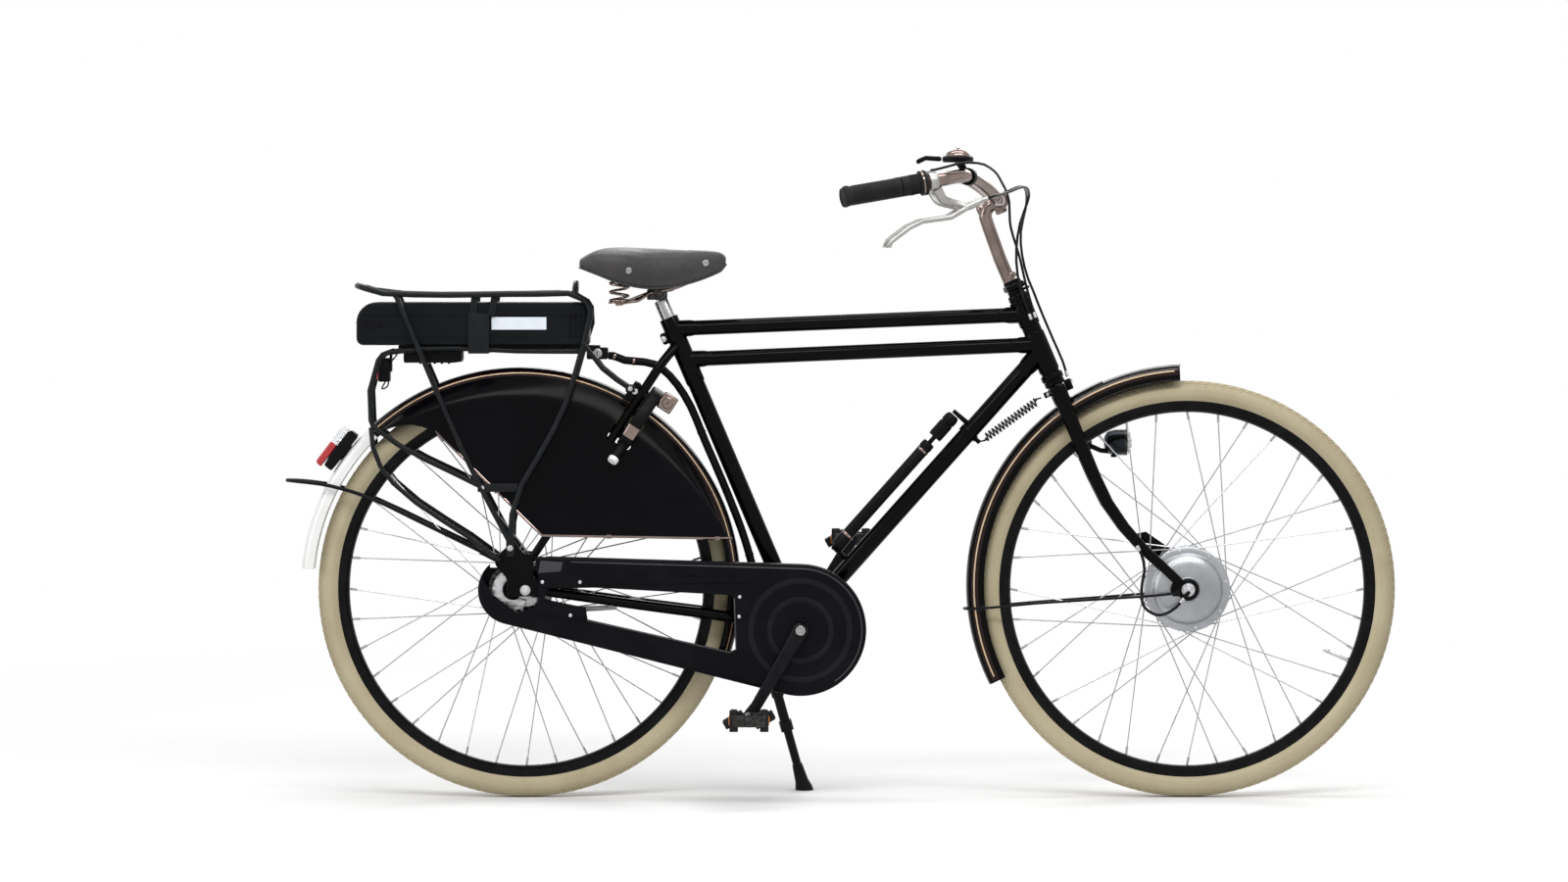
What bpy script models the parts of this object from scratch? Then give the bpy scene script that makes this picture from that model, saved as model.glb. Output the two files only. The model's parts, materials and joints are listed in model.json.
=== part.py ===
"""Electric city bicycle with a hub motor, a rack battery and a full chaincase.

The bicycle is drawn upright in its own frame: +X forward, +Y to the rider's left, +Z up, with the
bottom bracket above x = 0 and the ground at z = 0. A root empty then leans it on its side stand.
Every turning or sliding group hangs from an empty on its own axis. All lengths are in metres.
"""

import math

import bmesh
import bpy
from mathutils import Matrix, Vector

# Wheels
RIM_RADIUS = 0.3165
TYRE_HEIGHT = 0.0345
TYRE_RADIUS = RIM_RADIUS + TYRE_HEIGHT
TYRE_HALF_WIDTH = 0.020
RIM_DEPTH = 0.019
RIM_HALF_WIDTH = 0.0135
WHEEL_STEPS = 36
SPOKES = 36
SPOKE_RADIUS = 0.0011
SPOKE_SPLAY = 0.0022
AXLE_RADIUS = 0.005

# Frame geometry
WHEEL_CLEARANCE = 0.412
WHEELBASE = 2 * TYRE_RADIUS + WHEEL_CLEARANCE
BRACKET_CLEARANCE = 0.111
REAR_CENTRE = TYRE_RADIUS + BRACKET_CLEARANCE
BRACKET_HEIGHT = 0.284
SEAT_ANGLE = 67.0
HEAD_ANGLE = 67.0
FORK_RAKE = 0.070
CROWN_CLEARANCE = 0.0654
FORK_LENGTH = TYRE_RADIUS + CROWN_CLEARANCE
SEAT_TUBE_LENGTH = 0.568
SEAT_TUBE_RADIUS = 0.0143
TOP_TUBE_RADIUS = 0.0127
DOWN_TUBE_RADIUS = 0.0145
DOWN_TUBE_RISE = 0.012
HEAD_TUBE_LENGTH = 0.1383
HEAD_TUBE_RADIUS = 0.0159
HEAD_TUBE_BORE = 0.0140
UPPER_TUBE_ON_SEAT = SEAT_TUBE_LENGTH - 0.019
UPPER_TUBE_ON_HEAD = 0.1156
LOWER_TUBE_ON_SEAT = SEAT_TUBE_LENGTH - 0.075
LOWER_TUBE_ON_HEAD = 0.0609
DOWN_TUBE_ON_HEAD = 0.0483
LUG_WALL = 0.0017
LUG_REACH = 0.046
BRACKET_SHELL_RADIUS = 0.0205
BRACKET_SHELL_HALF = 0.036
SPINDLE_RADIUS = 0.0085
CHAIN_STAY_RADIUS = 0.0098
SEAT_STAY_RADIUS = 0.0080
REAR_DROPOUT_Y = 0.0680
DROPOUT_HALF = 0.0025
FRONT_DROPOUT_Y = 0.0525
BATTERY_LUG_X = 0.024
BATTERY_LUG_Z = 0.077

# Fit of touching pieces
GAP = 0.0003
RUNNING_GAP = 0.0010

# Fork and steering
STEERER_RADIUS = 0.0127
CROWN_TOP = -0.010
CROWN_BOTTOM = -0.040
BLADE_RADIUS = 0.0132
BLADE_OVAL = 0.78
BLADE_TIP_RADIUS = 0.0078
BLADE_TOP_Y = 0.0405
STEM_RADIUS = 0.0111
STEM_TOP = 0.307
STEM_REACH = 0.033
BAR_RADIUS = 0.0111
GRIP_RADIUS = 0.0158
GRIP_LENGTH = 0.095
SHIFTER_LENGTH = 0.044
SHIFTER_COLLAR = 0.0210
BAR_END = (-0.2036, 0.300, 0.4170)
BAR_BEND = (-0.0454, 0.257, 0.3800)
BELL_Y = 0.1850
BELL_SEAT = (-0.0090, -BELL_Y, 0.3960)

# Crank set
CRANK_LENGTH = 0.170
CRANK_ANGLE = 120.4
CRANK_Y = 0.0880
CRANK_HALF = 0.0065
CRANK_HALF_WIDTH = 0.0115
CHAIN_LINE = 0.0475
CHAINRING_TEETH = 38
SPROCKET_TEETH = 19
CHAIN_PITCH = 0.0127
CHAINRING_HALF = 0.0011
CHAIN_HALF_WIDTH = 0.0045
PEDAL_INNER_Y = 0.103
PEDAL_LENGTH = 0.094
PEDAL_BLOCK = (0.0120, 0.036)
PEDAL_BLOCK_X = 0.0265

# Chaincase
CASE_FRONT_RADIUS = 0.1107
CASE_REAR_RADIUS = 0.0580
CASE_BEHIND_AXLE = 0.0214
CASE_INNER_Y = 0.0395
CASE_OUTER_Y = 0.0775
CASE_WALL = 0.0022

# Mudguards, each an arc round a centre just off its axle
REAR_GUARD_OFFSET = (-0.0092, 0.0024)
REAR_GUARD_RADIUS = TYRE_RADIUS + 0.0207
REAR_GUARD_FROM = -18.0
REAR_GUARD_TO = 175.0
REAR_GUARD_DEPTH = 0.021
REAR_GUARD_STEPS = 20
BRIDGE_RADIUS = 0.0058
BRIDGE_HALF = 0.0400
REAR_LIGHT_ANGLE = 142.5
FRONT_GUARD_OFFSET = (0.0025, 0.0059)
FRONT_GUARD_RADIUS = TYRE_RADIUS + 0.0245
FRONT_GUARD_FROM = 92.5
FRONT_GUARD_TO = 206.5
FRONT_GUARD_DEPTH = 0.029
GUARD_HALF_WIDTH = 0.0290
GUARD_WALL = 0.0014

# Ring lock
LOCK_ANGLE = 57.0
LOCK_RADIUS = TYRE_RADIUS - 0.0160
LOCK_FORWARD = 0.0045

# Side stand
STAND_X = -0.0650
STAND_Y = 0.0460
STAND_DROP = 0.0200
STAND_Z = BRACKET_HEIGHT - STAND_DROP
STAND_PLATE_Z = BRACKET_HEIGHT + 0.0006
STAND_SPLAY = 8.6
STAND_RAKE = 15.4
STAND_LEG_RADIUS = 0.0085
STAND_FOOT_HALF = 0.016
LEAN = 4.0

# Saddle and post, the saddle measured from the top of the post
POST_RADIUS = 0.0127
POST_TOP = SEAT_TUBE_LENGTH + 0.034
POST_BOTTOM = SEAT_TUBE_LENGTH - 0.138
SADDLE_REAR_X = -0.1360
SADDLE_TOP_Z = 0.0855
SADDLE_SHELL = 0.0055
SADDLE_SPRING_X = -0.0698
SADDLE_SPRING_Y = 0.0520
SADDLE_SPRING_BASE = -0.0011
SADDLE_SPRING_TOP = 0.0569
SADDLE_SPRING_RADIUS = 0.0150
SADDLE_SPRING_WIRE = 0.0022
SADDLE_SPRING_TURNS = 4
SADDLE_PIVOT_X = 0.0852
SADDLE_PIVOT_Z = 0.0469

# Rack and battery, measured from the rear axle
RACK_TUBE = 0.0050
RACK_HALF_WIDTH = 0.0640
RACK_TOP_Z = 0.4970
BATTERY_REAR_X = -0.2842
BATTERY_FRONT_X = 0.1075
BATTERY_BOTTOM_Z = 0.4110
BATTERY_TOP_Z = 0.4834
BATTERY_HALF_WIDTH = 0.0540

# Motor
MOTOR_RADIUS = 0.0715
MOTOR_DOME_RADIUS = 0.0590
MOTOR_CABLE_ROOT = (0.001, -0.0655, -0.002)
MOTOR_CABLE_START = (-0.0080, -0.0655, -0.0140)

# Stabiliser spring between the down tube and the fork crown
STEER_SPRING_TURNS = 12
STEER_SPRING_RADIUS = 0.0068
STEER_SPRING_WIRE = 0.0018
SPRING_HOOK_DROP = DOWN_TUBE_RADIUS + 0.0100

UP = Vector((0.0, 0.0, 1.0))
LEFT = Vector((0.0, 1.0, 0.0))
REAR_AXLE = Vector((-REAR_CENTRE, 0.0, TYRE_RADIUS))
FRONT_AXLE = Vector((WHEELBASE - REAR_CENTRE, 0.0, TYRE_RADIUS))
BRACKET = Vector((0.0, 0.0, BRACKET_HEIGHT))


def direction(angle):
    """Unit vector in the bicycle's side view, at this angle above the forward direction."""
    return Vector((math.cos(math.radians(angle)), 0.0, math.sin(math.radians(angle))))


SEAT_AXIS = direction(180.0 - SEAT_ANGLE)
HEAD_AXIS = direction(180.0 - HEAD_ANGLE)
HEAD_LOW = FRONT_AXLE - direction(90.0 - HEAD_ANGLE) * FORK_RAKE + HEAD_AXIS * FORK_LENGTH
REAR_GUARD_CENTRE = REAR_AXLE + Vector((REAR_GUARD_OFFSET[0], 0.0, REAR_GUARD_OFFSET[1]))
REAR_LUG = REAR_AXLE + Vector((-BATTERY_LUG_X, 0.0, BATTERY_LUG_Z))


def guard_reach(angle):
    """Distance of the rear mudguard's flat facets from its centre in this direction."""
    step = (REAR_GUARD_TO - REAR_GUARD_FROM) / REAR_GUARD_STEPS
    off_middle = (angle - REAR_GUARD_FROM) % step - step / 2
    return REAR_GUARD_RADIUS * math.cos(math.radians(step / 2)) / math.cos(math.radians(off_middle))


def seat_point(distance):
    """Point on the seat tube's axis at this distance from the bottom bracket."""
    return BRACKET + SEAT_AXIS * distance


def head_point(distance):
    """Point on the steering axis at this distance above the head tube's lower end."""
    return HEAD_LOW + HEAD_AXIS * distance


def stay_line(share, y=0.0, rise=0.0):
    """Point between the bottom bracket and the rear axle, at this share of the way and this much higher."""
    middle = BRACKET.lerp(REAR_AXLE, share)
    return Vector((middle.x, y, middle.z + rise))


def aft(points):
    """Points measured from the rear axle."""
    return [REAR_AXLE + Vector(point) for point in points]


def mirrored(points, side):
    """The same points on the right (side -1) or the left (side 1) of the bicycle."""
    return [Vector((x, y * side, z)) for x, y, z in points]


def clear_scene():
    for old in list(bpy.data.objects):
        bpy.data.objects.remove(old)


def new_collection(name):
    group = bpy.data.collections.new(name)
    bpy.context.scene.collection.children.link(group)
    return group


clear_scene()
PARTS = new_collection("electric_bicycle")
CUTTERS = new_collection("cutters")


def material(name, colour, roughness, metallic=0.0):
    made = bpy.data.materials.new(name)
    made.use_nodes = True
    shader = made.node_tree.nodes["Principled BSDF"]
    shader.inputs["Base Color"].default_value = (*colour, 1.0)
    shader.inputs["Roughness"].default_value = roughness
    shader.inputs["Metallic"].default_value = metallic
    return made


BLACK_PAINT = material("black_paint", (0.010, 0.010, 0.012), 0.18)
SATIN_BLACK = material("satin_black", (0.035, 0.036, 0.042), 0.45)
CASE_PLASTIC = material("case_plastic", (0.060, 0.060, 0.070), 0.38)
NAVY_PLASTIC = material("navy_plastic", (0.035, 0.042, 0.055), 0.42)
RUBBER = material("rubber", (0.030, 0.030, 0.032), 0.70)
TYRE_RUBBER = material("cream_tyre", (0.580, 0.500, 0.350), 0.75)
SILVER = material("silver", (0.750, 0.750, 0.760), 0.25, 1.0)
CHROME = material("chrome", (0.620, 0.580, 0.550), 0.12, 1.0)
STEEL = material("steel", (0.450, 0.440, 0.430), 0.35, 1.0)
SADDLE_SKIN = material("saddle_skin", (0.110, 0.095, 0.090), 0.50)
CLEAR_LENS = material("clear_lens", (0.850, 0.870, 0.900), 0.08)
RED_LENS = material("red_lens", (0.550, 0.010, 0.015), 0.15)


def empty(name, parent, location, rotation=(0.0, 0.0, 0.0)):
    """An empty that carries a group; rotation is in degrees."""
    frame = bpy.data.objects.new(name, None)
    PARTS.objects.link(frame)
    frame.parent = parent
    frame.location = location
    frame.rotation_euler = [math.radians(angle) for angle in rotation]
    return frame


def part(name, mesh, parent, finish, smooth_angle=35.0):
    """Put a finished mesh in the model under its parent empty."""
    mesh.name = name
    mesh.materials.clear()
    mesh.materials.append(finish)
    mesh.shade_smooth()
    mesh.set_sharp_from_angle(angle=math.radians(smooth_angle))
    made = bpy.data.objects.new(name, mesh)
    PARTS.objects.link(made)
    made.parent = parent
    return made


def cut(target, mesh, name):
    """Cut a mesh, drawn in the target's own frame, out of the target."""
    cutter = bpy.data.objects.new(name, mesh)
    CUTTERS.objects.link(cutter)
    cutter.parent = target.parent
    cutter.hide_render = True
    cutter.display_type = "WIRE"
    step = target.modifiers.new(name, "BOOLEAN")
    step.operation = "DIFFERENCE"
    step.object = cutter


def evaluated_mesh(source):
    """The mesh of an object with its modifiers, or of a curve; the object is then removed."""
    bpy.context.view_layer.update()
    graph = bpy.context.evaluated_depsgraph_get()
    mesh = bpy.data.meshes.new_from_object(source.evaluated_get(graph))
    bpy.data.objects.remove(source)
    return mesh


def joined(meshes, operation="UNION"):
    """The first mesh joined with, or cut by, all the others."""
    body = bpy.data.objects.new("body", meshes[0])
    PARTS.objects.link(body)
    tools = []
    for mesh in meshes[1:]:
        tool = bpy.data.objects.new("tool", mesh)
        CUTTERS.objects.link(tool)
        step = body.modifiers.new("Join", "BOOLEAN")
        step.operation = operation
        step.object = tool
        tools.append(tool)
    result = evaluated_mesh(body)
    for tool in tools:
        bpy.data.objects.remove(tool)
    return result


def from_bmesh(shape):
    mesh = bpy.data.meshes.new("mesh")
    shape.to_mesh(mesh)
    shape.free()
    return mesh


def welded(mesh, distance=0.00001):
    shape = bmesh.new()
    shape.from_mesh(mesh)
    bmesh.ops.remove_doubles(shape, verts=shape.verts, dist=distance)
    bmesh.ops.recalc_face_normals(shape, faces=shape.faces)
    return from_bmesh(shape)


def placed(mesh, location=(0.0, 0.0, 0.0), rotation=(0.0, 0.0, 0.0)):
    """Turn a mesh by X, Y and Z angles in degrees, then move it."""
    turn = Matrix.Identity(4)
    for axis, angle in zip("XYZ", rotation):
        turn = Matrix.Rotation(math.radians(angle), 4, axis) @ turn
    mesh.transform(Matrix.Translation(location) @ turn)
    return mesh


def rod(start, end, radius, end_radius=None, sides=10):
    """A cylinder or cone from one point to another."""
    start = Vector(start)
    end = Vector(end)
    along = end - start
    shape = bmesh.new()
    bmesh.ops.create_cone(
        shape,
        cap_ends=True,
        segments=sides,
        radius1=radius,
        radius2=radius if end_radius is None else end_radius,
        depth=along.length,
    )
    turn = along.to_track_quat("Z", "Y").to_matrix().to_4x4()
    bmesh.ops.transform(shape, matrix=Matrix.Translation((start + end) / 2) @ turn, verts=shape.verts)
    return from_bmesh(shape)


def bore_round(radius, sides):
    """Radius of a bore of this many sides whose flats stay clear of a round piece."""
    return (radius + GAP) / math.cos(math.pi / sides)


def across(x, z, inner, outer, radius, end_radius=None, sides=10):
    """A rod that runs across the bicycle, from one y to another."""
    return rod((x, inner, z), (x, outer, z), radius, end_radius, sides)


def box(size, centre, bevel=0.0, segments=1):
    shape = bmesh.new()
    bmesh.ops.create_cube(shape, size=1.0)
    bmesh.ops.scale(shape, vec=size, verts=shape.verts)
    if bevel:
        bmesh.ops.bevel(shape, geom=shape.edges[:], offset=bevel, segments=segments, affect="EDGES")
    bmesh.ops.translate(shape, vec=centre, verts=shape.verts)
    return from_bmesh(shape)


def flowing(points, bend=18.0):
    """Points along a smooth curve through the given points, one for each bend of this many degrees."""
    points = [Vector(p) for p in points]
    spans = [(b - a).length for a, b in zip(points, points[1:])]
    slopes = [(b - a) / span for a, b, span in zip(points, points[1:], spans)]
    headings = [slopes[0]]
    for first, second, before, after in zip(slopes, slopes[1:], spans, spans[1:]):
        headings.append((first * after + second * before) / (before + after))
    headings.append(slopes[-1])
    fine = []
    for start, end, leaving, arriving, span in zip(points, points[1:], headings, headings[1:], spans):
        for step in range(16):
            t = step / 16
            fine.append(
                start * (2 * t**3 - 3 * t**2 + 1)
                + leaving * (span * (t**3 - 2 * t**2 + t))
                + end * (3 * t**2 - 2 * t**3)
                + arriving * (span * (t**3 - t**2))
            )
    fine.append(points[-1])
    kept = [fine[0]]
    heading = fine[1] - fine[0]
    for here, after in zip(fine[1:], fine[2:]):
        if heading.angle(after - here) > math.radians(bend):
            kept.append(here)
            heading = after - here
    return [*kept, fine[-1]]


def tube(points, radius, sides=8, end_radius=None):
    """A round tube with closed ends along a list of points, tapering evenly to its end radius."""
    data = bpy.data.curves.new("tube", "CURVE")
    data.dimensions = "3D"
    data.bevel_depth = radius
    data.bevel_resolution = (sides - 4) // 2
    data.use_fill_caps = True
    spline = data.splines.new("POLY")
    spline.points.add(len(points) - 1)
    steps = [0.0] + [math.dist(a, b) for a, b in zip(points, points[1:])]
    for index, (knot, place) in enumerate(zip(spline.points, points)):
        knot.co = (*place, 1.0)
        if end_radius is not None:
            knot.radius = 1 + (end_radius / radius - 1) * sum(steps[: index + 1]) / sum(steps)
    curve = bpy.data.objects.new("tube", data)
    PARTS.objects.link(curve)
    return welded(evaluated_mesh(curve))


def plate(outline, thickness, holes=()):
    """A flat piece in the XZ plane, centred on y = 0, from an outline of (x, z) points."""
    data = bpy.data.curves.new("plate", "CURVE")
    data.dimensions = "2D"
    data.fill_mode = "BOTH"
    data.extrude = thickness / 2
    for loop in (outline, *holes):
        spline = data.splines.new("POLY")
        spline.use_cyclic_u = True
        spline.points.add(len(loop) - 1)
        for knot, (x, z) in zip(spline.points, loop):
            knot.co = (x, z, 0.0, 1.0)
    curve = bpy.data.objects.new("plate", data)
    PARTS.objects.link(curve)
    return placed(welded(evaluated_mesh(curve)), rotation=(90.0, 0.0, 0.0))


def turned(profile, steps=24, angle=360.0, closed=False, wall=0.0):
    """A profile of (radius, height) points swept round the Z axis, its outer side from top to bottom."""
    shape = bmesh.new()
    verts = [shape.verts.new((radius, 0.0, height)) for radius, height in profile]
    for first, second in zip(verts, verts[1:]):
        shape.edges.new((first, second))
    if closed:
        shape.edges.new((verts[-1], verts[0]))
    source = bpy.data.objects.new("turned", from_bmesh(shape))
    PARTS.objects.link(source)
    screw = source.modifiers.new("Screw", "SCREW")
    screw.angle = math.radians(angle)
    screw.steps = steps
    screw.render_steps = steps
    screw.use_merge_vertices = angle == 360.0
    screw.merge_threshold = 0.00001
    if wall:
        shell = source.modifiers.new("Solidify", "SOLIDIFY")
        shell.thickness = wall
        shell.offset = -1.0
    mesh = evaluated_mesh(source)
    return welded(mesh) if angle == 360.0 else mesh


def sideways(mesh, y=0.0):
    """Lay a turned mesh's axis across the bicycle, its top pointing to the right, centred on this y."""
    return placed(mesh, (0.0, y, 0.0), (90.0, 0.0, 0.0))


def circle(centre, radius, count, first=0.0, last=360.0):
    """Points (x, z) on an arc; the whole circle leaves out the double end point."""
    whole = abs(last - first) >= 360.0
    steps = count if whole else count - 1
    return [
        (
            centre[0] + radius * math.cos(math.radians(first + (last - first) * i / steps)),
            centre[1] + radius * math.sin(math.radians(first + (last - first) * i / steps)),
        )
        for i in range(count)
    ]


def belt(front, front_radius, rear, rear_radius, front_count, rear_count):
    """Outline of a taut belt round two circles, the front one first, from its lower tangent up."""
    dx = front[0] - rear[0]
    dz = front[1] - rear[1]
    lie = math.degrees(math.atan2(dz, dx))
    spread = math.degrees(math.acos((rear_radius - front_radius) / math.hypot(dx, dz)))
    over = lie + spread
    under = lie - spread
    return circle(front, front_radius, front_count, under, over) + circle(
        rear, rear_radius, rear_count, over, under + 360.0
    )


def pitch_radius(teeth):
    return CHAIN_PITCH / (2 * math.sin(math.pi / teeth))


def gear_outline(teeth):
    """Outline of a sprocket: a root and a tip for each tooth."""
    root = pitch_radius(teeth) - 0.0040
    tip = pitch_radius(teeth) + 0.0028
    step = 360.0 / teeth
    points = []
    for tooth in range(teeth):
        for radius, share in ((root, -0.5), (tip, 0.0)):
            angle = math.radians(step * (tooth + share))
            points.append((radius * math.cos(angle), radius * math.sin(angle)))
    return points


def coil(start, end, radius, wire, turns, name, points_per_turn=8, tail=0.0):
    """One unbroken spring wire between two points, with a straight tail at each end."""
    start = Vector(start)
    end = Vector(end)
    along = (end - start).normalized()
    frame = along.to_track_quat("Z", "Y")
    height = (end - start).length
    count = round(turns * points_per_turn)
    pitch = height / turns
    points = []
    if tail:
        points.append(start - along * (tail + wire))
        points.append(start - along * (tail / 2))
    for index in range(count + 1):
        turn = 2 * math.pi * index / points_per_turn
        offset = Vector((radius * math.cos(turn), radius * math.sin(turn), height * index / count))
        points.append(start + frame @ offset)
    if tail:
        points.append(end + along * (tail / 2))
        points.append(end + along * (tail + wire))
    print(f"{name}: least gap between turns {1000 * (pitch - 2 * wire):.2f} mm")
    return tube(points, wire, 6)


def build_frame(root):
    """Main triangle, twin top tubes, stays and dropouts, brazed into one piece."""
    upper_rear = seat_point(UPPER_TUBE_ON_SEAT)
    upper_front = head_point(UPPER_TUBE_ON_HEAD)
    lower_rear = seat_point(LOWER_TUBE_ON_SEAT)
    lower_front = head_point(LOWER_TUBE_ON_HEAD)
    down_low = BRACKET + UP * DOWN_TUBE_RISE
    down_high = head_point(DOWN_TUBE_ON_HEAD)
    pieces = [
        rod(BRACKET, seat_point(SEAT_TUBE_LENGTH), SEAT_TUBE_RADIUS, sides=14),
        rod(head_point(0.0), head_point(HEAD_TUBE_LENGTH), HEAD_TUBE_RADIUS, sides=14),
        across(0.0, BRACKET_HEIGHT, -BRACKET_SHELL_HALF, BRACKET_SHELL_HALF, BRACKET_SHELL_RADIUS, sides=12),
    ]
    tubes = (
        (upper_rear, upper_front, TOP_TUBE_RADIUS, True),
        (lower_rear, lower_front, TOP_TUBE_RADIUS, True),
        (down_low, down_high, DOWN_TUBE_RADIUS, False),
    )
    for start, end, radius, rear_lug in tubes:
        along = (end - start).normalized()
        pieces.append(rod(start, end, radius))
        pieces.append(rod(end - along * LUG_REACH, end, radius + LUG_WALL))
        if rear_lug:
            pieces.append(rod(start, start + along * LUG_REACH, radius + LUG_WALL))
    # Lug sleeve on the seat tube; sleeves and pressed cups on the head tube from low to high
    sleeves = (
        (0.010, LOWER_TUBE_ON_HEAD + 0.020, LUG_WALL),
        (UPPER_TUBE_ON_HEAD - 0.019, HEAD_TUBE_LENGTH - 0.008, LUG_WALL),
        (-0.004, 0.007, 0.0032),
        (HEAD_TUBE_LENGTH - 0.004, HEAD_TUBE_LENGTH + 0.003, 0.0028),
    )
    sleeve_radius = SEAT_TUBE_RADIUS + LUG_WALL
    sleeve_low = seat_point(LOWER_TUBE_ON_SEAT - 0.030)
    pieces.append(rod(sleeve_low, seat_point(SEAT_TUBE_LENGTH + 0.001), sleeve_radius, sides=14))
    for low, high, wall in sleeves:
        pieces.append(rod(head_point(low), head_point(high), HEAD_TUBE_RADIUS + wall, sides=14))
    # Seat clamp ears and their bolt
    behind = direction(270.0 - SEAT_ANGLE)
    ear = seat_point(SEAT_TUBE_LENGTH - 0.029) + behind * (SEAT_TUBE_RADIUS + 0.004)
    ears = box((0.014, 0.016, 0.020), (0.0, 0.0, 0.0), 0.003)
    pieces.append(placed(ears, ear, (0.0, SEAT_ANGLE - 90.0, 0.0)))
    pieces.append(across(ear.x - 0.003, ear.z - 0.001, -0.0165, 0.0165, 0.0048, sides=6))
    for side in (-1, 1):
        pieces += rear_stays(side)
    # Bridges that carry the rear mudguard
    low_bridge = stay_line(0.2130, rise=-0.0035) - REAR_GUARD_CENTRE
    for angle in (math.degrees(math.atan2(low_bridge.z, low_bridge.x)), 58.3):
        reach = guard_reach(angle) + BRIDGE_RADIUS + GAP
        place = REAR_GUARD_CENTRE + direction(angle) * reach
        pieces.append(across(place.x, place.z, -BRIDGE_HALF, BRIDGE_HALF, BRIDGE_RADIUS, sides=8))
    pieces += pump_pegs()
    # Band on the down tube with the hook of the stabiliser spring
    place, along, under = spring_anchor()
    middle = place - under * SPRING_HOOK_DROP
    pieces.append(rod(middle - along * 0.006, middle + along * 0.006, DOWN_TUBE_RADIUS + 0.0022))
    pieces.append(rod(place - under * 0.009, place + under * 0.001, 0.0040, sides=8))
    frame = part("frame", joined(pieces), root, BLACK_PAINT)
    seat_bore = rod(seat_point(POST_BOTTOM - 0.030), seat_point(0.70), bore_round(POST_RADIUS, 12), sides=12)
    cut(frame, seat_bore, "seat_bore")
    cut(frame, rod(head_point(-0.02), head_point(0.16), HEAD_TUBE_BORE, sides=12), "head_bore")
    spindle_bore = SPINDLE_RADIUS + RUNNING_GAP
    cut(frame, across(0.0, BRACKET_HEIGHT, -0.05, 0.05, spindle_bore, sides=12), "bracket_bore")


def spring_anchor():
    """Hook of the stabiliser spring below the down tube, with the tube's direction and its underside."""
    low = BRACKET + UP * DOWN_TUBE_RISE
    high = head_point(DOWN_TUBE_ON_HEAD)
    along = (high - low).normalized()
    under = Vector((along.z, 0.0, -along.x))
    return high - along * 0.184 + under * SPRING_HOOK_DROP, along, under


def rear_stays(side):
    """Chain stay, seat stay and dropout of one side."""
    end_y = REAR_DROPOUT_Y - 0.0035
    route = (
        stay_line(0.0173, 0.0235, 0.0048),
        stay_line(0.0974, 0.0300, 0.0045),
        stay_line(0.1645, 0.0347, 0.0050),
        stay_line(0.2251, 0.0407, 0.0039),
        stay_line(0.3139, 0.0455, 0.0040),
        stay_line(0.5628, 0.0520, 0.0023),
        REAR_AXLE + Vector((0.029, end_y, -0.002)),
    )
    chain = flowing(mirrored(route, side), 6.0)
    top = seat_point(SEAT_TUBE_LENGTH - 0.046)
    knees = (
        (0.2320, 0.0275, 0.3845),
        (0.1920, 0.0385, 0.3245),
        (0.1320, 0.0460, 0.2350),
        (0.006, end_y, 0.046),
    )
    seat = flowing(mirrored(((top.x - 0.004, 0.0130, top.z - 0.002), *aft(knees)), side), 10.0)
    lug = REAR_LUG
    axle = REAR_AXLE
    outline = (
        (axle.x + 0.042, axle.z - 0.010),
        (axle.x + 0.040, axle.z + 0.006),
        (axle.x + 0.013, axle.z + 0.022),
        (axle.x + 0.014, axle.z + 0.060),
        (axle.x - 0.004, axle.z + 0.062),
        (lug.x + 0.005, lug.z + 0.008),
        (lug.x - 0.006, lug.z + 0.007),
        (lug.x - 0.008, lug.z - 0.006),
        (axle.x - 0.048, axle.z + 0.057),
        (axle.x - 0.052, axle.z + 0.044),
        (axle.x - 0.031, axle.z + 0.020),
        (axle.x - 0.031, axle.z - 0.011),
    )
    holes = (circle((axle.x, axle.z), bore_round(AXLE_RADIUS, 10), 10),)
    dropout = placed(plate(outline, 2 * DROPOUT_HALF, holes), (0.0, REAR_DROPOUT_Y * side, 0.0))
    tab = ((0.162, 0.321), (0.184, 0.350), (0.192, 0.346), (0.200, 0.333), (0.184, 0.309))
    stay_tab = placed(plate(tab, 0.004), axle + LEFT * (0.0375 * side))
    return [
        tube(chain, CHAIN_STAY_RADIUS, 8, end_radius=0.0076),
        tube(seat, SEAT_STAY_RADIUS, 8, end_radius=0.0066),
        dropout,
        stay_tab,
    ]


def pump_line(along, above):
    """Point beside the down tube: distance up from its lower end and height above its axis."""
    low = BRACKET + UP * DOWN_TUBE_RISE
    tube_axis = (head_point(DOWN_TUBE_ON_HEAD) - low).normalized()
    square = Vector((-tube_axis.z, 0.0, tube_axis.x))
    return low + tube_axis * along + square * above


PUMP_HEIGHT = 0.0380
PUMP_FROM = 0.135
PUMP_TO = 0.432
PUMP_RADIUS = 0.0105
PUMP_HANDLE_RADIUS = 0.0125
PUMP_HANDLE_LENGTH = 0.062
PUMP_STROKE = 0.012


def pump_pegs():
    """Lower cup post and upper hook post that hold the pump above the down tube."""
    root_height = DOWN_TUBE_RADIUS - 0.002
    low = pump_line(PUMP_FROM - 0.0045 - GAP, 0.0)
    high = pump_line(PUMP_TO + 0.0045 + GAP, 0.0)
    square = (pump_line(0.0, 1.0) - pump_line(0.0, 0.0)).normalized()
    pegs = []
    for foot in (low, high):
        tip = foot + square * (PUMP_HEIGHT + 0.006)
        pegs.append(rod(foot + square * root_height, tip, 0.0045, 0.0036, sides=8))
    return pegs


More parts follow.
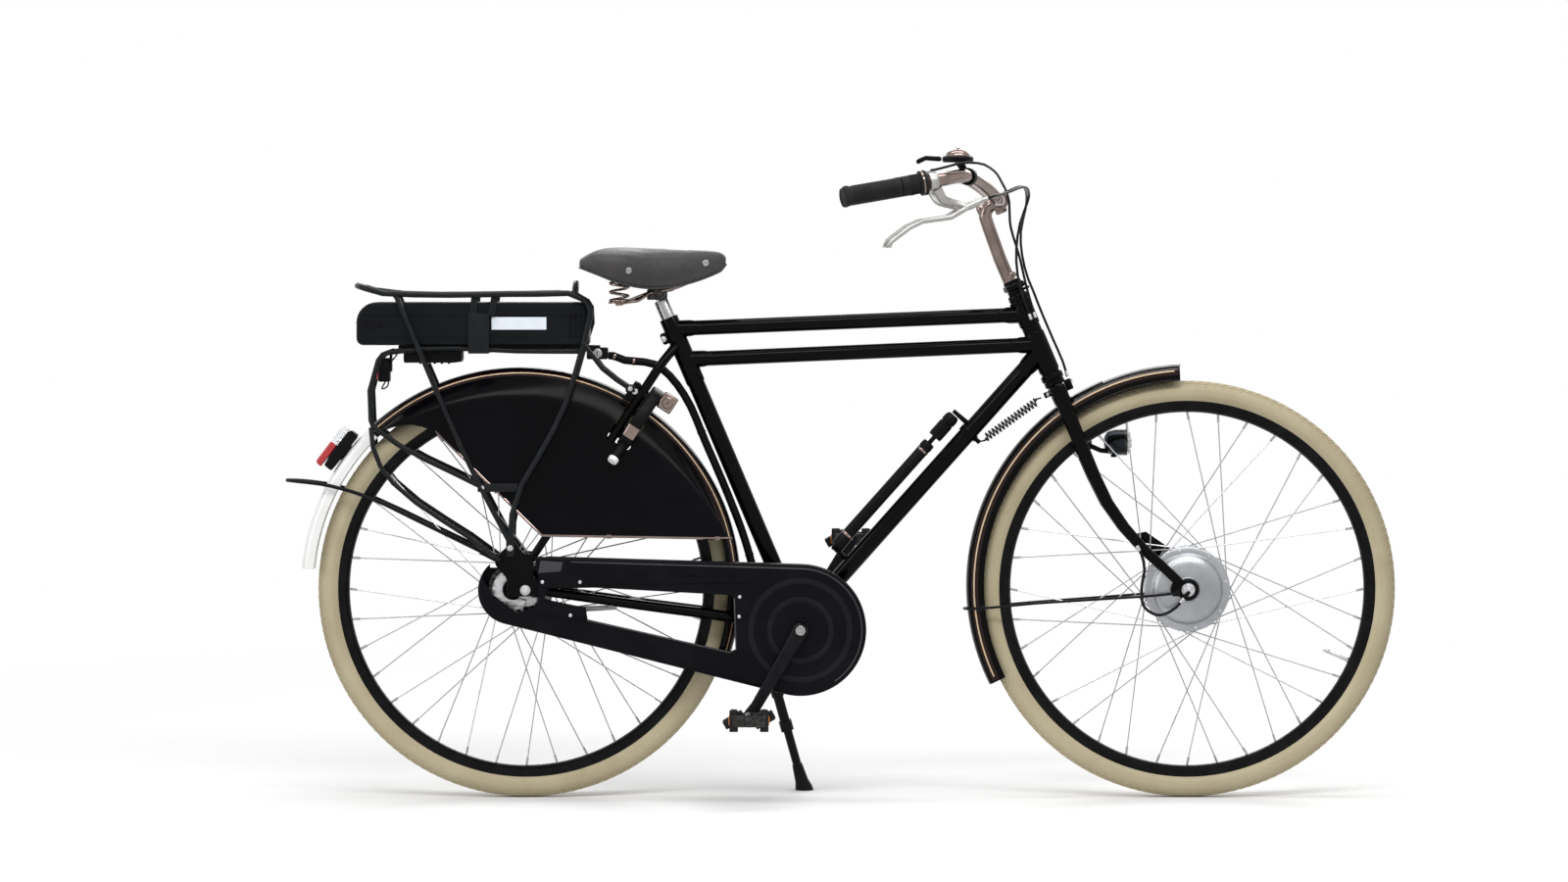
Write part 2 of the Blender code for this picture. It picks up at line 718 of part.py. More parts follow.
def build_pump(root, handle_axis):
    """Frame pump: barrel against the lower peg, sprung handle against the upper one."""
    split = PUMP_TO - PUMP_HANDLE_LENGTH
    foot = pump_line(PUMP_FROM, PUMP_HEIGHT)
    barrel = [
        rod(foot, pump_line(split - 0.002, PUMP_HEIGHT), PUMP_RADIUS),
        rod(foot, pump_line(PUMP_FROM + 0.022, PUMP_HEIGHT), PUMP_RADIUS + 0.0012),
        rod(pump_line(split - 0.004, PUMP_HEIGHT), pump_line(split + 0.030, PUMP_HEIGHT), 0.0040, sides=8),
    ]
    part("pump_barrel", joined(barrel), root, SATIN_BLACK)
    length = PUMP_HANDLE_LENGTH
    gap_end = length - PUMP_STROKE
    handle = turned(
        (
            (0.0, 0.0),
            (PUMP_HANDLE_RADIUS * 0.72, 0.0),
            (PUMP_HANDLE_RADIUS, -0.008),
            (PUMP_HANDLE_RADIUS, -gap_end),
            (0.0040 + GAP, -gap_end),
            (0.0040 + GAP, -gap_end + 0.034),
            (0.0, -gap_end + 0.034),
        ),
        12,
    )
    part("pump_handle", handle, handle_axis, SATIN_BLACK)


def lace(hub_radius, flange_y):
    """Crossed spokes from both flanges to the rim, drawn about the Y axis."""
    spokes = []
    rim = (RIM_RADIUS - RIM_DEPTH) * math.cos(math.pi / WHEEL_STEPS) - 2 * GAP
    for index in range(SPOKES):
        side = 1 if index % 2 else -1
        leading = 1 if (index // 2) % 2 else -1
        rim_angle = 360.0 * index / SPOKES
        hub_angle = rim_angle + leading * 62.0
        head = flange_y + SPOKE_SPLAY * leading
        start = direction(hub_angle) * (hub_radius - 0.004) + LEFT * (head * side)
        end = direction(rim_angle) * rim
        spokes.append(rod(start, end, SPOKE_RADIUS, sides=3))
    shape = bmesh.new()
    for spoke in spokes:
        shape.from_mesh(spoke)
    return from_bmesh(shape)


def wheel_ring(profile):
    """A ring round the axle, turned half a facet so that it has a flat below the axle."""
    ring = sideways(turned(profile, WHEEL_STEPS, closed=True))
    return placed(ring, rotation=(0.0, 180.0 / WHEEL_STEPS, 0.0))


def build_tyre_and_rim(name, axis):
    """Tyre and rim of one wheel as closed rings round the axle; the tyre's flats lie at its true radius."""
    centre = TYRE_RADIUS - TYRE_HALF_WIDTH
    seat = RIM_RADIUS + GAP
    full = 1 / math.cos(math.pi / WHEEL_STEPS)
    profile = [(seat, 0.0125)]
    for index in range(5):
        angle = math.radians(108.0 - 54.0 * index)
        radius = centre + TYRE_HALF_WIDTH * math.cos(angle)
        profile.append((radius * full, TYRE_HALF_WIDTH * math.sin(angle)))
    profile.append((seat, -0.0125))
    part(f"{name}_tyre", wheel_ring(profile), axis, TYRE_RUBBER)
    inner = RIM_RADIUS - RIM_DEPTH
    rim = (
        (RIM_RADIUS, RIM_HALF_WIDTH),
        (RIM_RADIUS, -RIM_HALF_WIDTH),
        (inner + 0.006, -RIM_HALF_WIDTH),
        (inner, 0.0),
        (inner + 0.006, RIM_HALF_WIDTH),
    )
    part(f"{name}_rim", wheel_ring(rim), axis, BLACK_PAINT)


def build_rear_wheel(axis, root, sprocket_axis):
    """Rear wheel on its gear hub, with the fixed axle, nuts, gear actuator and hub brake."""
    build_tyre_and_rim("rear", axis)
    bore = AXLE_RADIUS + RUNNING_GAP
    profile = (
        (bore, 0.0500),
        (0.0150, 0.0500),
        (0.0150, 0.0345),
        (0.0460, 0.0310),
        (0.0460, 0.0260),
        (0.0400, 0.0220),
        (0.0400, -0.0220),
        (0.0460, -0.0260),
        (0.0460, -0.0310),
        (0.0300, -0.0340),
        (bore, -0.0420),
    )
    hub = sideways(turned(profile, 16, closed=True))
    part("rear_hub", joined([hub, lace(0.0460, 0.0285)]), axis, SILVER)
    nut_y = REAR_DROPOUT_Y + DROPOUT_HALF
    pieces = [
        across(0.0, 0.0, -nut_y - 0.009, nut_y + 0.015, AXLE_RADIUS),
        across(0.0, 0.0, nut_y + GAP, nut_y + 0.009, 0.0095, sides=6),
        across(0.0, 0.0, -nut_y - 0.0060, -nut_y - GAP, 0.0080, sides=6),
        across(0.0, 0.0, 0.0430, 0.0560, 0.0430, 0.0400, sides=16),
        across(0.0, 0.0, 0.0550, REAR_DROPOUT_Y - DROPOUT_HALF - GAP, 0.0130),
        across(0.0, 0.0, -REAR_DROPOUT_Y + DROPOUT_HALF + GAP, -0.0530, 0.0170),
        box((0.020, 0.009, 0.016), (0.012, -0.0600, -0.020)),
    ]
    arm = plate(((0.020, -0.030), (0.034, -0.036), (0.150, -0.040), (0.153, -0.048), (0.022, -0.048)), 0.003)
    pieces.append(placed(arm, (0.0, 0.0505, 0.0)))
    axle = empty("rear_axle_centre", root, REAR_AXLE)
    part("rear_axle", joined(pieces), axle, STEEL)
    blank = plate(gear_outline(SPROCKET_TEETH), 2 * CHAINRING_HALF, (circle((0.0, 0.0), 0.0150 + GAP, 16),))
    part("rear_sprocket", placed(blank, (0.0, -CHAIN_LINE, 0.0)), sprocket_axis, STEEL)


def build_front_wheel(axis, fork_end):
    """Front wheel round the hub motor, with the fixed motor axle, nuts and cable boss."""
    build_tyre_and_rim("front", axis)
    bore = AXLE_RADIUS + RUNNING_GAP
    profile = [
        (bore, 0.0430),
        (0.0200, 0.0430),
        (0.0500, 0.0385),
        (MOTOR_DOME_RADIUS, 0.0300),
        (MOTOR_RADIUS, 0.0280),
    ]
    profile += [(radius, -height) for radius, height in reversed(profile)]
    hub = sideways(turned(profile, 20, closed=True))
    part("front_hub", joined([hub, lace(MOTOR_RADIUS, 0.0235)]), axis, SILVER)
    inner = FRONT_DROPOUT_Y - DROPOUT_HALF
    outer = FRONT_DROPOUT_Y + DROPOUT_HALF
    pieces = [across(0.0, 0.0, -outer - 0.013, outer + 0.013, AXLE_RADIUS)]
    for side in (-1, 1):
        pieces.append(across(0.0, 0.0, side * (outer + GAP), side * (outer + 0.009), 0.0105, sides=6))
        pieces.append(across(0.0, 0.0, side * 0.0440, side * (inner - GAP), 0.0190, 0.0165))
    pieces.append(rod(MOTOR_CABLE_ROOT, MOTOR_CABLE_START, 0.0034, sides=8))
    part("motor_axle", joined(pieces), fork_end, STEEL)


def mudguard_mesh(radius, first, last, depth, steps):
    """A curved strip swept along the wheel, its crown up and its edges turned down."""
    half = GUARD_HALF_WIDTH
    profile = (
        (radius - depth, half),
        (radius - depth * 0.50, half),
        (radius, half * 0.45),
        (radius, -half * 0.45),
        (radius - depth * 0.50, -half),
        (radius - depth, -half),
    )
    strip = turned(profile, steps, last - first, wall=GUARD_WALL)
    return placed(strip, rotation=(90.0, -first, 0.0))


def build_mudguards(root, steering):
    """Both mudguards, the rear loop stay and the front wire stay."""
    sweep = (REAR_GUARD_FROM, REAR_GUARD_TO)
    rear = mudguard_mesh(REAR_GUARD_RADIUS, *sweep, REAR_GUARD_DEPTH, REAR_GUARD_STEPS)
    part("rear_mudguard", placed(rear, REAR_GUARD_CENTRE), root, BLACK_PAINT)
    front = mudguard_mesh(
        FRONT_GUARD_RADIUS,
        FRONT_GUARD_FROM + HEAD_ANGLE - 90.0,
        FRONT_GUARD_TO + HEAD_ANGLE - 90.0,
        FRONT_GUARD_DEPTH,
        13,
    )
    tilt = math.radians(90.0 - HEAD_ANGLE)
    dx, dz = FRONT_GUARD_OFFSET
    centre = (
        FORK_RAKE + dx * math.cos(tilt) + dz * math.sin(tilt),
        0.0,
        -FORK_LENGTH - dx * math.sin(tilt) + dz * math.cos(tilt),
    )
    part("front_mudguard", placed(front, centre), steering, BLACK_PAINT)
    # The loop stay runs from the rear lugs over the mudguard to a bumper tip
    loop_half = aft(
        (
            (-0.0410, 0.0620, 0.0480),
            (-0.1580, 0.0540, 0.1050),
            (-0.2930, 0.0400, 0.1650),
            (-0.3370, 0.0370, 0.1760),
            (-0.3880, 0.0260, 0.1820),
            (-0.4030, 0.0000, 0.1830),
        )
    )
    right = mirrored(loop_half, -1)
    left = mirrored(loop_half, 1)[-2::-1]
    part("mudguard_loop", tube(flowing(right + left), 0.0032, 6), root, BLACK_PAINT)
    # The front stay is one wire from fork end to fork end round the mudguard
    wire_half = (
        (0.0500, FRONT_DROPOUT_Y + DROPOUT_HALF + 0.0022 + GAP, -0.4140),
        (0.0200, FRONT_DROPOUT_Y + DROPOUT_HALF + 0.0022 + GAP, -0.4050),
        (-0.0600, 0.0450, -0.3780),
        (-0.1700, GUARD_HALF_WIDTH + 0.0026, -0.3400),
        (-0.2680, GUARD_HALF_WIDTH + 0.0040, -0.3080),
        (-0.2820, 0.0270, -0.3030),
        (-0.2880, 0.0140, -0.3008),
        (-0.2890, 0.0000, -0.3000),
    )
    right = mirrored(wire_half, -1)
    left = mirrored(wire_half, 1)[-2::-1]
    wire = [right[0], *flowing(right[1:] + left[:-1], 11.0), left[-1]]
    part("front_mudguard_stay", tube(wire, 0.0022, 6), steering, BLACK_PAINT)


def build_skirt_guard(root, side, name):
    """Thin coat guard: hangs from the mudguard's edge, outside the seat stay."""
    top_radius = REAR_GUARD_RADIUS - REAR_GUARD_DEPTH + 0.006
    lower = ((-0.1780, 0.2930), (0.0277, 0.0919), (0.3220, 0.0869), (0.3470, 0.0869))
    columns = 11
    rows = (0.0, 0.10, 0.24, 1.0)
    lengths = [math.dist(a, b) for a, b in zip(lower, lower[1:])]
    shape = bmesh.new()
    grid = []
    for column in range(columns + 1):
        share = column / columns
        angle = 134.0 + (14.5 - 134.0) * share
        top = REAR_GUARD_CENTRE + direction(angle) * top_radius
        reach = sum(lengths) * share
        index = 0
        while index < len(lengths) - 1 and reach > lengths[index]:
            reach -= lengths[index]
            index += 1
        step = reach / lengths[index]
        foot_x = REAR_AXLE.x + lower[index][0] + (lower[index + 1][0] - lower[index][0]) * step
        foot_z = REAR_AXLE.z + lower[index][1] + (lower[index + 1][1] - lower[index][1]) * step
        line = []
        for row in rows:
            x = top.x + (foot_x - top.x) * row
            z = top.z + (foot_z - top.z) * row
            outer = 0.0507 + max(0.0, REAR_AXLE.z + 0.289 - z) * 0.098
            inner = GUARD_HALF_WIDTH + GAP + 0.0002
            bulge = min(1.0, row / 0.24) if column not in (0, columns) else row
            y = inner + (outer - inner) * math.sin(bulge * math.pi / 2)
            line.append(shape.verts.new((x, y * side, z)))
        grid.append(line)
    for first, second in zip(grid, grid[1:]):
        for index in range(len(rows) - 1):
            face = (first[index], first[index + 1], second[index + 1], second[index])
            shape.faces.new(face if side > 0 else face[::-1])
    guard = part(name, from_bmesh(shape), root, SATIN_BLACK)
    shell = guard.modifiers.new("Solidify", "SOLIDIFY")
    shell.thickness = 0.0018
    shell.offset = -1.0
    # Notch for the seat stay and the end of the ring lock
    notch = box((0.060, 0.044, 0.136), (0.055 * side, 0.0090, 0.0200))
    notch.transform(lock_matrix())
    cut(guard, notch, f"{name}_notch")


def lock_matrix():
    """Frame of the ring lock: X to the left, Y toward the seat stays, Z out along the wheel's radius."""
    radial = direction(LOCK_ANGLE)
    back = direction(LOCK_ANGLE + 90.0)
    place = REAR_AXLE + radial * LOCK_RADIUS - back * LOCK_FORWARD
    return Matrix.Translation(place) @ Matrix((LEFT, back, radial)).transposed().to_4x4()


def build_chaincase(root):
    """Outer case over the chain: a pan with a stepped round front and a slot between the runs."""
    front = (0.0, BRACKET_HEIGHT)
    rear = (REAR_AXLE.x - CASE_BEHIND_AXLE, REAR_AXLE.z)
    depth = CASE_OUTER_Y - CASE_INNER_Y
    middle = (CASE_OUTER_Y + CASE_INNER_Y) / 2
    shell = plate(belt(front, CASE_FRONT_RADIUS, rear, CASE_REAR_RADIUS, 24, 12), depth)
    pieces = [placed(shell, (0.0, -middle, 0.0))]
    for radius, rise in ((0.088, 0.0012), (0.066, 0.0022), (0.032, 0.0032)):
        outer = -CASE_OUTER_Y - rise
        pieces.append(across(0.0, BRACKET_HEIGHT, outer, -CASE_OUTER_Y + 0.001, radius, radius + 0.002, 18))
    case = part("chaincase", joined(pieces), root, CASE_PLASTIC)
    inset = CASE_WALL
    hollow = plate(belt(front, CASE_FRONT_RADIUS - inset, rear, CASE_REAR_RADIUS - inset, 24, 12), depth)
    cut(case, placed(hollow, (0.0, -middle + CASE_WALL, 0.0)), "case_hollow")
    # Each corner of the slot: its share of the way from the bracket to the axle, and its rise
    corners = (
        (0.9307, -0.0079),
        (0.7879, -0.0138),
        (0.2597, -0.0474),
        (0.2424, -0.0402),
        (0.2511, 0.0312),
        (0.2684, 0.0360),
        (0.7771, 0.0179),
        (0.9221, 0.0082),
    )
    slot = [(point.x, point.z) for point in (stay_line(share, rise=rise) for share, rise in corners)]
    cut(case, placed(plate(slot, 0.020), (0.0, -CASE_OUTER_Y, 0.0)), "case_slot")
    window = (
        (-0.0660, 0.0670),
        (0.0140, 0.0670),
        (0.0220, 0.0210),
        (0.0220, -0.0260),
        (-0.0130, -0.0380),
        (-0.0560, -0.0060),
        (-0.0710, 0.0190),
    )
    cut(case, placed(plate(window, 0.020), REAR_AXLE - LEFT * CASE_OUTER_Y), "case_window")
    # The seat stay and the dropout's upper arm come in through the rim
    stay_way = REAR_AXLE + Vector((-0.0110, -0.0440, 0.0670))
    cut(case, box((0.098, 0.060, 0.060), stay_way), "case_stay_way")
    hole = CRANK_HALF_WIDTH + 0.003
    cut(case, across(0.0, BRACKET_HEIGHT, -0.10, -0.06, hole, sides=12), "case_spindle_hole")
    cover_outline = (
        (0.0270, 0.0530),
        (0.1000, 0.0490),
        (0.1020, 0.0090),
        (0.0260, 0.0110),
        (0.0200, 0.0250),
    )
    cover = placed(plate(cover_outline, 0.0022), REAR_AXLE - LEFT * (CASE_OUTER_Y + 0.0011 + GAP))
    part("chaincase_cover", cover, root, SATIN_BLACK)


def build_crank_set(axis, pedal_axes):
    """Spindle, chainring, cranks with their pedal axles, and the two block pedals."""
    bore = circle((0.0, 0.0), SPINDLE_RADIUS + 0.006 + GAP, 16)
    ring = plate(gear_outline(CHAINRING_TEETH), 2 * CHAINRING_HALF, (bore,))
    part("chainring", placed(ring, (0.0, -CHAIN_LINE, 0.0)), axis, STEEL)
    inner = CRANK_Y - CRANK_HALF
    outer = CRANK_Y + CRANK_HALF
    pin_end = PEDAL_INNER_Y + PEDAL_LENGTH - 0.012
    for side, name, turn in ((-1, "crank_right", 1), (1, "crank_left", -1)):
        reach = turn * CRANK_LENGTH
        pieces = [
            across(0.0, 0.0, side * inner, side * outer, CRANK_HALF_WIDTH + 0.0025, sides=12),
            across(0.0, 0.0, side * (outer - 0.001), side * (outer + 0.003), 0.0085),
            tapered_arm(reach, side * CRANK_Y),
            across(reach, 0.0, side * inner, side * outer, 0.0125),
            across(reach, 0.0, side * (inner + 0.002), side * pin_end, 0.0050, sides=8),
        ]
        if side > 0:
            # The left crank carries the spindle through the bracket shell
            pieces.append(across(0.0, 0.0, -inner + GAP, inner + 0.002, SPINDLE_RADIUS, sides=12))
            boss = SPINDLE_RADIUS + 0.006
            pieces.append(across(0.0, 0.0, -CHAIN_LINE - 0.004, -CHAIN_LINE + 0.004, boss, sides=12))
        part(name, joined(pieces), axis, SATIN_BLACK)
        build_pedal(pedal_axes[side], side, "pedal_right" if side < 0 else "pedal_left")


def tapered_arm(length, y):
    """Forged crank arm, narrower toward the pedal."""
    start = CRANK_HALF_WIDTH * 1.05
    end = CRANK_HALF_WIDTH * 0.80
    outline = ((0.0, -start), (length, -end), (length, end), (0.0, start))
    if length < 0:
        outline = outline[::-1]
    return placed(plate(outline, 2 * CRANK_HALF), (0.0, y, 0.0))


def build_pedal(axis, side, name):
    """Pedal body round its axle with two rubber blocks held by cross bars."""
    first = PEDAL_INNER_Y
    last = PEDAL_INNER_Y + PEDAL_LENGTH
    middle = side * (first + last) / 2
    pieces = [across(0.0, 0.0, side * first, side * last, 0.0105)]
    for end in (first + 0.004, last - 0.010):
        pieces.append(box((2 * PEDAL_BLOCK_X, 0.006, 0.008), (0.0, side * end, 0.0)))
    for place in (-PEDAL_BLOCK_X, PEDAL_BLOCK_X):
        size = (PEDAL_BLOCK[0], PEDAL_LENGTH - 0.004, PEDAL_BLOCK[1])
        pieces.append(box(size, (place, middle, 0.0), 0.003))
    pedal = part(name, joined(pieces), axis, RUBBER)
    bore = across(0.0, 0.0, side * (first - 0.01), side * (last - 0.006), 0.0050 + RUNNING_GAP, sides=8)
    cut(pedal, bore, f"{name}_bore")


def build_chain(root):
    """The chain as one plain taut loop just outside the teeth."""
    front = (0.0, BRACKET_HEIGHT)
    rear = (REAR_AXLE.x, REAR_AXLE.z)
    # The loop's flats stay outside the tips
    ring = (pitch_radius(CHAINRING_TEETH) + 0.0028 + GAP) / math.cos(math.radians(6.3))
    cog = (pitch_radius(SPROCKET_TEETH) + 0.0028 + GAP) / math.cos(math.radians(8.7))
    inner = belt(front, ring, rear, cog, 16, 11)
    outer = belt(front, ring + 0.0050, rear, cog + 0.0050, 16, 11)
    loop = plate(outer, 2 * CHAIN_HALF_WIDTH, (inner,))
    part("chain", placed(loop, (0.0, -CHAIN_LINE, 0.0)), root, STEEL)


def build_stand(root, axis):
    """Side stand: bracket under the chain stays and a leg that folds back."""
    plate_shape = box((0.036, 0.056, 0.006), (0.0, 0.0, 0.0), 0.001)
    bracket = [
        placed(plate_shape, (STAND_X + 0.002, 0.009, STAND_PLATE_Z), (0.0, 9.0, 0.0)),
        box((0.024, 0.012, 0.026), (STAND_X, STAND_Y - 0.0150, STAND_Z + 0.007)),
    ]
    part("stand_bracket", joined(bracket), root, SATIN_BLACK)
    slope = direction(-90.0 + STAND_RAKE)
    reach = (STAND_Z - STAND_Y * math.tan(math.radians(LEAN))) / (
        math.cos(math.radians(STAND_RAKE)) * math.cos(math.radians(STAND_SPLAY))
    )
    sleeve = 0.145
    pieces = [
        across(0.0, 0.0, -0.0060, 0.0085, 0.0125),
        rod((0.0, 0.0, 0.0), slope * (sleeve + 0.02), STAND_LEG_RADIUS, sides=10),
        rod(slope * 0.088, slope * 0.104, STAND_LEG_RADIUS + 0.0025, sides=10),
        rod(slope * sleeve, slope * (sleeve + 0.020), STAND_LEG_RADIUS + 0.0025, sides=10),
        rod(slope * (sleeve + 0.010), slope * (reach - 0.030), STAND_LEG_RADIUS - 0.0012, sides=10),
        rod(slope * (reach - 0.050), slope * (reach + 0.020), STAND_LEG_RADIUS, STAND_FOOT_HALF),
    ]
    leg = part("stand_leg", joined(pieces), axis, SATIN_BLACK)
    # The foot is cut level with the ground that the leaning bicycle stands on
    ground = box((0.30, 0.30, 0.10), (0.0, 0.0, -0.05))
    turn = Matrix.Translation((0.0, 0.0, 0.0)) @ Matrix.Rotation(math.radians(LEAN), 4, "X")
    ground.transform(turn)
    ground.transform(stand_matrix().inverted())
    cut(leg, ground, "stand_ground")


def stand_matrix():
    splay = Matrix.Rotation(math.radians(STAND_SPLAY), 4, "X")
    return Matrix.Translation((STAND_X, STAND_Y, STAND_Z)) @ splay


def build_ring_lock(root, axis):
    """Horseshoe lock across the wheel: body on the seat stays and a curved bolt."""
    middle = 0.0610
    half = 0.0085
    steps = 13
    outer = circle((0.0, 0.0), middle + half, steps, -40.0, 220.0)
    inner = circle((0.0, 0.0), middle - half, steps, 220.0, -40.0)
    body = plate(outer + inner, 0.022)
    ears = [box((0.012, 0.004, 0.026), (side * 0.0440, 0.0105, 0.0420)) for side in (-1, 1)]
    case = part("ring_lock_body", joined([body, *ears]), axis, SATIN_BLACK)
    channel = tube([(x, 0.0, z) for x, z in circle((0.0, 0.0), middle, 17, -60.0, 240.0)], 0.0054, 6)
    cut(case, channel, "lock_channel")
    bolt = tube([(x, 0.0, z) for x, z in circle((0.0, 0.0), middle, 13, -38.0, 165.0)], 0.0038, 6)
    part("ring_lock_bolt", bolt, empty("lock_bolt_axis", axis, (0.0, 0.0, 0.0)), SILVER)


def build_rack(root):
    """Tubular rack with struts to the rear lugs, lower loops, hoop, hangers and tail lamp."""
    half = RACK_HALF_WIDTH
    lug_y = REAR_DROPOUT_Y + DROPOUT_HALF + RACK_TUBE + GAP
    lug = REAR_LUG - REAR_AXLE
    rail = (
        (lug.x - 0.001, lug_y, lug.z),
        (-0.0230, lug_y, 0.1190),
        (-0.0160, 0.0740, 0.1540),
        (0.0170, 0.0700, 0.2150),
        (0.0620, 0.0665, 0.2990),
        (0.0980, half, 0.4130),
        (0.1100, half, 0.4550),
        (0.1060, half, 0.4790),
        (0.0820, half, 0.4960),
        (0.0320, half, RACK_TOP_Z),
        (-0.2080, half, RACK_TOP_Z),
        (-0.2430, half, 0.4990),
        (-0.2730, half - 0.008, 0.5080),
        (-0.2820, half - 0.030, 0.5105),
        (-0.2840, 0.0, 0.5110),
    )
    right = mirrored(aft(rail), -1)
    left = mirrored(aft(rail), 1)[-2::-1]
    pieces = [tube(flowing(right + left, 25.0), RACK_TUBE, 6)]
    foot = (lug.x - 0.002, lug_y, lug.z + 0.004)
    rear_strut = ((-0.2180, half, RACK_TOP_Z), (-0.0780, 0.0700, 0.1790), foot)
    loop = (
        (0.0900, half - 0.0060, 0.4010),
        (0.0120, 0.0480, 0.4010),
        (-0.2080, 0.0480, 0.4010),
        (-0.2400, 0.0490, 0.3950),
        (-0.2550, 0.0520, 0.3640),
        (-0.2610, 0.0560, 0.2990),
        (-0.2560, 0.0580, 0.2750),
        (-0.2380, 0.0600, 0.2610),
        (-0.0780, 0.0700, 0.1760),
    )
    stay = ((-0.2595, 0.0575, 0.2730), (-0.2580, 0.0600, 0.2510), (-0.0420, 0.0748, 0.0490))
    front_arm = ((0.0980, half - 0.002, 0.4130), (0.1320, 0.0520, 0.3690), (0.1745, 0.0435, 0.3385))
    hanger = ((-0.0710, 0.3970), (-0.0510, 0.3970), (-0.0610, 0.4990), (-0.0710, 0.4990))
    runs = ((rear_strut, 15.0, 0.0045), (loop, 25.0, 0.0045), (stay, 15.0, 0.0040), (front_arm, 15.0, 0.0040))
    for side in (-1, 1):
        for points, bend, radius in runs:
            pieces.append(tube(flowing(mirrored(aft(points), side), bend), radius, 6))
        pieces.append(placed(box((0.068, 0.004, 0.014), (-0.0460, side * 0.0705, 0.1720), 0.001), REAR_AXLE))
        pieces.append(placed(plate(hanger, 0.003), REAR_AXLE + LEFT * (side * 0.0600)))
    hoop = (
        (0.0820, -half, 0.4950),
        (0.0835, -half * 0.86, 0.5090),
        (0.0840, -half * 0.55, 0.5150),
        (0.0840, half * 0.55, 0.5150),
        (0.0835, half * 0.86, 0.5090),
        (0.0820, half, 0.4950),
    )
    pieces.append(tube(flowing(aft(hoop), 25.0), 0.0042, 6))
    lower = 0.4010
    bars = (
        (-0.0610, RACK_TOP_Z, half),
        (-0.2080, RACK_TOP_Z, half),
        (0.0670, lower, 0.0540),
        (-0.2250, lower, 0.0540),
    )
    for x, z, reach in bars:
        pieces.append(placed(across(x, z, -reach, reach, 0.0040, sides=6), REAR_AXLE))
    pieces.append(placed(box((0.004, 0.030, 0.036), (-0.2280, 0.0, 0.3840)), REAR_AXLE))
    pieces.append(placed(box((0.020, 0.044, 0.040), (-0.2390, 0.0, 0.3690), 0.005), REAR_AXLE))
    part("rack", joined(pieces), root, SATIN_BLACK)


def build_battery(root, axis):
    """Battery on its tray; the controller box hangs under the tray's rear."""
    tray_top = BATTERY_BOTTOM_Z - GAP
    rail_top = BATTERY_BOTTOM_Z - 0.0055 + GAP
    middle = (tray_top + rail_top) / 2
    tray = [
        box((0.316, 0.086, tray_top - rail_top), (-0.0560, 0.0, middle)),
        box((0.100, 0.060, 0.026), (-0.1560, 0.0, BATTERY_BOTTOM_Z - 0.0170), 0.004),
        box((0.036, 0.050, 0.020), (0.1200, 0.0, BATTERY_BOTTOM_Z - 0.0140), 0.003),
        box((0.045, 0.050, tray_top - rail_top), (0.1020, 0.0, middle)),
    ]
    part("battery_dock", placed(joined(tray), REAR_AXLE), root, SATIN_BLACK)
    length = BATTERY_FRONT_X - BATTERY_REAR_X
    height = BATTERY_TOP_Z - BATTERY_BOTTOM_Z
    block = box((length, 2 * BATTERY_HALF_WIDTH, height), (-length / 2, 0.0, height / 2), 0.016, 3)
    part("battery", block, axis, NAVY_PLASTIC)


def build_rear_light(root):
    """Rear light on the mudguard's crown, with a clear upper and a red lower lens in one moulding."""
    place = REAR_GUARD_CENTRE + direction(REAR_LIGHT_ANGLE) * (guard_reach(REAR_LIGHT_ANGLE) + 2 * GAP)
    frame = empty("rear_light_seat", root, place, (0.0, 90.0 - REAR_LIGHT_ANGLE, 0.0))
    body = [
        box((0.074, 0.054, 0.018), (0.0, 0.0, 0.0105), 0.006),
        box((0.030, 0.030, 0.010), (0.0, 0.0, 0.0053)),
    ]
    part("rear_light", joined(body), frame, SATIN_BLACK)
    lens = box((0.078, 0.050, 0.012), (-0.004, 0.0, 0.0260 + GAP), 0.004)
    part("rear_light_lens", lens, frame, RED_LENS)


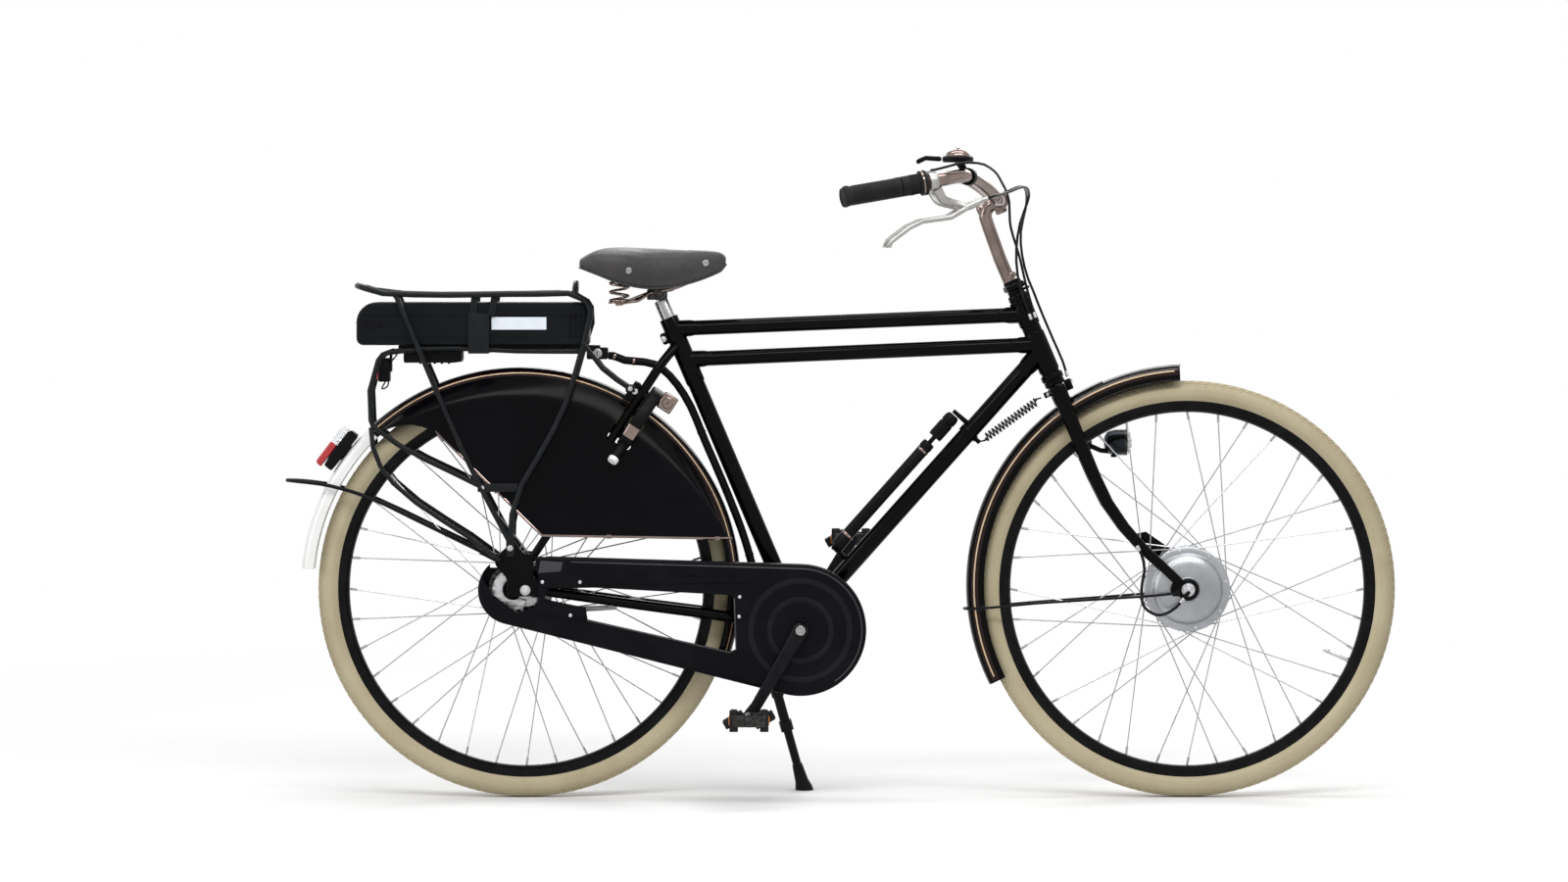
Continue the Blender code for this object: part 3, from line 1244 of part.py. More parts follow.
def build_saddle(root, post_axis, flex_axis):
    """Post, clamp with wire frame, two coil springs and the padded cover."""
    post = rod(SEAT_AXIS * (POST_BOTTOM - POST_TOP), SEAT_AXIS * 0.0, POST_RADIUS, sides=16)
    part("seat_post", post, post_axis, SILVER)
    clamp_centre = SEAT_AXIS * (0.0130 + GAP)
    pieces = [
        across(clamp_centre.x, clamp_centre.z, -0.0220, 0.0220, 0.0130, sides=12),
        box((0.034, 0.026, 0.016), (clamp_centre.x, 0.0, clamp_centre.z + 0.006), 0.003),
    ]
    spring_plate_z = SADDLE_SPRING_BASE - SADDLE_SPRING_WIRE - GAP - 0.0012
    rail = (
        (SADDLE_SPRING_X + 0.004, SADDLE_SPRING_Y, spring_plate_z),
        (SADDLE_SPRING_X + 0.030, 0.0400, spring_plate_z + 0.003),
        (clamp_centre.x - 0.015, 0.0200, clamp_centre.z - 0.001),
        (clamp_centre.x + 0.020, 0.0180, clamp_centre.z + 0.004),
        (SADDLE_PIVOT_X - 0.020, 0.0110, SADDLE_PIVOT_Z - 0.008),
        (SADDLE_PIVOT_X + 0.002, 0.0, SADDLE_PIVOT_Z - 0.0035),
    )
    wire = mirrored(rail, -1) + mirrored(rail, 1)[-2::-1]
    pieces.append(tube(flowing(wire, 22.0), 0.0032, 6))
    for side in (-1, 1):
        seat = rod((0.0, 0.0, -0.0012), (0.0, 0.0, 0.0012), SADDLE_SPRING_RADIUS + 0.003, sides=10)
        pieces.append(placed(seat, (SADDLE_SPRING_X, SADDLE_SPRING_Y * side, spring_plate_z)))
    part("saddle_frame", joined(pieces), post_axis, STEEL)
    for side, name in ((-1, "saddle_spring_right"), (1, "saddle_spring_left")):
        start = Vector((SADDLE_SPRING_X, SADDLE_SPRING_Y * side, SADDLE_SPRING_BASE))
        end = start + UP * (SADDLE_SPRING_TOP - SADDLE_SPRING_BASE)
        spring = coil(start, end, SADDLE_SPRING_RADIUS, SADDLE_SPRING_WIRE, SADDLE_SPRING_TURNS, name)
        part(name, spring, post_axis, STEEL)
    build_saddle_cover(flex_axis)


SADDLE_SECTIONS = (
    # distance from the rear, half width, crown drop, skirt depth
    (0.000, 0.066, 0.0170, 0.031),
    (0.024, 0.098, 0.0030, 0.040),
    (0.072, 0.098, 0.0000, 0.058),
    (0.120, 0.056, 0.0020, 0.066),
    (0.175, 0.031, 0.0025, 0.060),
    (0.236, 0.021, 0.0050, 0.038),
    (0.246, 0.010, 0.0130, 0.026),
)


def build_saddle_cover(axis):
    """Padded cover: a crowned shell with deep side skirts, on a cross plate and a nose pivot."""
    across_shape = ((-1.0, 1.0), (-1.02, 0.42), (-0.75, 0.06), (0.0, 0.0))
    across_shape += tuple((-x, z) for x, z in across_shape[-2::-1])
    shape = bmesh.new()
    rings = []
    for distance, half, drop, depth in SADDLE_SECTIONS:
        ring = []
        for share, fall in across_shape:
            x = SADDLE_REAR_X + distance - SADDLE_PIVOT_X
            z = SADDLE_TOP_Z - drop - (depth - drop) * fall - SADDLE_PIVOT_Z
            ring.append(shape.verts.new((x, share * half, z)))
        rings.append(ring)
    for first, second in zip(rings, rings[1:]):
        for index in range(len(across_shape) - 1):
            shape.faces.new((first[index], first[index + 1], second[index + 1], second[index]))
    bmesh.ops.recalc_face_normals(shape, faces=shape.faces)
    source = bpy.data.objects.new("cover", from_bmesh(shape))
    PARTS.objects.link(source)
    shell = source.modifiers.new("Solidify", "SOLIDIFY")
    shell.thickness = SADDLE_SHELL
    shell.offset = -1.0
    soft = source.modifiers.new("Subdivision", "SUBSURF")
    soft.levels = 1
    soft.render_levels = 1
    cover = evaluated_mesh(source)
    spring_x = SADDLE_SPRING_X - SADDLE_PIVOT_X
    plate_z = SADDLE_SPRING_TOP + SADDLE_SPRING_WIRE + GAP + 0.0015 - SADDLE_PIVOT_Z
    cross = box((0.034, 0.190, 0.003), (spring_x, 0.0, plate_z))
    nose = box((0.016, 0.024, 0.034), (0.0, 0.0, 0.0170 + GAP))
    part("saddle_cover", joined([cover, cross, nose]), axis, SADDLE_SKIN, 60.0)


def fork_blade(side):
    """One oval blade, straight from the crown and raked forward to the fork end."""
    route = (
        (0.0, BLADE_TOP_Y, -0.0197),
        (0.0, BLADE_TOP_Y, -0.060),
        (-0.001, BLADE_TOP_Y + 0.002, -0.168),
        (0.001, BLADE_TOP_Y + 0.005, -0.223),
        (0.008, 0.0490, -0.262),
        (0.019, 0.0505, -0.302),
        (0.036, 0.0520, -0.345),
        (0.052, 0.0525, -0.378),
        (FORK_RAKE - 0.009, FRONT_DROPOUT_Y, -FORK_LENGTH + 0.017),
    )
    stretched = [(x, y / BLADE_OVAL, z) for x, y, z in mirrored(route, side)]
    blade = tube(flowing(stretched, 6.0), BLADE_RADIUS, 8, end_radius=BLADE_TIP_RADIUS)
    blade.transform(Matrix.Diagonal((1.0, BLADE_OVAL, 1.0, 1.0)))
    return blade


def build_fork(steering):
    """Fork with steerer, crown, blades, ends, and the headset nuts that lock it in the head tube."""
    top = HEAD_TUBE_LENGTH + 0.003 + GAP
    pieces = [
        rod((0.0, 0.0, CROWN_BOTTOM + 0.0045), (0.0, 0.0, top + 0.034), STEERER_RADIUS, sides=12),
        rod((0.0, 0.0, CROWN_TOP - 0.004), (0.0, 0.0, -0.004 - GAP), HEAD_TUBE_RADIUS + 0.0015, sides=12),
        across(0.0, (CROWN_TOP + CROWN_BOTTOM) / 2, -BLADE_TOP_Y - 0.0083, BLADE_TOP_Y + 0.0083, 0.0151),
        rod((0.0, 0.0, top), (0.0, 0.0, top + 0.011), 0.0172, sides=12),
        rod((0.0, 0.0, top + 0.010), (0.0, 0.0, top + 0.020), 0.0140, sides=12),
        rod((0.0, 0.0, top + 0.019), (0.0, 0.0, top + 0.031), 0.0170, sides=8),
        rod((0.0, 0.0, top + 0.0305), (0.0, 0.0, top + 0.036), 0.0155, sides=12),
        box((0.012, 0.014, 0.005), (0.0180, 0.0, top + 0.0155), 0.001),
        box((0.012, 0.010, 0.020), (0.0205, 0.0, (CROWN_TOP + CROWN_BOTTOM) / 2 + 0.004), 0.002),
    ]
    for side in (-1, 1):
        pieces.append(fork_blade(side))
        end = (
            (FORK_RAKE - 0.022, -FORK_LENGTH + 0.020),
            (FORK_RAKE - 0.006, -FORK_LENGTH + 0.022),
            (FORK_RAKE + 0.010, -FORK_LENGTH + 0.008),
            (FORK_RAKE + 0.011, -FORK_LENGTH - 0.006),
            (FORK_RAKE + 0.000, -FORK_LENGTH - 0.012),
            (FORK_RAKE - 0.028, -FORK_LENGTH + 0.000),
            (FORK_RAKE - 0.028, -FORK_LENGTH + 0.012),
        )
        hole = circle((FORK_RAKE, -FORK_LENGTH), bore_round(AXLE_RADIUS, 10), 10)
        pieces.append(placed(plate(end, 2 * DROPOUT_HALF, (hole,)), (0.0, side * FRONT_DROPOUT_Y, 0.0)))
    # Arm on the left blade that keeps the motor axle from turning
    tip = FORK_RAKE + 0.006
    arm = ((0.030, -0.300), (0.045, -0.303), (tip, -0.352), (tip, -0.380), (0.040, -0.350))
    pieces.append(placed(plate(arm, 0.004), (0.0, 0.0520, 0.0)))
    # Spring clip behind the crown
    pieces.append(box((0.014, 0.012, 0.010), (-0.0180, 0.0, (CROWN_TOP + CROWN_BOTTOM) / 2 + 0.002), 0.001))
    fork = part("fork", joined(pieces), steering, BLACK_PAINT)
    bore = rod((0.0, 0.0, 0.02), (0.0, 0.0, top + 0.06), bore_round(STEM_RADIUS, 12), sides=12)
    cut(fork, bore, "steerer_bore")


def build_stem_and_bar(steering):
    """Quill stem with its clamp, and the swept handlebar through it."""
    rise = [
        (0.0, 0.0, 0.040),
        (0.0, 0.0, STEM_TOP - 0.030),
        (0.002, 0.0, STEM_TOP - 0.012),
        (0.012, 0.0, STEM_TOP - 0.001),
        (STEM_REACH, 0.0, STEM_TOP + 0.002),
    ]
    route = [rise[0], *flowing(rise[1:])]
    pieces = [
        tube(route, STEM_RADIUS, 10),
        across(STEM_REACH, STEM_TOP + 0.002, -0.0200, 0.0200, BAR_RADIUS + 0.0045, sides=14),
    ]
    stem = part("stem", joined(pieces), steering, CHROME)
    clamp_bore = across(STEM_REACH, STEM_TOP + 0.002, -0.03, 0.03, bore_round(BAR_RADIUS, 12), sides=12)
    cut(stem, clamp_bore, "bar_clamp_bore")
    right = mirrored((BAR_END,), -1) + bar_half(-1)[::-1]
    left = bar_half(1) + mirrored((BAR_END,), 1)
    part("handlebar", tube(right + left, BAR_RADIUS, 12), steering, CHROME)


def bar_frame(steering, side, name):
    """An empty at the bar's end whose Z axis runs forward along the grip."""
    end = Vector(BAR_END)
    bend = Vector(BAR_BEND)
    end.y *= side
    bend.y *= side
    frame = bpy.data.objects.new(name, None)
    PARTS.objects.link(frame)
    frame.parent = steering
    frame.location = end
    frame.rotation_mode = "QUATERNION"
    frame.rotation_quaternion = (bend - end).to_track_quat("Z", "Y")
    return frame


def sleeve(length, bore, outer, steps=14):
    """Profile of a rounded sleeve with a through bore, standing on z = 0."""
    return turned(
        (
            (bore, length),
            (outer - 0.0010, length),
            (outer, length - 0.0040),
            (outer, 0.0020),
            (outer - 0.0012, 0.0),
            (bore, 0.0),
        ),
        steps,
        closed=True,
    )


def build_grips(frames, shifter_axis):
    """Rubber grips on both bar ends and the twist shifter before the right one."""
    bore = bore_round(BAR_RADIUS, 14)
    part("grip_right", sleeve(GRIP_LENGTH, bore, GRIP_RADIUS), frames[-1], RUBBER)
    part("grip_left", sleeve(GRIP_LENGTH + 0.030, bore, GRIP_RADIUS), frames[1], RUBBER)
    length = SHIFTER_LENGTH
    profile = (
        (bore, length),
        (SHIFTER_COLLAR, length),
        (SHIFTER_COLLAR, length - 0.012),
        (GRIP_RADIUS + 0.0008, length - 0.016),
        (GRIP_RADIUS + 0.0008, 0.0),
        (bore, 0.0),
    )
    part("twist_shifter", turned(profile, 14, closed=True), shifter_axis, RUBBER)


LEVER_PIVOT = (-0.0277, 0.2460, 0.3216)


def build_brake(steering, lever_axis, side, names):
    """Brake bracket clamped on the bar and the lever below the grip, beside each other at the pivot."""
    pivot = Vector(LEVER_PIVOT)
    bar = Vector(BAR_BEND)
    end = Vector(BAR_END)
    along = (bar - end).normalized()
    clamp_at = end + along * (GRIP_LENGTH + SHIFTER_LENGTH + 0.0125)
    ring = mirrored((clamp_at - along * 0.0065, clamp_at + along * 0.0065), side)
    arm = mirrored(
        (
            clamp_at + Vector((0.001, 0.0, -0.013)),
            clamp_at + Vector((0.004, -0.010, -0.034)),
            (pivot.x - 0.013, pivot.y - 0.0090, pivot.z + 0.0130),
            (pivot.x + 0.002, pivot.y - 0.0110, pivot.z + 0.0010),
            (0.0030, pivot.y - 0.0115, pivot.z + 0.0010),
        ),
        side,
    )
    pieces = [
        rod(ring[0], ring[1], BAR_RADIUS + 0.0042, sides=12),
        tube(flowing(arm, 18.0), 0.0068, 6, end_radius=0.0048),
        across(pivot.x, pivot.z, side * (pivot.y - 0.0100), side * (pivot.y - 0.0046 - GAP), 0.0048, sides=8),
    ]
    bracket = part(names[0], joined(pieces), steering, SILVER)
    bore = mirrored((clamp_at - along * 0.02, clamp_at + along * 0.02), side)
    cut(bracket, rod(bore[0], bore[1], bore_round(BAR_RADIUS, 12), sides=12), f"{names[0]}_bore")
    blade = mirrored(
        (
            (0.006, 0.000, 0.000),
            (-0.012, 0.002, -0.004),
            (-0.0284, 0.004, -0.0045),
            (-0.0560, 0.012, 0.0040),
            (-0.0800, 0.020, 0.0085),
            (-0.1180, 0.031, 0.0020),
            (-0.1380, 0.036, -0.0040),
            (-0.1430, 0.037, -0.0090),
        ),
        side,
    )
    lever = tube(flowing(blade), 0.0046, 6, end_radius=0.0040)
    part(names[1], lever, lever_axis, SILVER)


def bar_half(side):
    """Smooth route of one half of the handlebar, from the stem to the straight under the grip."""
    points = (
        (STEM_REACH, 0.030, STEM_TOP + 0.002),
        (0.0300, 0.062, STEM_TOP + 0.008),
        (0.0180, 0.118, 0.3400),
        (0.0020, 0.172, 0.3640),
        (-0.0150, 0.218, 0.3740),
        BAR_BEND,
    )
    return flowing(mirrored(points, side))


def bar_at(side, reach):
    """Point on the bar's axis this far from the middle of the bicycle, and the bar's direction there."""
    route = bar_half(side)
    for before, after in zip(route, route[1:]):
        if abs(before.y) <= reach <= abs(after.y):
            share = (reach - abs(before.y)) / (abs(after.y) - abs(before.y))
            return before.lerp(after, share), (after - before).normalized()


def build_bell(frame, lever_axis):
    """Bell on the bar: strap, base and dome in one, with a thumb lever beside it."""
    tilt = Matrix.Rotation(math.radians(90.0 - HEAD_ANGLE), 3, "Y").transposed()
    centre, along = bar_at(-1, BELL_Y)
    centre = tilt @ (centre - Vector(BELL_SEAT))
    along = tilt @ along
    pieces = [
        rod(centre - along * 0.0055, centre + along * 0.0055, BAR_RADIUS + 0.0034, sides=12),
        rod(centre, (0.0, 0.0, 0.0060), 0.0060, sides=8),
        turned(((0.0, 0.0110), (0.0215, 0.0110), (0.0260, 0.0090), (0.0260, 0.0), (0.0, 0.0)), 16),
        turned(((0.0, 0.0225), (0.0120, 0.0210), (0.0190, 0.0170), (0.0205, 0.0080), (0.0, 0.0080)), 16),
    ]
    bell = part("bell", joined(pieces), frame, CHROME)
    bore = rod(centre - along * 0.012, centre + along * 0.012, bore_round(BAR_RADIUS, 12), sides=12)
    cut(bell, bore, "bell_strap_bore")
    arm = ((-0.006, 0.0, 0.0), (0.004, 0.0, 0.0015), (0.022, -0.001, 0.0015), (0.036, -0.003, -0.0060))
    lever = placed(tube(flowing(arm), 0.0042, 8), rotation=(0.0, 0.0, 180.0))
    part("bell_lever", lever, lever_axis, SATIN_BLACK)


def build_cables(root, steering, fork_end):
    """Control cables at the bar, the motor cable and the conduit to the battery."""
    head_guide = HEAD_TUBE_LENGTH + 0.003 + GAP + 0.0155
    front = (
        (0.0030 + GAP, LEVER_PIVOT[1] - 0.0115, LEVER_PIVOT[2] + 0.0010),
        (0.0110, LEVER_PIVOT[1] - 0.0118, LEVER_PIVOT[2] + 0.0008),
        (0.0420, 0.1850, 0.3180),
        (0.0840, 0.1000, 0.3130),
        (0.0760, 0.0480, 0.2880),
        (0.0440, 0.0220, 0.2400),
        (0.0272, 0.0060, head_guide + 0.0060),
        (0.0272, 0.0, head_guide - 0.0100),
        (0.0262, 0.0, UPPER_TUBE_ON_HEAD),
        (0.0262, 0.0, LOWER_TUBE_ON_HEAD),
        (0.0262, 0.0, 0.0100),
        (0.0240, 0.0, CROWN_TOP + 0.0020),
    )
    part("front_brake_cable", tube([front[0], *flowing(front[1:])], 0.0022, 6), steering, RUBBER)
    rear = (
        (0.0030 + GAP, 0.0115 - LEVER_PIVOT[1], LEVER_PIVOT[2] + 0.0010),
        (0.0110, 0.0118 - LEVER_PIVOT[1], LEVER_PIVOT[2] + 0.0008),
        (0.0420, -0.1850, 0.3180),
        (0.0820, -0.1000, 0.3125),
        (0.0800, -0.0500, 0.2950),
        (0.0460, -0.0330, 0.2550),
        (0.0200, -0.0270, 0.2050),
        (0.0040, -0.0235, 0.1550),
        (-0.0080, -0.0210, 0.1050),
    )
    part("rear_brake_cable", tube([rear[0], *flowing(rear[1:])], 0.0022, 6), steering, RUBBER)
    end = mirrored((BAR_END,), -1)[0]
    along = (mirrored((BAR_BEND,), -1)[0] - end).normalized()
    over = (UP - along * along.dot(UP)).normalized()
    face = end + along * (GRIP_LENGTH + RUNNING_GAP + SHIFTER_LENGTH + GAP) + over * 0.0184
    shift = (
        face,
        face + along * 0.0230,
        (-0.0060, -0.2410, 0.3930),
        (0.0240, -0.2120, 0.3800),
        (0.0400, -0.1700, 0.3620),
        (0.0470, -0.1100, 0.3380),
        (0.0480, -0.0550, 0.3050),
        (0.0340, -0.0200, 0.2620),
        (0.0260, -0.0175, 0.2100),
        (0.0160, -0.0225, 0.1550),
        (0.0060, -0.0225, 0.1050),
    )
    part("shift_cable", tube(flowing(shift), 0.0022, 6), steering, RUBBER)
    start = Vector(MOTOR_CABLE_START)
    leaving = (start - Vector(MOTOR_CABLE_ROOT)).normalized()
    motor = (
        start + leaving * GAP,
        start + leaving * 0.0060,
        (-0.0220, -0.0650, -0.0300),
        (-0.0520, -0.0640, -0.0420),
        (-0.0740, -0.0635, -0.0290),
        (-0.0790, -0.0630, 0.0020),
        (-0.0740, -0.0630, 0.0350),
        (-0.0800, -0.0632, 0.0620),
        (-0.0870, -0.0632, 0.0740),
    )
    part("motor_cable", tube([motor[0], *flowing(motor[1:])], 0.0026, 6), fork_end, RUBBER)
    behind = direction(270.0 - SEAT_ANGLE)
    hose = aft(
        (
            (0.1440, 0.0, 0.3930),
            (0.1670, 0.0, 0.3850),
            (0.1920, 0.0, 0.3833),
            (0.2220, 0.0, 0.3760),
            (0.2420, 0.0, 0.3590),
        )
    )
    # Below the upper bend it runs behind the seat tube: distance up the tube, distance behind its axis
    for along, away in (
        (0.4393, 0.0265),
        (0.3493, 0.0245),
        (0.2364, 0.0246),
        (0.1915, 0.0263),
        (0.1394, 0.0315),
        (0.1033, 0.0360),
    ):
        hose.append(seat_point(along) + behind * away)
    port = seat_point(0.0790) + behind * (SEAT_TUBE_RADIUS + GAP)
    route = flowing((*hose, port + behind * 0.0070), 9.0)
    socket = REAR_AXLE + Vector((0.1380 + GAP, 0.0, 0.3930))
    part("conduit_hose", tube([socket, *route, port], 0.0068), root, RUBBER)


def build_headlamp(steering):
    """Headlamp on a bracket from the left blade."""
    lamp = empty("headlamp_seat", steering, (0.0620, 0.0760, -0.1464), (0.0, 90.0 - HEAD_ANGLE, 0.0))
    bowl = (
        (0.0, 0.0110),
        (0.0215, 0.0110),
        (0.0225, 0.0050),
        (0.0200, -0.0160),
        (0.0100, -0.0240),
        (0.0, -0.0240),
    )
    shell = placed(turned(bowl, 16), rotation=(0.0, 90.0, 0.0))
    elbow = ((-0.012, 0.0, -0.016), (-0.030, -0.012, -0.014), (-0.048, -0.0180, -0.006))
    arm = tube(flowing(elbow), 0.0040, 8)
    clamp = box((0.020, 0.006, 0.020), (-0.0560, -0.0205, -0.0020), 0.001)
    part("headlamp", joined([shell, arm, clamp]), lamp, SATIN_BLACK)
    glass = placed(
        turned(((0.0, 0.0110), (0.0180, 0.0090), (0.0215, 0.0040), (0.0215, 0.0), (0.0, 0.0)), 16),
        (0.0113, 0.0, 0.0),
        (0.0, 90.0, 0.0),
    )
    part("headlamp_lens", glass, lamp, CLEAR_LENS)


def build_steering_spring(root):
    """Stabiliser: a tension coil from the hook under the down tube to the clip behind the crown."""
    anchor = spring_anchor()[0]
    crown = HEAD_LOW + HEAD_AXIS * ((CROWN_TOP + CROWN_BOTTOM) / 2 + 0.002)
    target = crown - direction(90.0 - HEAD_ANGLE) * 0.0250
    reach = (target - anchor).normalized()
    start = anchor + reach * (0.0040 + GAP + STEER_SPRING_WIRE + 0.0060)
    end = target - reach * (GAP + STEER_SPRING_WIRE + 0.0130)
    mesh = coil(
        start, end, STEER_SPRING_RADIUS, STEER_SPRING_WIRE, STEER_SPRING_TURNS, "steering_spring", tail=0.0060
    )
    part("steering_spring", mesh, root, STEEL)


def stand_on_ground(root):
    """Move the root so that the leaning bicycle stands on z = 0 over the middle of its own box."""
    bpy.context.view_layer.update()
    graph = bpy.context.evaluated_depsgraph_get()
    low = Vector((1e9, 1e9, 1e9))
    high = -low
    for item in PARTS.objects:
        if item.type != "MESH":
            continue
        solid = item.evaluated_get(graph)
        for vertex in solid.data.vertices:
            place = item.matrix_world @ vertex.co
            low = Vector(map(min, low, place))
            high = Vector(map(max, high, place))
    middle = (low + high) / 2
    root.location = (-middle.x, -middle.y, -low.z)


def build_bicycle():
    root = empty("bicycle", None, (0.0, 0.0, 0.0), (-LEAN, 0.0, 0.0))
    tilt = 90.0 - HEAD_ANGLE
    steering = empty("steering_axis", root, HEAD_LOW, (0.0, -tilt, 0.0))
    front_end = empty("front_axle_centre", steering, (FORK_RAKE, 0.0, -FORK_LENGTH), (0.0, tilt, 0.0))
    front_axis = empty("front_wheel_axis", front_end, (0.0, 0.0, 0.0))
    rear_axis = empty("rear_wheel_axis", root, REAR_AXLE)
    sprocket_axis = empty("sprocket_axis", root, REAR_AXLE, (0.0, 4.0, 0.0))
    crank_axis = empty("crank_axis", root, BRACKET, (0.0, CRANK_ANGLE, 0.0))
    pedal_axes = {}
    for side, name in ((-1, "pedal_right_axis"), (1, "pedal_left_axis")):
        place = (-side * CRANK_LENGTH, 0.0, 0.0)
        pedal_axes[side] = empty(name, crank_axis, place, (0.0, -CRANK_ANGLE, 0.0))
    stand_axis = empty("stand_axis", root, (STAND_X, STAND_Y, STAND_Z), (STAND_SPLAY, 0.0, 0.0))
    battery_axis = empty("battery_slide", root, REAR_AXLE + Vector((BATTERY_FRONT_X, 0.0, BATTERY_BOTTOM_Z)))
    post_axis = empty("saddle_height", root, seat_point(POST_TOP))
    flex_axis = empty("saddle_flex", post_axis, (SADDLE_PIVOT_X, 0.0, SADDLE_PIVOT_Z))
    square = (pump_line(0.0, 1.0) - pump_line(0.0, 0.0)).normalized()
    handle_axis = empty("pump_handle_axis", root, pump_line(PUMP_TO, PUMP_HEIGHT))
    handle_axis.rotation_mode = "QUATERNION"
    handle_axis.rotation_quaternion = LEFT.cross(square).to_track_quat("Z", "Y")
    lock_axis = empty("ring_lock_axis", root, lock_matrix().translation)
    lock_axis.rotation_mode = "QUATERNION"
    lock_axis.rotation_quaternion = lock_matrix().to_quaternion()

    build_frame(root)
    build_pump(root, handle_axis)
    build_rear_wheel(rear_axis, root, sprocket_axis)
    build_front_wheel(front_axis, front_end)
    build_mudguards(root, steering)
    build_skirt_guard(root, -1, "skirt_guard_right")
    build_skirt_guard(root, 1, "skirt_guard_left")
    build_chaincase(root)
    build_crank_set(crank_axis, pedal_axes)
    build_chain(root)
    build_stand(root, stand_axis)
    build_ring_lock(root, lock_axis)
    build_rack(root)
    build_battery(root, battery_axis)
    build_rear_light(root)
    build_saddle(root, post_axis, flex_axis)
    build_fork(steering)
    build_stem_and_bar(steering)
    frames = {
        -1: bar_frame(steering, -1, "right_bar_end"),
        1: bar_frame(steering, 1, "left_bar_end"),
    }
    shifter_axis = empty("shifter_axis", frames[-1], (0.0, 0.0, GRIP_LENGTH + RUNNING_GAP))
    build_grips(frames, shifter_axis)
    for side, names in (
        (-1, ("brake_bracket_right", "brake_lever_right")),
        (1, ("brake_bracket_left", "brake_lever_left")),
    ):
        place = (LEVER_PIVOT[0], side * LEVER_PIVOT[1], LEVER_PIVOT[2])
        lever_axis = empty(f"{names[1]}_axis", steering, place)
        build_brake(steering, lever_axis, side, names)
    bell_frame = empty("bell_seat", steering, BELL_SEAT, (0.0, tilt, 0.0))
    bell_axis = empty("bell_lever_axis", bell_frame, (-0.0330, 0.0, 0.0055))
    build_bell(bell_frame, bell_axis)
    build_cables(root, steering, front_end)
    build_headlamp(steering)
    build_steering_spring(root)
    stand_on_ground(root)


build_bicycle()
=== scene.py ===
# %% [markdown]
# # An electric city bicycle, dressed for the photograph
# The engineering model fixes every size and every joint. This lesson gives each of its pieces the form and
# the finish of the real thing. Most pieces are drawn again, finer, in the place of a plain solid, and they
# ride on the same moving body, so that the wheels, the bar and the cranks still turn.

import json
import math

import bmesh
import bpy
from mathutils import Matrix, Vector


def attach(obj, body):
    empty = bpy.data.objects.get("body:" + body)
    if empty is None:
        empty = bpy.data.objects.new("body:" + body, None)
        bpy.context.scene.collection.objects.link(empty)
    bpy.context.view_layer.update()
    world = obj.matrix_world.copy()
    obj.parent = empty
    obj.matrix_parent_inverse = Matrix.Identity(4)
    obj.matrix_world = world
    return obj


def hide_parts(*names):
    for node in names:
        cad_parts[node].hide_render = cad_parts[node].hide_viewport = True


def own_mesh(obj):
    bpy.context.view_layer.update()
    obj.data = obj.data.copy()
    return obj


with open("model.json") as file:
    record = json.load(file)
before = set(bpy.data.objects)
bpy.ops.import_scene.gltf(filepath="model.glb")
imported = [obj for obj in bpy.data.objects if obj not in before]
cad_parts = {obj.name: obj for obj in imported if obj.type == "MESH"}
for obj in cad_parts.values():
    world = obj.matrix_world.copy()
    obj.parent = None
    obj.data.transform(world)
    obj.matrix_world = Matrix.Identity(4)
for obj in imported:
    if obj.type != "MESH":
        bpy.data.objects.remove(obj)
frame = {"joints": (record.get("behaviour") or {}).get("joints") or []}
joints = {joint["name"]: joint for joint in frame["joints"]}
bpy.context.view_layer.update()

# %% [markdown]
# The bicycle leans on its side stand. It is far easier to draw it upright, so the lesson keeps two places to
# draw in: `BIKE`, upright with the ground at zero and the bottom bracket at x = 0, and `STEER`, whose Z axis
# is the steering axis. Each finished mesh is moved from there to the leaning model.

# %% Upright drawing frames
LEAN = -4.0
HEAD_TILT = 23.0
CRANK_TURN = 120.4
CRANK_LENGTH = 0.17
WHEEL_RADIUS = 0.351
REAR_AXLE = Vector((-0.462, 0.0, WHEEL_RADIUS))
FRONT_AXLE = Vector((0.652, 0.0, WHEEL_RADIUS))
BRACKET = Vector((0.0, 0.0, 0.284))
FORK_RAKE = 0.07
FORK_LENGTH = 0.4164


def turn(axis, degrees):
    return Matrix.Rotation(math.radians(degrees), 4, axis)


def shift(*place):
    return Matrix.Translation(Vector(place))


def aimed(place, way, axis="Z"):
    """A placement whose named axis points along a direction."""
    return Matrix.Translation(place) @ way.to_track_quat(axis, "Y").to_matrix().to_4x4()


LEFT = Vector((0.0, 1.0, 0.0))
SIDES = ((-1, "right"), (1, "left"))
lean = turn("X", LEAN)
BIKE = shift(*joints["rear_wheel_spin"]["pos_m"]) @ lean @ shift(*-REAR_AXLE)
STEER = shift(*joints["steering"]["pos_m"]) @ lean @ turn("Y", -HEAD_TILT)
REAR = BIKE @ shift(*REAR_AXLE)
FRONT = BIKE @ shift(*FRONT_AXLE)
FORK_END = STEER @ shift(FORK_RAKE, 0.0, -FORK_LENGTH) @ turn("Y", HEAD_TILT)
print("the bicycle's own origin stands at", [round(c, 4) for c in BIKE.translation])

# %% [markdown]
# ## Camera, light and floor
# The photograph was taken from the right with a long lens, so the wheels stay round and nothing shrinks with
# distance. A camera 15 m away with a 204 mm lens does the same. It is set up in the upright frame and then
# leans with the bicycle, which hides the far grip behind the near one as in the photograph.

# %% Camera
LENS = 204.3
CAMERA_PLACE = Vector((-0.0276, -15.0, 0.95))
CAMERA_AIM = Vector((-0.0276, 0.0, 0.6))
scene = bpy.context.scene


def linked(name, data):
    """A new object that stands in the scene."""
    made = bpy.data.objects.new(name, data)
    scene.collection.objects.link(made)
    return made


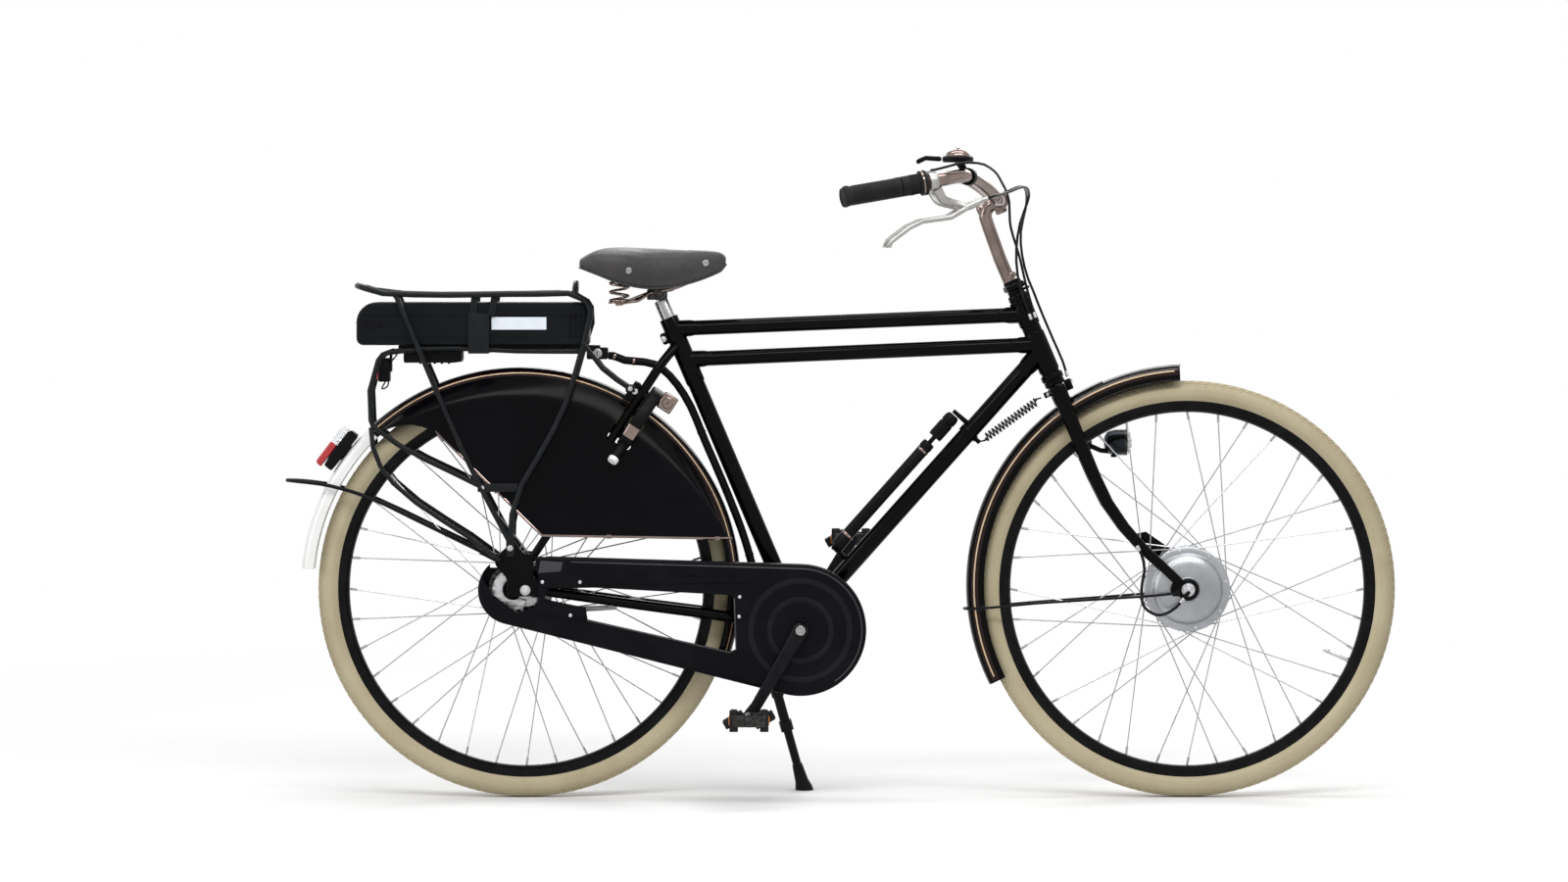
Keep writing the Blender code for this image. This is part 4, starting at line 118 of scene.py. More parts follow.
camera_data = bpy.data.cameras.new("camera")
camera_data.lens = LENS
camera_data.clip_end = 60.0
camera = linked("camera", camera_data)
camera.matrix_world = BIKE @ aimed(CAMERA_PLACE, CAMERA_AIM - CAMERA_PLACE, "-Z")
scene.camera = camera
scene.view_settings.view_transform = "Standard"
print("camera at", [round(c, 3) for c in camera.matrix_world.translation])

# %% [markdown]
# A node tree is easier to read as arithmetic. `Value` wraps a socket, so that `1 - mask * 0.3` adds its Math
# nodes by itself, and `Graph.add` makes any other node: its type, the sockets it takes, then its settings.

# %% Node trees written as expressions
class Value:
    """A socket of a node tree that can stand in arithmetic."""

    def __init__(self, graph, socket):
        self.graph = graph
        self.socket = socket

    def math(self, operation, other=None, flipped=False):
        operands = [self] if other is None else [other, self] if flipped else [self, other]
        return self.graph.add("ShaderNodeMath", dict(enumerate(operands)), operation=operation)

    def __add__(self, other):
        return self.math("ADD", other)

    def __sub__(self, other):
        return self.math("SUBTRACT", other)

    def __rsub__(self, other):
        return self.math("SUBTRACT", other, True)

    def __mul__(self, other):
        return self.math("MULTIPLY", other)

    def __truediv__(self, other):
        return self.math("DIVIDE", other)

    def __rtruediv__(self, other):
        return self.math("DIVIDE", other, True)

    def __pow__(self, other):
        return self.math("POWER", other)

    def __mod__(self, other):
        return self.math("FLOORED_MODULO", other)

    def above(self, other):
        return self.math("GREATER_THAN", other)

    def out(self, name):
        return Value(self.graph, self.socket.node.outputs[name])

    __radd__ = __add__
    __rmul__ = __mul__


class Graph:
    """A node tree being built."""

    def __init__(self, tree):
        self.tree = tree

    def add(self, kind, sockets=None, result=0, stops=None, **settings):
        node = self.tree.nodes.new(kind)
        for name, setting in settings.items():
            setattr(node, name, setting)
        if stops:
            while len(node.color_ramp.elements) < len(stops):
                node.color_ramp.elements.new(0.5)
            for element, (place, level) in zip(node.color_ramp.elements, stops):
                element.position = place
                element.color = (level, level, level, 1.0) if isinstance(level, float) else (*level, 1.0)
        for name, source in (sockets or {}).items():
            if isinstance(source, Value):
                self.tree.links.new(source.socket, node.inputs[name])
            elif hasattr(node.inputs[name], "default_value"):
                node.inputs[name].default_value = source
        return Value(self, node.outputs[result]) if node.outputs else node

    def mix(self, share, first, second):
        """A blend of two colours, from the first at 0 to the second at 1."""
        ends = [(*c, 1.0) if isinstance(c, tuple) else c for c in (first, second)]
        sockets = {0: share, 6: ends[0], 7: ends[1]}
        return self.add("ShaderNodeMix", sockets, 2, data_type="RGBA")

    def join(self, *parts):
        whole = self.add("GeometryNodeJoinGeometry")
        for part in parts:
            self.tree.links.new(part.socket, whole.socket.node.inputs[0])
        return whole

    def ramp(self, share, *stops):
        return self.add("ShaderNodeValToRGB", {0: share}, stops=stops)

    def noise(self, scale, detail=3.0, rough=0.55, at=None):
        sockets = {"Scale": scale, "Detail": detail, "Roughness": rough, "Vector": at or self.place()}
        return self.add("ShaderNodeTexNoise", sockets)

    def cells(self, scale, at=None, feature="F1", result=0):
        sockets = {"Scale": scale, "Vector": at or self.place()}
        return self.add("ShaderNodeTexVoronoi", sockets, result, feature=feature)

    def place(self, stretch=(1.0, 1.0, 1.0)):
        spot = self.add("ShaderNodeTexCoord", result="Object")
        if stretch == (1.0, 1.0, 1.0):
            return spot
        return self.add("ShaderNodeMapping", {"Vector": spot, "Scale": stretch})

    def along(self, axis):
        """One coordinate of the piece's own UV map: 0 round the section, 1 along the piece, in metres."""
        spot = self.add("ShaderNodeUVMap", uv_map="UVMap")
        return self.add("ShaderNodeSeparateXYZ", {0: spot}, axis)

    def bump(self, height, distance, strength=1.0):
        return self.add("ShaderNodeBump", {"Height": height, "Distance": distance, "Strength": strength})


def finish(name, slot, base, rough, bump=None, metal=0.0, **constants):
    """A material. Its slot argument is not used. Functions that draw on its graph give colour, roughness and
    bump.
    """
    made = bpy.data.materials.new(name)
    made.use_nodes = True
    graph = Graph(made.node_tree)
    shader = made.node_tree.nodes["Principled BSDF"]
    for socket, source in (("Base Color", base), ("Roughness", rough), ("Normal", bump)):
        source = source(graph) if callable(source) else source
        if isinstance(source, Value):
            made.node_tree.links.new(source.socket, shader.inputs[socket])
        elif source is not None:
            shader.inputs[socket].default_value = (*source, 1.0) if isinstance(source, tuple) else source
    shader.inputs["Metallic"].default_value = metal
    for socket, number in constants.items():
        shader.inputs[socket.replace("_", " ")].default_value = number
    return made


print("nodes are written as expressions")

# %% [markdown]
# Plain soft studio light: one broad lamp over the camera's shoulder, one along the top, a weak one beside the
# rear wheel and one behind. The glossy paint mirrors these lamps as long thin highlights. The world fills the
# shadows and is white to the camera, in mirrors and through glass. The floor fades into it at its rim.

# %% World, lamps and floor
WORLD_FILL = 0.42
world = bpy.data.worlds.new("studio")
world.use_nodes = True
world.node_tree.nodes.clear()
sky = Graph(world.node_tree)
ray = sky.add("ShaderNodeLightPath", result="Is Camera Ray")
seen = (ray + ray.out("Is Glossy Ray") + ray.out("Is Transmission Ray")).math("MINIMUM", 1.0)
strength = seen * (1.0 - WORLD_FILL) + WORLD_FILL
light = sky.add("ShaderNodeBackground", {"Color": (1.0, 1.0, 1.0, 1.0), "Strength": strength})
sky.add("ShaderNodeOutputWorld", {"Surface": light})
scene.world = world

LAMPS = (
    # name, place, aim, width, height, watts
    ("key_lamp", (0.4, -2.3, 3.5), (0.0, 0.0, 0.5), 4.4, 0.7, 80.0),
    ("top_lamp", (0.0, 0.2, 3.6), (0.0, 0.0, 0.3), 3.6, 1.2, 60.0),
    ("side_lamp", (-3.4, -1.6, 1.6), (0.0, 0.0, 0.6), 1.2, 2.0, 26.0),
    ("back_lamp", (0.8, 3.4, 2.2), (0.0, 0.0, 0.6), 3.0, 1.4, 52.0),
)
for name, place, target, width, height, watts in LAMPS:
    lamp = bpy.data.lights.new(name, "AREA")
    lamp.shape = "RECTANGLE"
    lamp.size = width
    lamp.size_y = height
    lamp.energy = watts
    linked(name, lamp).matrix_world = aimed(place, Vector(target) - Vector(place), "-Z")

FLOOR_RADIUS = 2.4
disc = bmesh.new()
bmesh.ops.create_circle(disc, cap_ends=True, segments=96, radius=FLOOR_RADIUS)
floor_mesh = bpy.data.meshes.new("floor")
disc.to_mesh(floor_mesh)
disc.free()
floor = linked("floor", floor_mesh)
floor_finish = bpy.data.materials.new("floor")
floor_finish.use_nodes = True
floor_finish.node_tree.nodes.clear()
ground = Graph(floor_finish.node_tree)
spread = ground.add("ShaderNodeVectorMath", {0: ground.place()}, "Value", operation="LENGTH")
rim = ground.ramp(spread / FLOOR_RADIUS, (0.3, 0.0), (0.98, 1.0))
matt = ground.add("ShaderNodeBsdfDiffuse", {"Color": (0.86, 0.86, 0.86, 1.0)})
clear = ground.add("ShaderNodeBsdfTransparent")
fade = ground.add("ShaderNodeMixShader", {0: rim, 1: matt, 2: clear})
ground.add("ShaderNodeOutputMaterial", {"Surface": fade})
floor_mesh.materials.append(floor_finish)
print("lamps", len(LAMPS), "floor radius", FLOOR_RADIUS)

# %% [markdown]
# ## Finishes
# Every finish is built from noise and cells at the scale of the real surface: the faint waviness of stove
# enamel, the fine grain of powder coat, moulded grain, rubber bloom, leather pores. Most highlights of paint
# and metal come from the lamps; the pale lips and rings of the chaincase are painted highlights, and the
# polished cap on the front guard's crown is a painted reflection.

# %% Paints
def waves(distance, scale, detail=2.0):
    """A bump of soft waves, or of fine grain where the scale is high."""
    return lambda g: g.bump(g.noise(scale, detail), distance)


def cloudy(low, high, scale=14.0):
    """A roughness that wanders between two values, as handling and dust leave it."""
    return lambda g: g.ramp(g.noise(scale, 5.0), (0.3, low), (0.72, high))


def speckled(colour, other, scale):
    """Patches of a second colour on the first."""
    return lambda g: g.mix(g.ramp(g.noise(scale, 4.0), (0.45, 0.0), (0.75, 1.0)), colour, other)


BLACK_PAINT = finish(
    "gloss_black_enamel", "black_paint",
    speckled((0.0008, 0.0008, 0.001), (0.002, 0.002, 0.0023), 22.0),
    cloudy(0.1, 0.2),
    waves(0.00012, 130.0),
    Specular_IOR_Level=0.05,
    Coat_Weight=0.05,
    Coat_Roughness=0.04,
)
SATIN_PAINT = finish(
    "satin_powder_coat", "satin_black",
    speckled((0.005, 0.0048, 0.0062), (0.0085, 0.0082, 0.01), 60.0),
    cloudy(0.34, 0.48, 30.0),
    waves(0.00006, 1400.0),
    Specular_IOR_Level=0.1,
)
RACK_PAINT = finish(
    "rack_powder_coat", "satin_black",
    speckled((0.007, 0.008, 0.009), (0.012, 0.013, 0.0145), 60.0),
    cloudy(0.26, 0.38, 30.0),
    waves(0.00005, 1400.0),
    Specular_IOR_Level=0.14,
)
BAND_BROWN = finish(
    "brown_band", "black_paint",
    speckled((0.011, 0.003, 0.0015), (0.018, 0.0045, 0.002), 40.0),
    cloudy(0.12, 0.22),
    waves(0.00008, 130.0),
    Specular_IOR_Level=0.15,
    Coat_Weight=0.1,
)
LAMP_SHELL = finish(
    "lamp_shell", "silver",
    speckled((0.012, 0.0145, 0.0185), (0.02, 0.0235, 0.0285), 40.0),
    cloudy(0.16, 0.28, 30.0),
    waves(0.00006, 240.0),
    metal=0.85,
)
PALE_PAINT = finish(
    "white_enamel", "black_paint",
    speckled((0.95, 0.95, 0.95), (0.88, 0.87, 0.86), 9.0),
    cloudy(0.16, 0.28),
    waves(0.00012, 110.0),
    Coat_Weight=0.5,
)
GOLD_LINE = finish(
    "gold_lining", "black_paint", speckled((0.66, 0.5, 0.33), (0.54, 0.38, 0.24), 90.0), 0.3, metal=0.25,
)
print("paints done")

# %% [markdown]
# Plastics and rubbers differ in their grain more than in their colour. Moulded cases carry a spark-eroded
# grain of shallow cells, a grip shows soft bloom, and a tyre is dusty on its tread and cleaner on its wall.

# %% Plastics and rubbers
def grained(depth, scale):
    return lambda g: g.bump(g.cells(scale), depth)


CASE_PLASTIC = finish(
    "moulded_case", "case_plastic",
    speckled((0.0045, 0.0044, 0.0062), (0.0072, 0.007, 0.0092), 18.0),
    cloudy(0.36, 0.5, 24.0),
    grained(0.00008, 1500.0),
    Specular_IOR_Level=0.05,
)
# Lighter plastic for the pressed rings round the crank: the lighter colour is a painted highlight where the
# rings catch the light.
CASE_RING_HIGHLIGHT = finish(
    "moulded_case_ring_highlight", "case_plastic",
    speckled((0.01, 0.0097, 0.0125), (0.014, 0.0135, 0.017), 18.0),
    cloudy(0.3, 0.42, 24.0),
    grained(0.00006, 1500.0),
    Specular_IOR_Level=0.07,
)
# Pale plastic whose lightness is a painted highlight: the light line along the chaincase's edges.
CASE_PAINTED_HIGHLIGHT = finish(
    "moulded_case_painted_highlight", "case_plastic",
    speckled((0.046, 0.045, 0.05), (0.062, 0.061, 0.066), 18.0),
    cloudy(0.24, 0.34, 24.0),
    grained(0.00006, 1500.0),
    Specular_IOR_Level=0.2,
)
BATTERY_PLASTIC = finish(
    "battery_case", "navy_plastic",
    speckled((0.004, 0.0052, 0.0064), (0.007, 0.009, 0.0108), 12.0),
    cloudy(0.28, 0.42, 20.0),
    grained(0.00007, 1300.0),
    Specular_IOR_Level=0.09,
)
FITTING_PLASTIC = finish(
    "fitting_plastic", "black_plastic",
    speckled((0.003, 0.003, 0.0038), (0.0065, 0.0065, 0.0078), 40.0),
    cloudy(0.3, 0.46, 40.0),
    grained(0.00006, 1800.0),
    Specular_IOR_Level=0.08,
)
GUARD_PLASTIC = finish(
    "coat_guard_sheet", "satin_black",
    speckled((0.0022, 0.0022, 0.003), (0.004, 0.004, 0.0052), 7.0),
    cloudy(0.14, 0.24, 6.0),
    waves(0.0006, 9.0),
    Specular_IOR_Level=0.05,
)
LABEL_BLANK = finish(
    "bare_label_plate", "chrome", speckled((0.86, 0.92, 0.98), (0.78, 0.84, 0.92), 30.0), cloudy(0.3, 0.42),
)


GRIP_RUBBER = finish(
    "grip_rubber", "rubber",
    speckled((0.014, 0.0138, 0.0145), (0.024, 0.0235, 0.0245), 35.0),
    cloudy(0.55, 0.78, 35.0),
    grained(0.00012, 900.0),
    Specular_IOR_Level=0.12,
)
CABLE_SKIN = finish(
    "cable_housing", "rubber",
    speckled((0.005, 0.005, 0.0056), (0.011, 0.011, 0.012), 80.0),
    cloudy(0.28, 0.42, 60.0),
    lambda g: g.bump((g.along(1) * 2200.0).math("SINE"), 0.00005),
    Specular_IOR_Level=0.12,
)


TYRE_HALF_GIRTH = 0.0499


def tyre_colour(g):
    """Cream rubber, cleaner on the wall and dusty on the running surface."""
    across = (g.along(1) / TYRE_HALF_GIRTH - 1.0).math("ABSOLUTE")
    road = g.ramp(across + (g.noise(26.0, 5.0) - 0.5) * 0.3, (0.22, 1.0), (0.62, 0.0))
    wall = g.mix(g.ramp(g.noise(11.0, 6.0), (0.35, 0.0), (0.7, 1.0)), (0.5, 0.438, 0.29), (0.44, 0.376, 0.24))
    return g.mix(road * 0.42, wall, (0.33, 0.28, 0.18))


TYRE_RUBBER = finish(
    "cream_tyre_rubber", "cream_tyre",
    tyre_colour,
    cloudy(0.6, 0.82, 22.0),
    waves(0.00018, 420.0, 4.0),
)
print("plastics and rubbers done")

# %% [markdown]
# Metals are mirrors with small faults. Spun and turned pieces keep the cutter's rings, which the UV map
# follows, the plated bar is smooth with a few smudges, and the springs and spokes are drawn wire.

# %% Metals
def turned_rings(depth, pitch):
    return lambda g: g.bump((g.along(1) * (6.283 / pitch)).math("SINE"), depth)


HUB_ALLOY = finish(
    "satin_hub_alloy", "silver",
    speckled((0.36, 0.37, 0.385), (0.27, 0.28, 0.295), 14.0),
    cloudy(0.26, 0.38, 18.0),
    turned_rings(0.00002, 0.0009),
    metal=1.0,
)
POLISHED_ALLOY = finish(
    "polished_alloy", "chrome",
    speckled((0.38, 0.378, 0.378), (0.29, 0.288, 0.288), 40.0),
    cloudy(0.22, 0.36, 30.0),
    waves(0.0001, 240.0),
    metal=1.0,
)
CAST_ALLOY = finish(
    "cast_alloy", "silver",
    speckled((0.4, 0.395, 0.38), (0.31, 0.305, 0.295), 60.0),
    cloudy(0.36, 0.48, 40.0),
    waves(0.00004, 420.0),
    metal=1.0,
)
NICKEL = finish(
    "nickel_plate", "chrome",
    speckled((0.24, 0.187, 0.166), (0.155, 0.116, 0.102), 20.0),
    cloudy(0.07, 0.17, 16.0),
    waves(0.00008, 60.0),
    metal=1.0,
)
WIRE_STEEL = finish(
    "drawn_wire", "silver",
    speckled((0.42, 0.42, 0.43), (0.3, 0.3, 0.31), 120.0),
    cloudy(0.22, 0.38, 90.0),
    waves(0.00004, 700.0),
    metal=1.0,
)
ZINC = finish(
    "zinc_plated_steel", "steel",
    speckled((0.58, 0.58, 0.6), (0.36, 0.35, 0.34), 150.0),
    cloudy(0.24, 0.44, 110.0),
    waves(0.00006, 520.0, 3.0),
    metal=1.0,
)
DARK_STEEL = finish(
    "blackened_steel", "steel",
    speckled((0.03, 0.029, 0.028), (0.08, 0.077, 0.074), 160.0),
    cloudy(0.28, 0.44, 100.0),
    waves(0.00006, 600.0, 3.0),
    metal=1.0,
)
RIM_BLACK = finish(
    "anodised_rim", "black_rim",
    speckled((0.005, 0.005, 0.0055), (0.01, 0.01, 0.011), 30.0),
    cloudy(0.2, 0.34, 26.0),
    turned_rings(0.00001, 0.0007),
    metal=0.4,
    Specular_IOR_Level=0.1,
)
print("metals done")

# %% [markdown]
# The saddle's skin is a leather-grained cover: rounded pores from a cell pattern, with creases from a second,
# larger one. It is paler in its pores and in a few worn patches. Lenses are clear or coloured plastic with
# prisms moulded inside.

# %% Saddle skin and lenses
def pores(g):
    fine = g.cells(620.0, feature="SMOOTH_F1")
    creases = g.cells(95.0, feature="DISTANCE_TO_EDGE").math("MINIMUM", 0.12)
    return g.bump(fine * 0.6 + creases * 3.0 + g.noise(60.0) * 0.4, 0.00032)


def worn_skin(g):
    worn = g.ramp(g.noise(9.0, 6.0, 0.62), (0.4, 0.0), (0.7, 1.0))
    pore = g.ramp(g.cells(620.0), (0.1, 0.0), (0.65, 1.0))
    return g.mix(
        pore * 0.5, g.mix(worn, (0.041, 0.039, 0.0396), (0.064, 0.0606, 0.0616)), (0.072, 0.0684, 0.0696),
    )


SADDLE_SKIN = finish(
    "saddle_leather", "saddle_skin", worn_skin, cloudy(0.4, 0.58, 12.0), pores, Specular_IOR_Level=0.15,
)


def prisms(depth, pitch):
    """Small pyramids moulded behind a lens."""
    return lambda g: g.bump(g.cells(1.0 / pitch, feature="DISTANCE_TO_EDGE"), depth)


CLEAR_LENS = finish(
    "clear_lens", "clear_lens", (0.92, 0.94, 0.95), 0.06, prisms(0.0008, 0.006), Transmission_Weight=0.85,
    IOR=1.49,
)
RED_LENS = finish(
    "red_lens", "red_lens",
    speckled((0.6, 0.004, 0.012), (0.42, 0.002, 0.008), 60.0),
    0.12,
    prisms(0.0006, 0.004),
    Transmission_Weight=0.25,
    Coat_Weight=0.5,
)
MIRROR_BOWL = finish("reflector_bowl", "chrome", (0.86, 0.86, 0.87), 0.1, prisms(0.0012, 0.007), metal=1.0)
AMBER_LENS = finish(
    "amber_reflector", "red_lens", (0.8, 0.26, 0.01), 0.14, prisms(0.0008, 0.003), Coat_Weight=0.6,
)
print("finishes", len(bpy.data.materials))

# %% [markdown]
# ## Tools for drawing
# A bicycle is mostly tubes, turned pieces and flat plates, so three makers do most of the work: `sweep` runs
# a round section along a smooth path, `lathe` spins a profile, and `slab` thickens an outline and rounds its
# edges. Each returns a mesh with a UV map: 0 to 1 round the section, and metres along it.

# %% Paths
def bent(points, bend=4.0, longest=0.05):
    """A smooth curve through the points, with one point for each bend of a few degrees."""
    points = [Vector(p) for p in points]
    spans = [(b - a).length for a, b in zip(points, points[1:])]
    slopes = [(b - a) / span for a, b, span in zip(points, points[1:], spans)]
    headings = [slopes[0]]
    for first, second, before, after in zip(slopes, slopes[1:], spans, spans[1:]):
        headings.append((first * after + second * before) / (before + after))
    headings.append(slopes[-1])
    fine = []
    for start, end, leaving, arriving, span in zip(points, points[1:], headings, headings[1:], spans):
        for step in range(24):
            t = step / 24
            ease = 3 * t**2 - 2 * t**3
            pull = leaving * (t**3 - 2 * t**2 + t) + arriving * (t**3 - t**2)
            fine.append(start.lerp(end, ease) + pull * span)
    fine.append(points[-1])
    kept = [fine[0]]
    heading = fine[1] - fine[0]
    for here, after in zip(fine[1:], fine[2:]):
        if heading.angle(after - here) > math.radians(bend) or (here - kept[-1]).length > longest:
            kept.append(here)
            heading = after - here
    return [*kept, fine[-1]]


def mirrored(points, side=-1):
    return [Vector((x, y * side, z)) for x, y, z in points]


def looped(half):
    """A path from the right over the middle to the left, from its right half."""
    return mirrored(half) + [Vector(p) for p in half[-2::-1]]


def facing(degrees):
    """Unit vector in the side view, at this angle above the forward direction."""
    return Vector((math.cos(math.radians(degrees)), 0.0, math.sin(math.radians(degrees))))


def unit_circle(count):
    """Cosine and sine at even steps round a circle."""
    angles = [2 * math.pi * index / count for index in range(count)]
    return [(math.cos(a), math.sin(a)) for a in angles]


def squared(number, power):
    """A cosine or sine pushed outwards, which makes a circle a rounded box."""
    return math.copysign(abs(number) ** power, number)


def filleted(points, radius, steps=3):
    """A closed outline with its corners rounded."""
    made = []
    for before, here, after in zip([points[-1], *points], points, [*points[1:], points[0]]):
        here, before, after = Vector(here), Vector(before), Vector(after)
        into, away = before - here, after - here
        reach = min(radius, into.length * 0.45, away.length * 0.45)
        start, end = here + into.normalized() * reach, here + away.normalized() * reach
        for index in range(steps + 1):
            t = index / steps
            made.append(tuple(start * (1 - t) ** 2 + here * (2 * t * (1 - t)) + end * t**2))
    return made


print("a bend of 90 degrees takes", len(bent([(0, 0, 0), (1, 0, 0), (1, 1, 0)])), "points")

# %% Makers of meshes
def packed(shape, outward=True):
    if outward:
        bmesh.ops.recalc_face_normals(shape, faces=shape.faces)
    mesh = bpy.data.meshes.new("mesh")
    shape.to_mesh(mesh)
    shape.free()
    return mesh


def skin(rings, closed=False, capped=True, lengths=None):
    """Faces between rings of points, each ring round its section; a ring of one point closes like a cone."""
    shape = bmesh.new()
    uv = shape.loops.layers.uv.new("UVMap")
    rows = [[shape.verts.new(p) for p in ring] for ring in rings]
    lengths = lengths or list(range(len(rings)))
    pairs = list(zip(range(len(rows)), range(1, len(rows))))
    if closed:
        pairs.append((len(rows) - 1, 0))
    for low, high in pairs:
        first, second = rows[low], rows[high]
        count = max(len(first), len(second))
        top = lengths[high] if high else lengths[-1] * 2 - lengths[-2]
        for index in range(count):
            after = (index + 1) % count
            marks = [(index, 0), (index + 1, 0), (index + 1, 1), (index, 1)]
            if len(first) == 1:
                corners, marks = [first[0], second[after], second[index]], [marks[0], marks[2], marks[3]]
            elif len(second) == 1:
                corners, marks = [first[index], first[after], second[0]], [marks[0], marks[1], marks[2]]
            else:
                corners = [first[index], first[after], second[after], second[index]]
            face = shape.faces.new(corners)
            for loop, (step, end) in zip(face.loops, marks):
                loop[uv].uv = (step / count, top if end else lengths[low])
    if capped and not closed:
        for row in (rows[0], rows[-1]):
            if len(row) > 2:
                shape.faces.new(row)
    return packed(shape)


def sweep(points, radius, end_radius=None, sides=20, oval=1.0, soft=0.25, wave=None):
    """A round tube along points, tapering to its end radius, with slightly rounded ends."""
    points = [Vector(p) for p in points]
    steps = [0.0]
    for a, b in zip(points, points[1:]):
        steps.append(steps[-1] + (b - a).length)
    total = steps[-1]
    normal = (points[1] - points[0]).orthogonal().normalized()
    rings, lengths = [], []

    def ring(centre, along, size, at):
        nonlocal normal
        normal = (normal - along * normal.dot(along)).normalized()
        side = along.cross(normal)
        row = []
        for c, s in unit_circle(sides):
            spot = (normal * c + side * s) * size
            spot.y *= oval
            row.append(centre + spot)
        rings.append(row)
        lengths.append(at)

    last = len(points) - 1
    for index, (centre, at) in enumerate(zip(points, steps)):
        along = (points[min(index + 1, last)] - points[max(index - 1, 0)]).normalized()
        size = radius + ((end_radius or radius) - radius) * at / total
        if wave:
            size *= wave(at / total)
        if soft and index in (0, last):
            lip = min(size * soft, total * 0.2)
            inward = 1 if index == 0 else -1
            order = ((0.0, size - lip), (lip * 0.3, size - lip * 0.3), (lip, size))
            for back, small in order if index == 0 else order[::-1]:
                ring(centre + along * (back * inward), along, small, at + back * inward)
        else:
            ring(centre, along, size, at)
    return skin(rings, lengths=lengths)


def lathe(profile, steps=48, closed=False, place=None):
    """A profile of (radius, height) turned round Z, or round the axis that place gives."""
    lengths = [0.0]
    for a, b in zip(profile, profile[1:]):
        lengths.append(lengths[-1] + math.dist(a, b))
    rings = []
    for radius, height in profile:
        round_it = unit_circle(1 if radius < 1e-7 else steps)
        rings.append([(radius * c, radius * s, height) for c, s in round_it])
    mesh = skin(rings, closed, lengths=lengths)
    if place is not None:
        mesh.transform(place)
    return mesh


CROSSWAYS = turn("X", 90.0)


def crosswise(profile, x=0.0, z=0.0, steps=48, closed=False):
    """A profile of (radius, y) turned round an axis that runs across the bicycle."""
    return lathe([(radius, -y) for radius, y in profile], steps, closed, shift(x, 0.0, z) @ CROSSWAYS)


def evaluated(holder):
    """The mesh that an object's curve or modifiers make."""
    bpy.context.view_layer.update()
    return bpy.data.meshes.new_from_object(holder.evaluated_get(bpy.context.evaluated_depsgraph_get()))


def slab(outline, thickness, y=0.0, round_edge=0.0006, holes=(), steps=1):
    """A plate in the side view from an outline of (x, z) points, with rounded edges."""
    data = bpy.data.curves.new("slab", "CURVE")
    data.dimensions = "2D"
    data.fill_mode = "BOTH"
    data.extrude = thickness / 2 - round_edge
    data.bevel_depth = round_edge
    data.bevel_resolution = steps
    data.offset = -round_edge
    for loop in (outline, *holes):
        spline = data.splines.new("POLY")
        spline.use_cyclic_u = True
        spline.points.add(len(loop) - 1)
        for knot, (x, z) in zip(spline.points, loop):
            knot.co = (x, z, 0.0, 1.0)
    curve = linked("slab", data)
    flat = evaluated(curve)
    bpy.data.objects.remove(curve)
    shape = bmesh.new()
    shape.from_mesh(flat)
    bmesh.ops.remove_doubles(shape, verts=shape.verts, dist=0.000005)
    shape.transform(shift(0.0, y, 0.0) @ CROSSWAYS)
    return packed(shape)


def block(size, centre=(0.0, 0.0, 0.0), edge=0.001, segments=2, place=None):
    """A box with rounded edges."""
    shape = bmesh.new()
    bmesh.ops.create_cube(shape, size=1.0)
    bmesh.ops.scale(shape, vec=size, verts=shape.verts)
    bmesh.ops.bevel(shape, geom=shape.edges[:], offset=edge, segments=segments, affect="EDGES", profile=0.5)
    shape.transform((place or Matrix()) @ shift(*centre))
    return packed(shape)


def rod(start, end, radius, end_radius=None, sides=20, soft=0.25):
    return sweep([start, end], radius, end_radius, sides, soft=soft)


def side_pin(x, z, start, end, *sizes, **more):
    """A rod that runs across the bicycle, from one y to another."""
    return rod((x, start, z), (x, end, z), *sizes, **more)


def nut(start, end, across, sides=6):
    """A hexagon nut or bolt head from one point to another, with its corners turned down."""
    start, end = Vector(start), Vector(end)
    inset = (end - start) * 0.15
    hexagon = sweep([start, start + inset, end - inset, end], across / math.sqrt(3), sides=sides, soft=0.0)
    shape = bmesh.new()
    shape.from_mesh(hexagon)
    for vertex in shape.verts:
        for tip in (start, end):
            if abs((vertex.co - tip).dot((end - start).normalized())) < 1e-5:
                vertex.co = tip + (vertex.co - tip) * 0.9
    return packed(shape)


def side_nut(x, z, start, end, across):
    """A nut or bolt head whose axis runs across the bicycle."""
    return nut((x, start, z), (x, end, z), across)


def merged(meshes):
    shape = bmesh.new()
    for mesh in meshes:
        shape.from_mesh(mesh)
    for face in shape.faces:
        face.material_index = 0
    return packed(shape, outward=False)


made_pieces = []


def piece(name, meshes, look, body, place=BIKE, stands_for="", sharp=35.0):
    """Put finished meshes in the scene as one piece that rides on a body and may replace a CAD node."""
    mesh = merged(meshes if isinstance(meshes, (list, tuple)) else [meshes])
    mesh.name = name
    mesh.materials.clear()
    mesh.materials.append(look)
    mesh.transform(place)
    mesh.shade_smooth()
    mesh.set_sharp_from_angle(angle=math.radians(sharp))
    made = linked(name, mesh)
    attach(made, body)
    if stands_for:
        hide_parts(stands_for)
    made_pieces.append(name)
    return made


print("makers ready")

# %% [markdown]
# What repeats is left to Geometry Nodes. A tree gets named inputs for its sizes; the script sets them, reads
# the evaluated mesh back and drops the modifier, so that what stays is a plain mesh. Two general trees cover
# most needs: `AROUND` copies an item round an axis, `FOLLOW` copies it along a path.

# %% Geometry Nodes trees
KINDS = {
    float: "NodeSocketFloat", int: "NodeSocketInt", "item": "NodeSocketObject", "look": "NodeSocketMaterial",
}


